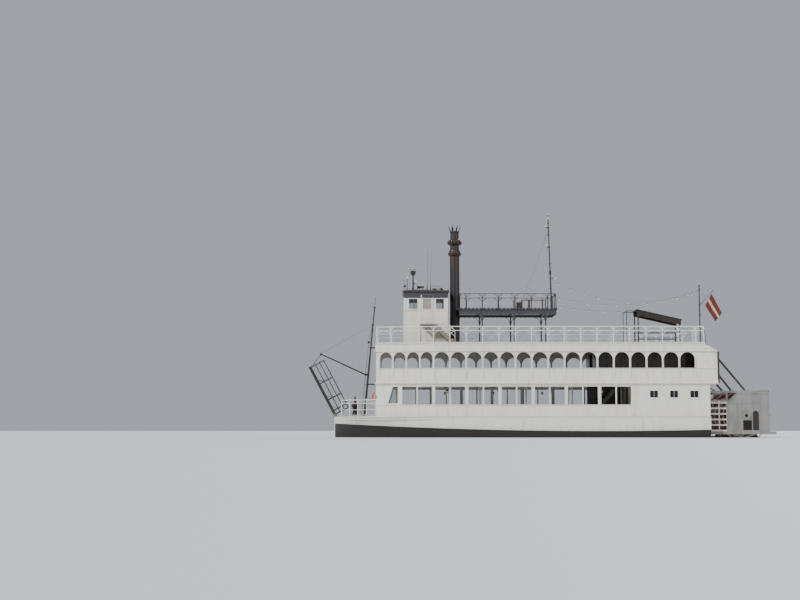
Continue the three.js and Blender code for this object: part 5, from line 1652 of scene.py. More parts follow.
@dataclass
class TopDeck:
    """The top deck: fascia mouldings, panels, the sloped apron, its railing and the stairs' hood."""

    rail_inset: float = 0.085
    aft: float = -12.355

    def build(self) -> None:
        """Makes the railing in place of the frame's and adds trim to the deck and hood."""
        dress(Finishes.WHITE, "top_deck", "top_fascia", "stern_apron")
        dress(Finishes.BLACK, "companion_hood")
        make("top_deck_panels", self.panels(), Finishes.ROOF_DECK)
        make("top_deck_mouldings", self.mouldings(), Finishes.WHITE)
        make("top_rails", self.railing(), Finishes.RAIL, replaces="top_railing", angle=40)
        make("apron_vents", self.vents(), Finishes.BLACK)
        make("hood_trim", self.hood(), Finishes.BLACK, bevel=0.004)

    def panels(self) -> Skin:
        """The top deck's covering, cut out over the stairs."""
        plan = PLAN.outline(PLAN.top_stern, 10.04)
        return pierced(plan, LEVEL, PLAN.top_deck, PLAN.top_deck + COVERING,
                       holes=[rectangle(-11.25, -0.52, -8.65, 0.52)])

    def mouldings(self) -> Skin:
        """Three bands round the fascia and a drip edge with small dentils under its cap."""
        edge = PLAN.edge(0.0, 0.0, aft=PLAN.stern, fore=PLAN.front + PLAN.lip)
        foot = [(-0.002, 5.84), (0.03, 5.84), (0.034, 5.865), (0.012, 5.885), (-0.002, 5.885)]
        cap = [(-0.002, 6.33), (0.02, 6.34), (0.05, 6.37), (0.055, 6.40), (-0.002, 6.412)]
        short = PLAN.edge(0.0, 0.0, aft=PLAN.top_stern, fore=PLAN.front + PLAN.lip)
        belt = moulding(PLAN.edge(6.10, 0.0, aft=PLAN.top_stern, fore=PLAN.front + PLAN.lip),
                        half_round(0.018))
        x = np.arange(PLAN.top_stern + 0.1, PLAN.shoulder, 0.16)
        y = PLAN.half + 0 * x
        dentils = boxes(points_at(x, y - 0.003, 6.275), points_at(x + 0.07, y + 0.02, 6.33))
        return Skin().join(moulding(edge, foot), moulding(short, cap), belt, dentils.both())

    def railing(self) -> Skin:
        """The railing round the deck, with its posts at the pitch of the arcade's columns."""
        pattern = RailPattern(PLAN.top_deck + GAP, 7.28, 7.55, rise=0.42, spread=0.25)
        y = PLAN.half - self.rail_inset
        front_x = 9.96
        front_y = float(PLAN.half_width(front_x, self.rail_inset))
        port = np.array([[self.aft, y], [PLAN.arcade_stern, y], [PLAN.shoulder, y], [front_x, front_y]])
        loop = np.concatenate([port, port[::-1] * [1, -1], port[:1]])
        return pattern.build(loop, [1, PLAN.bays, 4, 7, 4, PLAN.bays, 1, 7])

    def vents(self) -> Skin:
        """Mushroom vents on the apron at both quarters, and the short brace of the aft pole."""
        profile = [(0.05, -0.12), (0.05, 0.03), (0.10, 0.045), (0.10, 0.07), (0.06, 0.10), (0.01, 0.11)]
        vent = turned(profile, (0, 0, 0), 16)
        brace = tube([[-12.42, 3.80, 7.36], [-12.50, 3.80, 6.9], [-12.52, 3.80, 6.36]], 0.02, 8)
        return Skin().join(copies(vent, [[-12.64, 3.55, 6.30], [-12.90, 3.2, 6.11]]).both(), brace)

    def hood(self) -> Skin:
        """Roof seams, edge beads, a stair rail under the hood and bolts on its side boards."""
        x = np.linspace(-11.5, -8.4, 9)
        z = 9.0 + (x + 8.4) * (9.0 - 8.29) / 3.1
        seams = rods(points_at(x, -0.77, z + 0.006), points_at(x, 0.77, z + 0.006), 0.014, sides=6)
        bead = beams([[-11.54, 0.765, 8.29]], [[-8.36, 0.765, 9.01]], 0.03, 0.05)
        low = beams([[-11.5, 0.765, 7.93]], [[-8.4, 0.765, 8.64]], 0.025, 0.04)
        ends = boxes([[-11.545, -0.78, 8.20], [-8.395, -0.78, 8.93]],
                     [[-11.505, 0.78, 8.30], [-8.355, 0.78, 9.02]])
        knots = copies(ball((0, 0, 0), 0.012, 6), points_at(x, 0.763, z - 0.2))
        return Skin().join(seams, bead.both(), low.both(), ends, knots.both())


@dataclass
class Pilothouse:
    """The wheelhouse: glazing, casings, belts, doors, curved roof, roof gear and the radar."""

    aft: float = 5.01
    fore: float = 8.08
    half: float = 1.6
    sill: float = 8.96
    head: float = 9.67
    roof_half: float = 1.69

    def side_loops(self) -> list[Array]:
        """The two fixed windows of each side."""
        return [rectangle(5.29, self.sill, 5.85, self.head), rectangle(7.14, self.sill, 7.74, self.head)]

    def front_loops(self) -> list[Array]:
        """The three windows at the front."""
        return [rectangle(a, self.sill, b, self.head) for a, b in ((-1.4, -0.52), (-0.42, 0.42), (0.52, 1.4))]

    def aft_loops(self) -> list[Array]:
        """The two windows at the back."""
        return [rectangle(a, self.sill, b, self.head) for a, b in ((-1.3, -0.5), (0.5, 1.3))]

    def side_plane(self) -> Plane:
        """The port wall's outer face, drawn in X and Z."""
        return upright(self.half)

    def build(self) -> None:
        """Dresses the walls and adds glass, trim, roof and gear."""
        dress(Finishes.WHITE, "pilothouse_side_port", "pilothouse_side_starboard", "pilothouse_front",
              "pilothouse_aft", "pilothouse_door_port", "pilothouse_door_starboard")
        dress(Finishes.DECK, "pilothouse_floor", "pilothouse_steps_port", "pilothouse_steps_starboard")
        make("wheelhouse_panes", self.glass(), Finishes.GLASS)
        make("wheelhouse_trim", self.trim(), Finishes.WHITE, bevel=0.003)
        # The valances over the doors and round the wheelhouse are slate partly as painted shade under the
        # eaves.
        over_door = self.skirt([(6.825, self.half), (6.06, self.half)], 9.945)
        for what, skin, finish, eased in (
            ("trim", self.door(), Finishes.WHITE, 0.002),
            ("blind", self.blind(), Finishes.BLIND, 0.0),
            ("handle", self.handles(), Finishes.BRASS, 0.0),
            ("valance", over_door, Finishes.FASCIA, 0.003),
        ):
            for side, shape in (("port", skin), ("starboard", skin.mirrored())):
                make(f"wheelhouse_door_{what}_{side}", shape, finish, body=f"door_{side}", bevel=eased)
        make("wheelhouse_roof", self.roof(), Finishes.ROOF, replaces="pilothouse_roof", angle=40)
        make("wheelhouse_roof_crest", self.cresting(), Finishes.BLACK)
        # Slate valance: a real board whose dark tone is partly painted shade under the roof's edge.
        make("wheelhouse_valance", self.valance(), Finishes.FASCIA, bevel=0.003)
        make("wheelhouse_step_rails", self.step_rails(), Finishes.RAIL)
        make("helm", self.helm(), Finishes.VARNISH)
        self.gear()
        self.radar()

    def glass(self) -> Skin:
        """Panes in the sides, the front and the back."""
        side = Skin().join(*[panes(loop, self.side_plane(), 0.03) for loop in self.side_loops()])
        front = [panes(loop, across(self.fore - 0.05), 0.03) for loop in self.front_loops()]
        aft = [panes(loop, across(self.aft), 0.03) for loop in self.aft_loops()]
        return Skin().join(side.both(), *front, *aft)

    def trim(self) -> Skin:
        """Casings, glazing bars, corner boards, a belt under the windows and a band under the roof."""
        plane, front, aft = self.side_plane(), across(self.fore - 0.05), across(self.aft)
        side = [window(loop, plane, 0.0, -1, 0.045) for loop in self.side_loops()]
        side.append(window(rectangle(6.05, 7.86, 6.87, 9.95), plane, 0.0, -1, 0.04))
        ends = [window(loop, front, 0.05, 1, 0.045) for loop in self.front_loops()]
        ends += [window(loop, aft, 0.0, -1, 0.045) for loop in self.aft_loops()]
        corners = [pierced(rectangle(x, 6.45, x + 0.09, 10.14), plane, -0.02, 0.0)
                   for x in (self.aft, self.fore - 0.09)]
        corners += [pierced(rectangle(y, 6.45, y + 0.09, 10.14), front, 0.05, 0.07)
                    for y in (self.half - 0.09,)]
        corners += [pierced(rectangle(y, 6.45, y + 0.09, 10.14), aft, -0.02, 0.0) for y in (self.half - 0.09,
                                                                                            )]
        ways = ((self.aft - 0.02, 6.0), (6.92, self.fore + 0.02))
        belts = []
        for z, proud, tall in ((8.84, 0.035, 0.035), (9.80, 0.02, 0.03)):
            belts += [pierced(rectangle(x0, z, x1, z + tall), plane, -proud, 0.0) for x0, x1 in ways]
        rows = [pierced(rectangle(-self.half, z, self.half, z + tall), wall, low, high) for wall, low,
                high in ((front, 0.05, 0.08), (aft, -0.03, 0.0)) for z, tall in ((8.84, 0.035),)]
        return Skin().join(Skin().join(*side, *corners, *belts).both(), *ends, *rows)

    def door(self) -> Skin:
        """A casing round the door's window and a raised lower panel, on both faces."""
        plane = self.side_plane()
        loop = rectangle(6.168, self.sill, 6.752, self.head)
        panel = window(rectangle(6.20, 8.02, 6.72, 8.74), plane, 0.0, -1, 0.03, 0.012)
        return Skin().join(window(loop, plane, 0.0, -1, 0.03, 0.012),
                           window(loop, plane, 0.04, 1, 0.03, 0.012), panel)

    def blind(self) -> Skin:
        """The pleated blind behind the door's window: a wave of 15 mm across its height."""
        x = np.array([6.165, 6.755])
        z = np.linspace(self.sill - 0.005, self.head + 0.005, 97)
        wave = 0.004 * np.sin(np.arange(97) * np.pi / 2)
        front = np.stack(np.broadcast_arrays(x[None], (self.half - 0.02 + wave)[:, None], z[:, None]), axis=2)
        points = np.concatenate([front, (front - [0, 0.006, 0])[:, ::-1]], axis=1)
        return grid(points).outward()

    def handles(self) -> Skin:
        """A pull handle and two hinges."""
        pull = tube([[6.12, 1.60, 8.70], [6.12, 1.645, 8.71], [6.12, 1.65, 8.80], [6.12, 1.645, 8.89],
                     [6.12, 1.60, 8.90]], 0.008)
        hinge = rods([[6.862, 1.6, z] for z in (8.1, 9.0, 9.7)],
                     [[6.862, 1.6, z + 0.09] for z in (8.1, 9.0, 9.7)], 0.006)
        return Skin().join(pull, hinge)

    def roof(self) -> Skin:
        """The crowned roof: its long profile rounded at the front, lowered towards the sides as a square."""
        profile = np.array([[4.92, 10.15], [8.17, 10.15], [8.195, 10.18], [8.20, 10.22], [8.185, 10.27],
                            [8.14, 10.315], [8.05, 10.352], [7.92, 10.382], [7.7, 10.404], [7.4, 10.418],
                            [7.0, 10.418], [6.2, 10.396], [5.4, 10.366], [4.92, 10.35]])
        y = self.roof_half * np.sin(np.linspace(-np.pi / 2, np.pi / 2, 25))
        drop = 0.11 * (np.abs(y) / self.roof_half) ** 2.4
        share = (profile[:, 1] - 10.15) / 0.27
        z = profile[None, :, 1] - drop[:, None] * share
        x = np.broadcast_to(profile[:, 0], z.shape)
        return grid(points_at(x, np.broadcast_to(y[:, None], z.shape), z)).outward()

    def cresting(self) -> Skin:
        """A beaded eave and small pointed spindles along the roof's back and sides."""
        half = self.roof_half - 0.03
        line = [(7.6, half, 10.27), (4.95, half, 10.22), (4.95, -half, 10.22), (7.6, -half, 10.27)]
        bead = [[8.14, -self.roof_half, 10.17], [4.93, -self.roof_half, 10.17], [4.93, self.roof_half, 10.17],
                [8.14, self.roof_half, 10.17]]
        eave = Skin().join(*[tube(np.array([a, b]), 0.022, 8) for a, b in zip(bead, bead[1:])])
        return Skin().join(crest(0.17, line, 0.16, 0.026), eave)

    def valance(self) -> Skin:
        """The deep board under the eaves, whose lower part leaves room for the doors. Its slate tone is
        partly painted shade under the roof's edge.
        """
        x0, x1, y = self.aft, self.fore, self.half
        line = np.array([(x0, -y, 0), (x1, -y, 0), (x1, y, 0), (x0, y, 0), (x0, -y, 0)], float)
        upper = moulding(line, [(-0.002, 9.96), (0.03, 9.96), (0.03, 10.13), (0.06, 10.15), (-0.002, 10.15)])
        door_aft, door_fore = 6.04, 6.905
        front = self.skirt([(door_fore, -y), (x1, -y), (x1, y), (door_fore, y)], 9.96)
        return Skin().join(upper, front, self.skirt([(door_aft, y), (x0, y), (x0, -y), (door_aft, -y)], 9.96))

    def skirt(self, plan: list[tuple[float, float]], top: float) -> Skin:
        """The valance's lower part along a line, with round drops on its edge."""
        line = np.array([(x, y, 0) for x, y in plan], float)
        board = moulding(line, [(-0.002, 9.76), (0.03, 9.76), (0.03, top), (-0.002, top)])
        drops = crest(0.11, line + [0, 0, 9.77], 0.075, 0.045)
        return board.join(drops.upside_down(2 * 9.77))

    def step_rails(self) -> Skin:
        """Handrails beside the steps and the landing on both sides."""
        posts = [[4.55, 2.41, 6.46], [5.25, 2.41, 7.13], [5.98, 2.41, 7.85], [6.93, 2.41, 7.85]]
        tops = [[x, y, z + 0.92] for x, y, z in posts]
        lines = [tube(np.array(tops[:3]), 0.02, 8), tube(np.array(tops[2:]), 0.02, 8),
                 tube(np.array(tops[:3]) - [0, 0, 0.42], 0.014, 8),
                 tube(np.array(tops[2:]) - [0, 0, 0.42], 0.014, 8)]
        return Skin().join(rods(posts, tops, 0.018), *lines).both()

    def helm(self) -> Skin:
        """A steering wheel with turned spokes on a console."""
        centre = (7.35, 0.0, 9.0)
        rim = ring(centre, (1, 0, 0), 0.42, 0.022)
        angle = np.arange(8) * np.pi / 4
        way = points_at(0, np.cos(angle), np.sin(angle))
        spokes = rods(np.asarray(centre) + way * 0.04, np.asarray(centre) + way * 0.56, 0.017, 0.012)
        hub = turned([(0.05, -0.04), (0.08, -0.02), (0.08, 0.02), (0.05, 0.04)], centre, 16, axis=(1, 0, 0))
        console = boxes([7.45, -0.7, 7.85], [7.95, 0.7, 8.85])
        return Skin().join(rim, spokes, hub, console)

    def gear(self) -> None:
        """Horns, lamps, aerials and small boxes on the roof."""
        horn = turned([(0.03, 0), (0.032, 0.12), (0.045, 0.34), (0.075, 0.46), (0.105, 0.5)], (6.65, 0, 0),
                      16, axis=(1, 0, 0))
        horns = copies(horn, [[0, 0.45, 10.58], [0, 0.75, 10.62]])
        stands = rods([[6.75, 0.45, 10.36], [6.75, 0.75, 10.36], [6.98, 0.6, 10.36]],
                      [[6.75, 0.45, 10.57], [6.75, 0.75, 10.61], [6.98, 0.6, 10.6]], 0.016)
        tie = rods([6.75, 0.40, 10.5], [6.75, 0.80, 10.5], 0.014)
        poles = rods([[7.84, 0.9, 10.3], [8.02, 0.3, 10.3]], [[7.84, 0.9, 11.22], [8.02, 0.3, 10.62]], 0.024,
                     0.018, 10)
        rail = tube([[6.20, 1.0, 10.36], [6.18, 1.0, 10.62], [5.95, 1.0, 10.65], [5.62, 1.0, 10.62],
                     [5.60, 1.0, 10.36]], 0.016)
        box = boxes([5.75, 0.2, 10.36], [6.05, 0.6, 10.52])
        vent = turned([(0.08, 10.34), (0.08, 10.48), (0.15, 10.5), (0.15, 10.54), (0.08, 10.58),
                       (0.01, 10.59)], (5.4, 0.3, 0), 16)
        make("wheelhouse_roof_gear", Skin().join(horns, stands, tie, poles, rail, box, vent), Finishes.BLACK,
             angle=40)
        whips = rods([[6.44, 0.9, 10.36], [6.19, -0.7, 10.36]], [[6.38, 0.9, 13.46], [6.10, -0.7, 13.40]],
                     0.014, 0.004, 6)
        feet = rods([[6.44, 0.9, 10.36], [6.19, -0.7, 10.36]], [[6.437, 0.9, 10.72], [6.183, -0.7, 10.72]],
                    0.03, 0.026)
        make("wheelhouse_whip_aerials", Skin().join(whips, feet), Finishes.BLACK)
        lamp = turned([(0.05, 11.20), (0.055, 11.22), (0.055, 11.33), (0.03, 11.36), (0.01, 11.37)],
                      (7.84, 0.9, 0), 16)
        search = turned([(0.03, -0.1), (0.11, -0.06), (0.125, 0.08), (0.12, 0.1)], (8.02, 0.3, 10.74), 20,
                        axis=(1, 0, 0.1))
        make("wheelhouse_lamp_housings", search, Finishes.STEEL)
        lens = turned([(0.115, 0.0), (0.10, 0.015), (0.04, 0.03)], (8.12, 0.3, 10.75), 20, axis=(1, 0, 0.1))
        make("wheelhouse_lamp_lenses", Skin().join(lamp, lens), Finishes.BULB)

    def radar(self) -> None:
        """The radar's mast with its pedestal and dome, and the scanner that turns on it."""
        mast = turned([(0.10, 10.42), (0.10, 10.44), (0.06, 10.47), (0.045, 11.55)], (7.43, 0, 0), 24)
        pedestal = turned([(0.06, 11.50), (0.15, 11.56), (0.17, 11.62), (0.21, 11.78), (0.205, 11.81)],
                          (7.43, 0, 0), 32)
        arm = tube([[7.43, 0, 10.98], [7.3, 0, 10.98], [7.2, 0, 10.985]], 0.028)
        brace = rods([7.43, 0, 10.72], [7.26, 0, 10.96], 0.014)
        make("radar_post", Skin().join(mast, pedestal, arm, brace), Finishes.BLACK, replaces="radar_mast")
        make("radar_dome", turned([(0.05, 10.945), (0.085, 10.96), (0.108, 11.02), (0.105, 11.07),
                                   (0.075, 11.125), (0.02, 11.148)], (7.2, 0, 0), 24), Finishes.RADAR)
        along = np.array([math.cos(math.radians(48)), math.sin(math.radians(48)), 0])
        aside = np.array([-along[1], along[0], 0])
        t = np.linspace(-0.5, 0.5, 13)
        angle = np.arange(16) * 2 * np.pi / 16
        swell = (1 - (np.abs(t) / 0.5) ** 8 * 0.35)[:, None]
        across_bar = 0.07 * np.sign(np.cos(angle)) * np.abs(np.cos(angle)) ** 0.6 * swell
        height = 0.07 * np.sign(np.sin(angle)) * np.abs(np.sin(angle)) ** 0.6 * swell + 11.94
        points = np.array([7.43, 0, 0]) + t[:, None, None] * along + across_bar[..., None] * aside
        points[..., 2] += height
        hub = turned([(0.07, 11.8103), (0.07, 11.86), (0.05, 11.88)], (7.43, 0, 0), 20)
        make("radar_bar", Skin().join(grid(points).outward(), hub), Finishes.RADAR, body="radar",
             replaces="radar_scanner")


@dataclass
class Smokestack:
    """The tall stack with lobed rings, riveted bands and a crown of leaves."""

    x: float = 4.455
    radius: float = 0.344
    leaves: int = 8
    lobes: int = 12

    def build(self) -> None:
        """Makes the stack in place of the frame's."""
        make("stack_tube", self.tube(), Finishes.SOOT, replaces="smokestack", angle=28)
        make("stack_rings", Skin().join(self.lobed(13.06, 0.105, 0.17), self.lobed(13.865, 0.155, 0.19)),
             Finishes.SOOT, angle=50)
        make("stack_crown", self.crown(), Finishes.SOOT, angle=50)
        make("stack_rivets", self.rivets(), Finishes.SOOT)

    def tube(self) -> Skin:
        """The turned stack, with its base plate, bands and open head."""
        r = self.radius
        profile = [(r + 0.09, PLAN.top_deck + GAP), (r + 0.09, 6.45), (r + 0.07, 6.47), (r + 0.05, 6.51),
                   (r + 0.01, 6.55), (r, 6.56), (r, 8.30), (r + 0.012, 8.305), (r + 0.012, 8.39), (r, 8.395),
                   (r, 10.5), (r + 0.012, 10.505), (r + 0.012, 10.59), (r, 10.595), (r, 12.86),
                   (r + 0.05, 12.90), (r + 0.06, 12.95), (r + 0.06, 13.25), (r + 0.04, 13.29),
                   (r - 0.02, 13.31), (r - 0.024, 13.64), (r + 0.03, 13.69), (r + 0.06, 13.73),
                   (r + 0.06, 14.0), (r + 0.02, 14.04), (0.31, 14.09), (0.30, 14.56), (0.325, 14.6),
                   (0.325, 14.64), (0.30, 14.65), (0.24, 14.65), (0.24, 14.2)]
        return turned(profile, (self.x, 0, 0), 48)

    def lobed(self, z: float, swell: float, half: float) -> Skin:
        """A ring whose radius swells in lobes: by the root of the cosine's size round the stack.

        Args:
            z: height of its middle.
            swell: how far a lobe stands out.
            half: half its height.

        Returns:
            The skin.
        """
        angle = np.arange(self.lobes * 8) * 2 * np.pi / (self.lobes * 8)
        rise = np.linspace(-1, 1, 11)
        lobe = 0.35 + 0.65 * np.sqrt(np.abs(np.cos(angle * self.lobes / 2)))
        bulge = np.sqrt(np.maximum(0, 1 - rise ** 2))
        reach = self.radius + 0.02 + swell * lobe[None] * bulge[:, None]
        points = points_at(self.x + reach * np.cos(angle), reach * np.sin(angle),
                           np.broadcast_to((z + half * rise)[:, None], reach.shape))
        return grid(points)

    def crown(self) -> Skin:
        """Leaves that rise from the stack's head and curl outward to a point.

        Each leaf is a grid of width and length. It leans out as the square of its length and
        narrows as the root of what is left of it, with a raised rib down its middle.

        Returns:
            The skin of all leaves.
        """
        u = np.linspace(0, 1, 12)
        v = np.linspace(-1, 1, 7)
        out = 0.285 + 0.24 * u ** 1.8
        width = 0.055 * np.sqrt(1 - 0.985 * u) * (1 + 0.35 * np.sin(np.pi * u))
        thick = 0.012 + 0.022 * (1 - np.abs(v))
        z = 14.50 + 0.58 * u
        outer = points_at(out[:, None] + thick * (1 - 0.8 * u[:, None]), width[:, None] * v,
                          z[:, None] + 0 * v)
        inner = points_at(out[:, None] - 0.012 + 0 * v, width[:, None] * v, z[:, None] + 0 * v)[:, ::-1]
        leaf = grid(np.concatenate([outer, inner], axis=1)).outward()
        angles = (np.arange(self.leaves) + 0.5) * 2 * np.pi / self.leaves
        big = copies(leaf, np.tile([[self.x, 0, 0]], (self.leaves, 1)), turns_about(2, angles))
        small = leaf.mapped((leaf.whole() - [0.285, 0, 14.5]) * [0.4, 0.8, 0.3] + [0.30, 0, 14.53])
        between = copies(small, np.tile([[self.x, 0, 0]], (self.leaves, 1)),
                         turns_about(2, angles + np.pi / self.leaves))
        return Skin().join(big, between)

    def rivets(self) -> Skin:
        """Rows of rivets on the bands, and the upright seam."""
        rivet = turned([(0.014, 0.0), (0.012, 0.006), (0.005, 0.010)], (0, 0, 0), 6, axis=(1, 0, 0))
        angle = np.tile(np.arange(30) * 2 * np.pi / 30, 4)
        z = np.repeat([6.45, 8.347, 10.547, 14.3], 30)
        reach = np.repeat([self.radius + 0.09, self.radius + 0.012, self.radius + 0.012, 0.3045], 30)
        spots = at_height(on_circle(angle, reach, self.x), z)
        seam = boxes([self.x - 0.03, self.radius - 0.006, 6.6], [self.x + 0.03, self.radius + 0.003, 12.85])
        return Skin().join(copies(rivet, spots, turns_about(2, angle)), seam)


@dataclass
class Gallery:
    """The raised gallery abaft the stack: deck, pointed fascia, railing, table, locker."""

    aft: float = -2.6
    fore: float = 4.19
    half: float = 1.6
    under: float = 8.62
    floor: float = 8.85
    top: float = 8.93
    rail: float = 10.046
    stack: tuple[float, float] = (4.455, 0.375)
    posts: tuple[float, ...] = (2.6, 0.36, -1.85)
    starboard_aft: float = 0.19

    def build(self) -> None:
        """Replaces the railing and adds the fascia's points, brackets and furniture details."""
        dress(Finishes.FASCIA, "platform")
        dress(Finishes.VARNISH, "platform_table")
        dress(Finishes.BLACK, "platform_locker")
        make("gallery_boards", pierced(self.plan(0.051), LEVEL, self.floor, self.floor + COVERING),
             Finishes.DECK)
        make("gallery_rails", self.railing(), Finishes.BLACK, replaces="platform_railing", angle=40)
        make("gallery_points", self.points(), Finishes.FASCIA, angle=40)
        make("gallery_mouldings", self.mouldings(), Finishes.FASCIA, bevel=0.004)
        make("gallery_locker_lid", self.lid(), Finishes.BLACK, bevel=0.004)

    def plan(self, inset: float) -> Array:
        """The gallery's plan moved in: a rectangle whose fore edge is notched by an arc round the stack."""
        centre, radius = self.stack
        radius += inset
        fore, y = self.fore - inset, self.half - inset
        reach = math.acos((centre - fore) / radius)
        angle = np.pi + np.linspace(-reach, reach, 15)
        arc = on_circle(angle, radius, centre)
        return np.concatenate([[[self.aft + inset, y], [self.aft + inset, -y], [fore, -y]], arc[::-1],
                               [[fore, y]]])

    def railing(self) -> Skin:
        """The railing on the fascia, with the frame's posts. It is open where the stack stands."""
        pattern = ForkedRail(self.top + GAP, 9.75, self.rail, spread=0.236, lean=1.15, iron=0.018,
                             post=0.06)
        y = self.half - 0.025
        gap = np.array([[self.fore - 0.025, 0.29]])
        port = np.concatenate([gap, [[x, y] for x in (self.fore - 0.025, 3.73, -1.995, self.aft + 0.025)]])
        starboard = port[::-1] * [1, -1]
        starboard[1:3, 0] -= self.starboard_aft
        return pattern.build(np.concatenate([port, starboard]), [1, 1, 5, 1, 3, 1, 5, 1, 1])

    def corners(self, out: float, z: float) -> list[Point]:
        """The fascia's corners, moved out, from the stack's starboard side aft and round to its port side."""
        x0, x1, y = self.aft - out, self.fore + out, self.half + out
        return [(x1, -0.28, z), (x1, -y, z), (x0, -y, z), (x0, y, z), (x1, y, z), (x1, 0.28, z)]

    def points(self) -> Skin:
        """Pointed spindles over the fascia and drops under it."""
        up = crest(0.27, self.corners(0.012, self.top - 0.03), 0.21, 0.105)
        down = crest(0.335, self.corners(0.0, 0.0), 0.07, 0.03)
        turned_down = down.upside_down(self.under + 0.01)
        return Skin().join(up, turned_down)

    def mouldings(self) -> Skin:
        """Bands round the fascia, brackets at the posts and a beam under each pair of posts."""
        line = np.array(self.corners(0.0, 0.0))
        bands = [moulding(line, [(-0.002, z), (out, z), (out, z + tall), (-0.002, z + tall)])
                 for z, out, tall in ((self.under, 0.03, 0.04), (self.top - 0.045, 0.035, 0.045))]
        knees = []
        for x in self.posts:
            knees += [tube([[x + s * 0.045, 1.5, 8.17], [x + s * 0.12, 1.5, 8.44], [x + s * 0.36, 1.5, 8.62]],
                           0.022, 8) for s in (-1, 1)]
            knees.append(tube([[x, 1.455, 8.17], [x, 1.36, 8.44], [x, 1.1, 8.74]], 0.022, 8))
        plates = boxes([[x - 0.09, 1.41, 6.4023] for x in self.posts],
                       [[x + 0.09, 1.59, 6.42] for x in self.posts])
        beams_under = boxes([[x - 0.04, -1.55, 8.66] for x in self.posts],
                            [[x + 0.04, 1.55, 8.75] for x in self.posts])
        return Skin().join(*bands, Skin().join(*knees, plates).both(), beams_under)

    def lid(self) -> Skin:
        """The locker's overhanging lid and hasps."""
        lid = boxes([-0.27, -0.32, 9.525], [0.08, 0.32, 9.557])
        hasps = boxes([[-0.17, 0.3, 9.43], [-0.06, 0.3, 9.43]], [[-0.13, 0.312, 9.53], [-0.02, 0.312, 9.53]])
        return Skin().join(lid, hasps)


@dataclass
class MainMast:
    """The signal mast: tapered pole, collars, arms, lamps, stays and eyes for the light strings."""

    foot_radius: float = 0.06
    head_radius: float = 0.032

    def at(self, z: float, aside: float = 0.0) -> Point:
        """A point on the mast's line at a height, moved along the boat."""
        return (float(MAST_LINE.x(z)) + aside, 0.0, z)

    def build(self) -> None:
        """Makes the mast in place of the frame's and dresses the stays."""
        dress(Finishes.STEEL, "mast_stays")
        make("signal_mast", self.pole(), Finishes.BLACK, replaces="main_mast", angle=40)
        make("signal_lamps", self.lamps(), Finishes.BULB)
        make("stay_shackles", self.shackles(), Finishes.STEEL)

    def pole(self) -> Skin:
        """The pole, its collars, arms with brackets, the lamp box and the strings' eyes."""
        z = np.linspace(8.852, 16.03, 30)
        path = points_at(MAST_LINE.x(z), 0, z)
        radius = self.foot_radius + (self.head_radius - self.foot_radius) * (z - z[0]) / (z[-1] - z[0])
        collars = [turned([(0.05, -0.05), (0.082, -0.03), (0.082, 0.03), (0.05, 0.05)], self.at(h), 16)
                   for h in (10.6, 11.33, 12.35, 13.56, 14.45, 14.96, 15.3)]
        arms = [rods(self.at(h, a), self.at(h, b), 0.02) for h, a,
                b in ((11.33, -0.33, -0.02), (13.56, 0.02, 0.17), (14.96, 0.02, 0.21))]
        knees = [rods(self.at(h - 0.16, 0.0), self.at(h, b * 0.8), 0.01) for h,
                 b in ((11.33, -0.33), (13.56, 0.17), (14.96, 0.21))]
        hood = turned([(0.075, -0.14), (0.078, 0.12), (0.02, 0.16)], self.at(11.72), 4)
        foot = turned([(0.15, 0.0), (0.15, 0.023), (0.09, 0.038), (0.075, 0.17)], self.at(8.852), 24)
        eyes = [rods(string.eyes()[0], string.path()[0], 0.008) for string in LIGHT_STRINGS]
        holders = [turned([(0.045, -0.05), (0.05, -0.03), (0.05, -0.02)], self.at(h, a), 12)
                   for h, a in ((13.61, 0.15), (15.01, 0.19))]
        return Skin().join(tube(path, radius, 20), *collars, *arms, *knees, hood, foot, *eyes, *holders)

    def lamps(self) -> Skin:
        """All-round lamps at the head and on the arms."""
        profile = [(0.03, -0.06), (0.052, -0.05), (0.056, 0.0), (0.052, 0.05), (0.03, 0.065)]
        places = [self.at(15.94), self.at(15.66), self.at(15.3), self.at(13.66, 0.15), self.at(15.06, 0.19),
                  self.at(11.30, -0.33)]
        return Skin().join(*[turned(profile, place, 16) for place in places])

    def shackles(self) -> Skin:
        """Turnbuckles at the feet of the stays."""
        head = np.array([float(MAST_LINE.x(14.75)) + 0.048, 0, 14.75])
        foot = np.array([-0.6, 1.575, 10.0743])
        way = unit(head - foot)
        return rods(foot + way * 0.03, foot + way * 0.34,
                    0.016).join(rods(foot + way * 0.34, foot + way * 0.42, 0.01)).both()


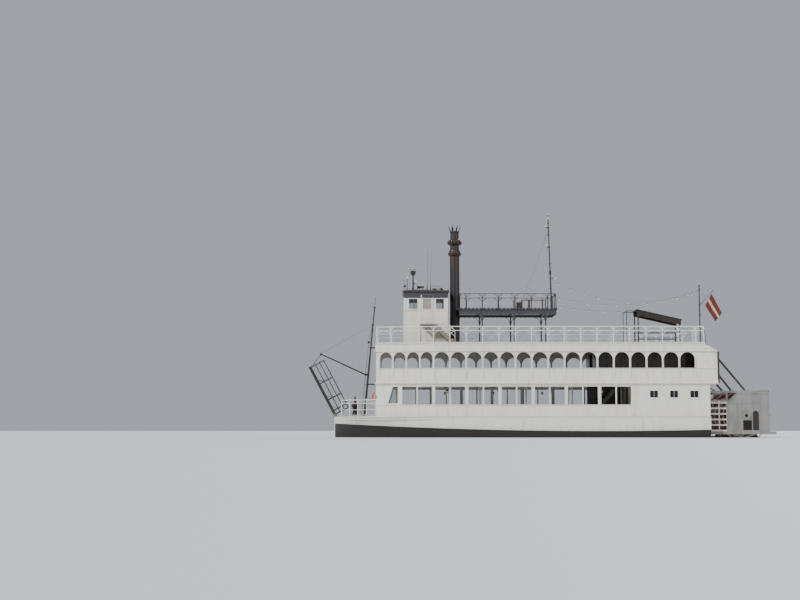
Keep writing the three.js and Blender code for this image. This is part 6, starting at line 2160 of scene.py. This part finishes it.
@dataclass
class Foredeck:
    """Gear on the foredeck: derrick mast, boom, tackle, landing stage, capstan and rails."""

    heel: Point = (10.8, 0.0, 4.42)
    boom_length: float = 3.49
    boom_rise_deg: float = 24.7
    pivot: Point = (12.97, 0.0, 1.6)
    stage_length: float = 3.79
    stage_rise_deg: float = 62.0

    def mast_x(self, z: float) -> float:
        """Place of the raked derrick mast at a height."""
        return 10.886 - 0.0913 * (z - 1.45)

    def raised(self, origin: Point, rise_deg: float, points: Array) -> Array:
        """Points drawn along a level piece, turned up about its pivot."""
        angle = math.radians(rise_deg)
        c, s = math.cos(angle), math.sin(angle)
        turn = np.array([[c, 0, s], [0, 1, 0], [-s, 0, c]])
        return np.asarray(points, float) @ turn + np.asarray(origin)

    def lifted(self, skin: Skin, origin: Point, rise_deg: float) -> Skin:
        """A skin drawn level, turned up about its pivot."""
        return skin.mapped(self.raised(origin, rise_deg, skin.whole()))

    def build(self) -> None:
        """Makes each piece in place of the frame's plain one."""
        make("derrick_pole", self.derrick(), Finishes.BLACK, replaces="derrick_mast", angle=40)
        make("derrick_boom", self.boom(), Finishes.BLACK, body="boom", replaces="boom", angle=40)
        make("gangway_frame", self.stage_frame(), Finishes.BLACK, body="stage", replaces="landing_stage",
             angle=40)
        make("gangway_boards", self.stage_boards(), Finishes.TREAD, body="stage", bevel=0.003)
        make("capstan_drum", self.capstan(), Finishes.BLACK, body="capstan", replaces="capstan", angle=35)
        for side, rail in (("port", self.rails()), ("starboard", self.rails().mirrored())):
            make(f"foredeck_rails_{side}", rail, Finishes.RAIL, replaces=f"foredeck_rail_{side}", angle=40)
        self.tackle()

    def derrick(self) -> Skin:
        """The raked pole with bands, brackets to the decks, heel cheeks and a light forestay."""
        z = np.concatenate([np.linspace(1.458, 9.2, 22), [9.26, 9.9]])
        path = points_at(self.mast_x(z), 0, z)
        pole = tube(path, np.concatenate([np.linspace(0.085, 0.042, 22), [0.016, 0.012]]), 20)
        bands = [turned([(0.07, -0.05), (0.10, -0.035), (0.10, 0.035), (0.07, 0.05)], (self.mast_x(h), 0, h),
                        20) for h in (3.735, 4.42, 6.325, 7.96, 9.2)]
        brackets = beams([[10.0503, 0, 3.735], [10.0503, 0, 6.325]],
                         [[self.mast_x(3.735), 0, 3.735], [self.mast_x(6.325), 0, 6.325]], 0.1, 0.09)
        cheeks = boxes([10.62, 0.0503, 4.35], [10.87, 0.08, 4.49]).both()
        block = boxes([10.615, -0.07, 4.35], [10.715, 0.07, 4.49])
        pin = rods([10.8, -0.1, 4.42], [10.8, 0.1, 4.42], 0.02, sides=12)
        foot = turned([(0.16, PLAN.main_deck + GAP), (0.16, 1.475), (0.11, 1.49), (0.09, 1.60)],
                      (10.886, 0, 0), 24)
        truck = ball((self.mast_x(9.88), 0, 9.88), 0.03, 12)
        stay = tube([[11.10, 0.14, 1.5], [10.58, 0.08, 6.75], [10.32, 0.02, 7.96]], 0.016, 8)
        sheave = turned([(0.05, -0.03), (0.09, -0.02), (0.09, 0.02), (0.05, 0.03)], (10.58, 0.08, 6.72), 16,
                        axis=(0, 1, 0))
        return Skin().join(pole, *bands, brackets, cheeks, block, pin, foot, truck, stay, sheave)

    def boom(self) -> Skin:
        """The tapering boom with a forked heel, bands, a head block and its sheave."""
        spar = tube([[0.1, 0, 0], [self.boom_length / 2, 0, 0], [self.boom_length, 0, 0]],
                    [0.056, 0.052, 0.042], 20)
        angle = np.linspace(np.pi / 2, 3 * np.pi / 2, 11)
        end = on_circle(angle, 0.045)
        hole = on_circle(np.arange(16) * np.pi / 8, 0.027)
        heel = pierced(np.concatenate([end, [[0.16, -0.045], [0.16, 0.045]]]), upright(0.05), 0.0, 0.1,
                       holes=[hole])
        bands = [turned([(0.05, -0.03), (0.068, -0.02), (0.068, 0.02), (0.05, 0.03)], (x, 0, 0), 16,
                        axis=(1, 0, 0)) for x in (0.3, 1.7, 3.2)]
        cheeks = boxes([[3.43, -0.058, -0.06], [3.43, 0.04, -0.06]],
                       [[3.56, -0.04, 0.06], [3.56, 0.058, 0.06]])
        sheave = turned([(0.05, -0.035), (0.03, -0.01), (0.03, 0.01), (0.05, 0.035)], (3.5, 0, 0), 16,
                        axis=(0, 1, 0))
        return self.lifted(Skin().join(spar, heel, *bands, cheeks, sheave), self.heel, self.boom_rise_deg)

    def stage_frame(self) -> Skin:
        """Stringers as channels, cross members, handrails in three lines, braces and the tip roller."""
        length = self.stage_length
        y = 0.53
        angle = np.arange(16) * np.pi / 8
        hole = on_circle(angle, 0.034)
        web = pierced(rectangle(-0.06, -0.08, length, 0.08), upright(0.56), 0.0, 0.02, holes=[hole])
        flanges = boxes([[0.05, 0.5, -0.08], [0.05, 0.5, 0.066]],
                        [[length, 0.56, -0.066], [length, 0.56, 0.08]])
        x = np.array([0.30, 1.145, 2.43, length - 0.03])
        posts = rods(points_at(x, y, 0.06), points_at(x, y, 1.08), 0.024, sides=10)
        rails = [tube([[0.02, y, z], [length, y, z]], r, 10) for z,
                 r in ((0.42, 0.018), (0.755, 0.018), (1.08, 0.026))]
        lead = tube([[0.02, y, 1.08], [0.0, y, 0.9], [0.02, y, 0.08]], 0.024, 10)
        knees = rods(points_at(x[:3] + 0.3, y, 0.08), points_at(x[:3], y, 0.42), 0.012)
        side = Skin().join(web, flanges, posts, *rails, lead, knees).both()
        cross_x = np.array([0.3, 1.145, 1.8, 2.43, 3.1, length - 0.06])
        members = boxes(points_at(cross_x - 0.025, -0.5, -0.07),
                        points_at(cross_x + 0.025, 0.5, 0.01))
        roller = rods([length - 0.04, -0.5, -0.06], [length - 0.04, 0.5, -0.06], 0.03, sides=14)
        return self.lifted(Skin().join(side, members, roller), self.pivot, self.stage_rise_deg)

    def stage_boards(self) -> Skin:
        """Cross boards with gaps, and a cleat on every third one."""
        x = np.arange(0.07, self.stage_length - 0.16, 0.165)
        low = points_at(x, -0.498, 0.012)
        boards = boxes(low, low + [0.15, 0.996, 0.038])
        cleats = boxes(low[::3] + [0.05, 0.05, 0.038], low[::3] + [0.09, 0.946, 0.05])
        return self.lifted(Skin().join(boards, cleats), self.pivot, self.stage_rise_deg)

    def capstan(self) -> Skin:
        """The waisted drum with whelps, bar sockets in its head and a pointed spindle."""
        profile = [(0.23, 0), (0.235, 0.02), (0.235, 0.06), (0.19, 0.10), (0.155, 0.19), (0.138, 0.34),
                   (0.142, 0.48), (0.17, 0.60), (0.225, 0.67), (0.235, 0.70), (0.235, 0.77), (0.20, 0.80),
                   (0.125, 0.87), (0.10, 0.95), (0.085, 1.05), (0.07, 1.18), (0.045, 1.30), (0.01, 1.45)]
        drum = turned([(r, z + CAPSTAN_FOOT) for r, z in profile], (CAPSTAN_X, 0, 0), 40)
        angle = np.arange(6) * np.pi / 3
        whelp = pierced(np.array([[0.14, 0.10], [0.205, 0.10], [0.165, 0.22], [0.155, 0.40], [0.175, 0.55],
                                  [0.215, 0.62], [0.14, 0.62]]), upright(0.02, CAPSTAN_FOOT), 0.0, 0.04)
        whelps = copies(whelp, np.tile([[CAPSTAN_X, 0, 0]], (6, 1)), turns_about(2, angle))
        socket = boxes([0.215, -0.03, 2.225], [0.24, 0.03, 2.285])
        sockets = copies(socket, np.tile([[CAPSTAN_X, 0, 0]], (6, 1)), turns_about(2, angle + np.pi / 6))
        return Skin().join(drum, whelps, sockets)

    def rails(self) -> Skin:
        """The port rail: round posts with ball finials, two pipe rails, a toe plate and a raked brace."""
        corners = np.array([[10.06, 3.24], [11.30, 2.46], [12.45, 1.37]])
        inward = np.array([-0.015, -0.02])
        legs = corners + inward
        starts = np.concatenate([legs[:1], (legs[:1] + legs[1:2]) / 2, legs[1:2], (legs[1:2] + legs[2:]) / 2,
                                 legs[2:]])
        foot = at_height(starts, PLAN.main_deck + GAP)
        posts = rods(foot, foot + [0, 0, 1.15], 0.026, sides=12)
        balls = copies(ball((0, 0, 2.62), 0.042, 12), foot * [1, 1, 0])
        plates = copies(turned([(0.06, PLAN.main_deck + GAP), (0.06, 1.462), (0.03, 1.47)], (0, 0, 0), 16),
                        foot * [1, 1, 0])
        lines = []
        for z, r in ((2.345, 0.018), (2.575, 0.026), (1.90, 0.016), (1.53, 0.016)):
            line = at_height(legs, z)
            lines += [tube(line[:2], r, 10), tube(line[1:], r, 10)]
        return Skin().join(posts, balls, plates, *lines)

    def tackle(self) -> None:
        """The topping lift, the block and hook at the boom's head, and the bridle on the stage's tip."""
        head = self.raised(self.heel, self.boom_rise_deg, [[3.5, 0, 0.07]])[0]
        high = np.array([self.mast_x(7.96), 0, 7.96])
        t = np.linspace(0, 1, 25)[:, None]
        line = high * (1 - t) + head * t
        lift = make("topping_lift", tube(line, 0.011, 8, uv=True), Finishes.WIRE, body="")
        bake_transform(lift)
        tips = self.raised(self.pivot, self.stage_rise_deg, [[3.76, 0.50, 0.07], [3.76, -0.50, 0.07]])
        block = self.raised(self.heel, self.boom_rise_deg, [[3.52, 0, -0.09]])[0]
        fall = unit(tips.mean(axis=0) - block)
        eye = block + 0.15 * fall
        sheaves = turned([(0.03, -0.055), (0.05, -0.04), (0.05, 0.02), (0.025, 0.055)], tuple(block), 12)
        hook = tube(np.stack([block + 0.03 * fall, block + 0.10 * fall, eye + 0.012 * fall,
                              eye + [0.03, 0, 0.0]]), 0.012, 8)
        make("falls_block", sheaves.join(hook), Finishes.IRON, body="boom")
        legs = Skin().join(ring(tuple(eye), (0, 1, 0), 0.035, 0.009, 16, 8),
                           *[rods(eye, tip, 0.012) for tip in tips])
        make("stage_bridle", legs, Finishes.IRON, body="stage")


@dataclass
class AftPole:
    """The pole at the port quarter with its staff, halyard and flag."""

    x: float = -12.15
    y: float = 3.76
    halyard_top: tuple[float, float] = (-13.1, 10.01)
    halyard_foot: tuple[float, float] = (-12.15, 8.36)
    flag_flat: tuple[float, float] = (0.92, 1.42)

    def build(self) -> None:
        """Makes the pole and the flag in place of the frame's."""
        make("quarter_pole", self.pole(), Finishes.BLACK, replaces="aft_pole", angle=40)
        line = np.array([[x, self.y, z] for x, z in (self.halyard_top, self.halyard_foot)])
        make("flag_halyard", tube(line, 0.005, 6, uv=True), Finishes.ROPE)
        flag = make("ensign", self.flag(), Finishes.FLAG, replaces="flag", angle=180)
        thick = flag.modifiers.new("cloth thickness", "SOLIDIFY")
        thick.thickness = 0.002
        thick.offset = 0

    def pole(self) -> Skin:
        """The tapered pole, its foot, collars, staff, lamp bracket and the strings' eyes."""
        shaft = turned([(0.09, 6.4023), (0.09, 6.42), (0.055, 6.45), (0.045, 6.55), (0.037, 10.33),
                        (0.06, 10.34), (0.06, 10.38), (0.03, 10.41), (0.01, 10.42)], (self.x, self.y, 0), 24)
        staff = tube([[self.x, self.y, 9.0], [-12.6, self.y, 9.49], [-13.11, self.y, 10.03]],
                     [0.022, 0.02, 0.016], 12)
        truck = ball((-13.11, self.y, 10.04), 0.028, 10)
        collars = [turned([(0.04, h - 0.05), (0.062, h - 0.035), (0.062, h + 0.035), (0.04, h + 0.05)],
                          (self.x, self.y, 0), 16) for h in (7.55, 9.0, 10.1)]
        cleat = rods([self.x - 0.05, self.y, 8.28], [self.x - 0.05, self.y, 8.44], 0.012)
        eyes = [rods(string.path()[-1], string.eyes()[1], 0.008) for string in LIGHT_STRINGS[:2]]
        return Skin().join(shaft, staff, truck, *collars, cleat, *eyes)

    def flag(self) -> Skin:
        """The flag's surface, hung from the halyard and blown aft.

        The four corners are mixed evenly for the rest place. Waves run from the hoist to the
        fly and grow towards the fly, and each edge sags a little between its corners.

        Returns:
            The skin, with texture places from corner to corner.
        """
        down = unit(np.array([self.halyard_foot[0] - self.halyard_top[0],
                              self.halyard_foot[1] - self.halyard_top[1]]))
        aside = np.array([down[1], -down[0]]) * 0.012
        hoist = [np.asarray(self.halyard_top) + down * s + aside for s in (0.23, 1.15)]
        fly = [np.array([-13.67, 8.49]), np.array([-13.22, 7.91])]
        u = np.linspace(0, 1, 41)[:, None, None]
        v = np.linspace(0, 1, 27)[None, :, None]
        flat = (1 - u) * ((1 - v) * hoist[0] + v * hoist[1]) + u * ((1 - v) * fly[0] + v * fly[1])
        swing = np.sin(2 * np.pi * (1.35 * u + 0.35 * v)) * (0.004 + 0.036 * u) + 0.012 * np.sin(2 * np.pi
                                                                                                 * (2.6 * u
                                                                                                    - 0.8
                                                                                                    * v)) * u
        sag = 0.03 * np.sin(np.pi * u) * (v - 0.3)
        points = np.concatenate([flat[..., :1], self.y + swing, flat[..., 1:] - sag], axis=2)
        places = np.stack(np.broadcast_arrays(u[..., 0], v[..., 0]), axis=2)
        return grid(points, wrap=False, caps=False, uv=places)


@dataclass
class WheelFrames:
    """The frames beside the wheel: plates with hatches, rivets, bearings, slats and guards."""

    shaft_x: float = -15.35
    shaft_z: float = 1.5
    face: float = 3.04

    def build(self) -> None:
        """Dresses the frames and adds their details on both sides."""
        dress(Finishes.FRAME, "wheel_frame_port", "wheel_frame_starboard")
        make("frame_details", self.details().both(), Finishes.FRAME, bevel=0.003)
        make("frame_rivets", self.rivets().both(), Finishes.FRAME)
        make("frame_slats", self.slats().both(), Finishes.SLAT, bevel=0.004)
        # The hatch's louvred door, its backing plate and the arched door are black as painted shade of dark
        # openings.
        make("frame_hatch_doors", self.hatch().both(), Finishes.BLACK, bevel=0.003)
        make("frame_struts", self.struts().both(), Finishes.STRUT, bevel=0.006)

    def struts(self) -> Skin:
        """Timber casings round the raked braces, and fender posts up the stern's corners."""
        starts = [[-13.262, 3.0, 5.708], [-13.24, 3.0, 4.641]]
        braces = beams(starts, [[-15.296, 3.0, 3.24], [-14.33, 3.0, 3.24]], 0.122, 0.122)
        feet = boxes([-13.36, 3.92, 3.70], [-13.252, 4.02, 5.83])
        knee = tube([[-12.70, 3.0, 3.60], [-12.86, 3.0, 3.42], [-13.04, 3.0, 3.30], [-13.26, 3.0, 3.19]],
                    0.04, 8)
        return Skin().join(braces, feet, knee)

    def details(self) -> Skin:
        """Angle bars round the plate, a hatch coaming, a bearing flange with bolts and brace feet."""
        plane = upright(self.face)
        corner = np.array([[-14.75, 3.06], [-14.83, 3.06], [-14.18, 2.47], [-14.1, 2.5]])
        bars = [rectangle(-16.95, 0.42, -16.89, 3.06), rectangle(-14.16, 0.42, -14.1, 2.49),
                rectangle(-16.89, 2.98, -14.79, 3.06), rectangle(-16.89, 0.42, -14.16, 0.50),
                rectangle(-16.35, 0.50, -16.29, 2.98), rectangle(-16.29, 2.3, -14.16, 2.35),
                rectangle(-14.82, 0.50, -14.77, 2.3), corner]
        strips = [pierced(bar, plane, -0.02, 0.0) for bar in bars]
        coaming = window(rectangle(-15.74, 0.47, -15.12, 1.18), plane, 0.0, -1, 0.05, 0.03)
        angle = np.arange(32) * np.pi / 16
        circle = on_circle(angle)
        centre = np.array([self.shaft_x, self.shaft_z])
        flange = pierced(centre + 0.31 * circle, upright(3.105), 0.0, 0.026, holes=[centre + 0.108 * circle])
        around = np.arange(8) * np.pi / 4 + 0.2
        bolt = turned([(0.022, 0.0), (0.022, 0.022), (0.012, 0.03)], (0, 3.105, 0), 6, axis=(0, 1, 0))
        spots = points_at(self.shaft_x + 0.255 * np.cos(around), 0, self.shaft_z + 0.255 * np.sin(around))
        feet = boxes([[-15.56, 2.92, 3.2], [-14.59, 2.92, 3.2]],
                     [[-15.16, 3.08, 3.235], [-14.19, 3.08, 3.235]])
        walk = boxes([-16.95, 2.90, 3.2], [-16.2, 3.10, 3.22])
        lip = boxes([-17.4, 3.06, 0.38], [-12.72, 3.075, 0.42])
        return Skin().join(*strips, coaming, flange, copies(bolt, spots), feet, walk, lip)

    def rivets(self) -> Skin:
        """Rivets at an even pitch along the plate's edges."""
        rivet = turned([(0.016, 0.0), (0.013, 0.008), (0.005, 0.012)], (0, 0, 0), 6, axis=(0, 1, 0))
        across = [(-14.2, 0.46), (-14.9, 3.02)]
        rows = [np.array([[a, self.face + 0.02, h] for a in np.arange(-16.85, end, 0.15)]) for end,
                h in across]
        up = [(-16.92, 2.95), (-14.13, 2.45), (-16.32, 2.95)]
        columns = [np.array([[a, self.face + 0.02, h] for h in np.arange(0.55, end, 0.15)]) for a, end in up]
        return copies(rivet, np.concatenate(rows + columns))

    def slats(self) -> Skin:
        """White boards over the frame's slats, with eased ends."""
        z = 0.42 + 0.38 * np.arange(6)
        low = points_at(-14.04, 3.03, z + 0.004)
        return boxes(low, low + [1.29, 0.022, 0.102]).join(boxes([-13.535, 3.03, 0.43],
                                                                 [-13.465, 3.05, 2.55]))

    def hatch(self) -> Skin:
        """A louvred door that closes the hatch, with a backing plate, and the arched door of a locker abaft
        it: black panels that are painted shade for the dark open hatch and a dark recess.
        """
        z = np.arange(0.50, 1.14, 0.07)
        slats = beams(points_at(-15.73, 3.0, z), points_at(-15.13, 3.0, z), 0.05, 0.012, up=(0, 0.6, 1))
        frame_edge = casing(rectangle(-15.69, 0.52, -15.17, 1.13), 0.045, upright(3.025), 0.0, 0.04)
        # A black sheet behind the louvres: painted shade inside the hatch.
        back = boxes([-15.735, 2.965, 0.475], [-15.125, 2.975, 1.175])
        arched = pierced(archway(-16.17, -15.83, 0.53, 1.80), upright(self.face), -0.014, 0.0)
        rim = casing(archway(-16.17, -15.83, 0.53, 1.80), 0.03, upright(self.face), -0.03, 0.0)
        return Skin().join(slats, frame_edge, back, arched, rim)


@dataclass
class Paddlewheel:
    """The wheel: shaft, hubs, spokes, pale rims, red boards and their bolts."""

    centre: Point = (-15.35, 0.0, 1.5)
    spokes: int = 12
    flanges: tuple[float, ...] = (-2.5, 0.0, 2.5)

    def turns(self) -> Array:
        """The spokes' rotations about the shaft."""
        return turns_about(1, np.arange(self.spokes) * 2 * np.pi / self.spokes)

    def around(self, skin: Skin) -> Skin:
        """A skin drawn at the top spoke's place, repeated at every spoke."""
        return copies(skin, np.tile([self.centre], (self.spokes, 1)), self.turns())

    def build(self) -> None:
        """Makes the wheel in place of the frame's."""
        make("wheel_boards", self.boards(), Finishes.WHEEL, body="paddlewheel", replaces="paddlewheel",
             bevel=0.004)
        make("wheel_spokes", self.arms(), Finishes.WHEEL, body="paddlewheel", bevel=0.003)
        make("wheel_rims", self.rims(), Finishes.RIM, body="paddlewheel", angle=25)
        make("wheel_shaft", self.shaft(), Finishes.IRON, body="paddlewheel", angle=40)
        make("wheel_bolts", self.bolts(), Finishes.IRON, body="paddlewheel")

    def boards(self) -> Skin:
        """Each paddle is two planks edge to edge, drawn along +X from the shaft."""
        planks = boxes([[1.43, -2.75, -0.025], [1.593, -2.75, -0.025]],
                       [[1.587, 2.75, 0.025], [1.75, 2.75, 0.025]])
        return self.around(planks)

    def arms(self) -> Skin:
        """Tapered spokes and the short struts between neighbouring spokes, on each flange."""
        rows = []
        for y in self.flanges:
            spoke = np.array([[0.28, -0.05], [1.44, -0.038], [1.44, 0.038], [0.28, 0.05]])
            rows.append(pierced(spoke, upright(y + 0.03), 0.004, 0.056))
        struts = Skin()
        for y in self.flanges:
            a = np.array([0.86, y, 0.0])
            angle = 2 * np.pi / self.spokes
            b = np.array([0.86 * math.cos(angle), y, -0.86 * math.sin(angle)])
            struts.join(beams([a], [b], 0.03, 0.035, up=(0, 1, 0)))
        return self.around(Skin().join(*rows, struts))

    def rims(self) -> Skin:
        """Flat rings at the rim and outside the boards, and clips at each board, in the pale rim paint."""
        rings = []
        inner = [(1.40, -0.03), (1.495, -0.03), (1.495, 0.03), (1.40, 0.03)]
        outer = [(1.708, -0.035), (1.752, -0.035), (1.752, 0.035), (1.708, 0.035)]
        for y, profile in [(y, profile) for y in self.flanges for profile in (inner, outer)]:
            angle = np.arange(72) * 2 * np.pi / 72
            shape = np.array(profile)
            out = points_at(np.cos(angle), 0, np.sin(angle))
            points = out[:, None] * shape[:, :1] + np.array([0, 1, 0]) * shape[:, 1:2]
            rings.append(grid(points + np.asarray(self.centre) + [0, y, 0], loop=True).outward())
        clips = self.around(boxes([[1.40, y - 0.05, 0.025] for y in self.flanges],
                                  [[1.62, y + 0.05, 0.037] for y in self.flanges]))
        return Skin().join(*rings, clips)

    def shaft(self) -> Skin:
        """The shaft, its collars and a hub with a raised ring on each flange."""
        x, _, z = self.centre
        bar = turned([(0.08, -3.15), (0.09, -3.14), (0.09, 3.14), (0.08, 3.15)], (x, 0, z), 32,
                     axis=(0, 1, 0))
        collar = turned([(0.16, 2.86), (0.19, 2.875), (0.19, 2.9197)], (x, 0, z), 32, axis=(0, 1, 0))
        hubs = [turned([(0.20, y - 0.07), (0.22, y - 0.065), (0.22, y - 0.036), (0.32, y - 0.03),
                        (0.32, y + 0.03), (0.22, y + 0.036), (0.22, y + 0.065), (0.20, y + 0.07)], (x, 0, z),
                       36, axis=(0, 1, 0)) for y in self.flanges]
        return Skin().join(bar, collar.both(), *hubs)

    def bolts(self) -> Skin:
        """Bolt heads at the hubs, the rims and through the boards."""
        head = boxes([-0.014, -0.014, 0], [0.014, 0.014, 0.012])
        flat = copies(head, [[r, y, 0.025] for y in self.flanges for r in (1.52, 1.66)])
        side = boxes([[r - 0.014, y + s * 0.036 - 0.01, -0.014] for y in self.flanges for s in (-1, 1)
                      for r in (0.29, 1.45)],
                     [[r + 0.014, y + s * 0.036 + 0.01, 0.014] for y in self.flanges for s in (-1, 1)
                      for r in (0.29, 1.45)])
        return self.around(Skin().join(flat, side))


@dataclass
class Rudders:
    """The two rudders: a round stock, a faired blade and straps."""

    x: float = -12.98
    y: float = 2.0

    def build(self) -> None:
        """Makes each rudder in place of the frame's."""
        for side, name in ((1, "rudder_port"), (-1, "rudder_starboard")):
            make(name + "_blade", self.blade(side * self.y), Finishes.BOTTOM, body=name, replaces=name,
                 angle=30)

    def blade(self, y: float) -> Skin:
        """The blade's plan is a symmetric foil: thickness as the root of the chord less its share.

        Args:
            y: place across the boat.

        Returns:
            The skin of stock, blade and straps.
        """
        t = (1 - np.cos(np.linspace(0, np.pi, 15))) / 2
        half = 0.024 * (2.6 * np.sqrt(t) * (1 - t) + 0.12 * (1 - t))
        half = half / half.max() * 0.025
        chord = 0.15 - 0.91 * t
        plan = np.concatenate([points_at(chord, half), points_at(chord, -half)[-2:0:-1]])
        z = np.array([-1.0, -0.45, 0.1])
        points = points_at(np.broadcast_to(plan[:, 0], (3, len(plan))),
                           np.broadcast_to(plan[:, 1], (3, len(plan))),
                           np.broadcast_to(z[:, None], (3, len(plan)))) + [self.x, y, 0]
        stock = turned([(0.045, -1.03), (0.045, 0.2997)], (self.x, y, 0), 20)
        straps = boxes([[self.x - 0.5, y - 0.032, h] for h in (-0.8, -0.1)],
                       [[self.x + 0.05, y + 0.032, h + 0.05] for h in (-0.8, -0.1)])
        return Skin().join(grid(points).outward(), stock, straps)


def main() -> None:
    """Builds the studio and every sub-assembly in order."""
    logging.basicConfig(level=logging.INFO, format="%(message)s")
    Studio().build()
    for string in LIGHT_STRINGS:
        string.build()
    for assembly in (Hull(), MainDeck(), SecondDeck(), TopDeck(), Pilothouse(), Smokestack(), Gallery(),
                     MainMast(), Foredeck(), AftPole(), WheelFrames(), Paddlewheel(), Rudders()):
        LOG.info("building %s", type(assembly).__name__)
        assembly.build()


if __name__ == "__main__":
    main()
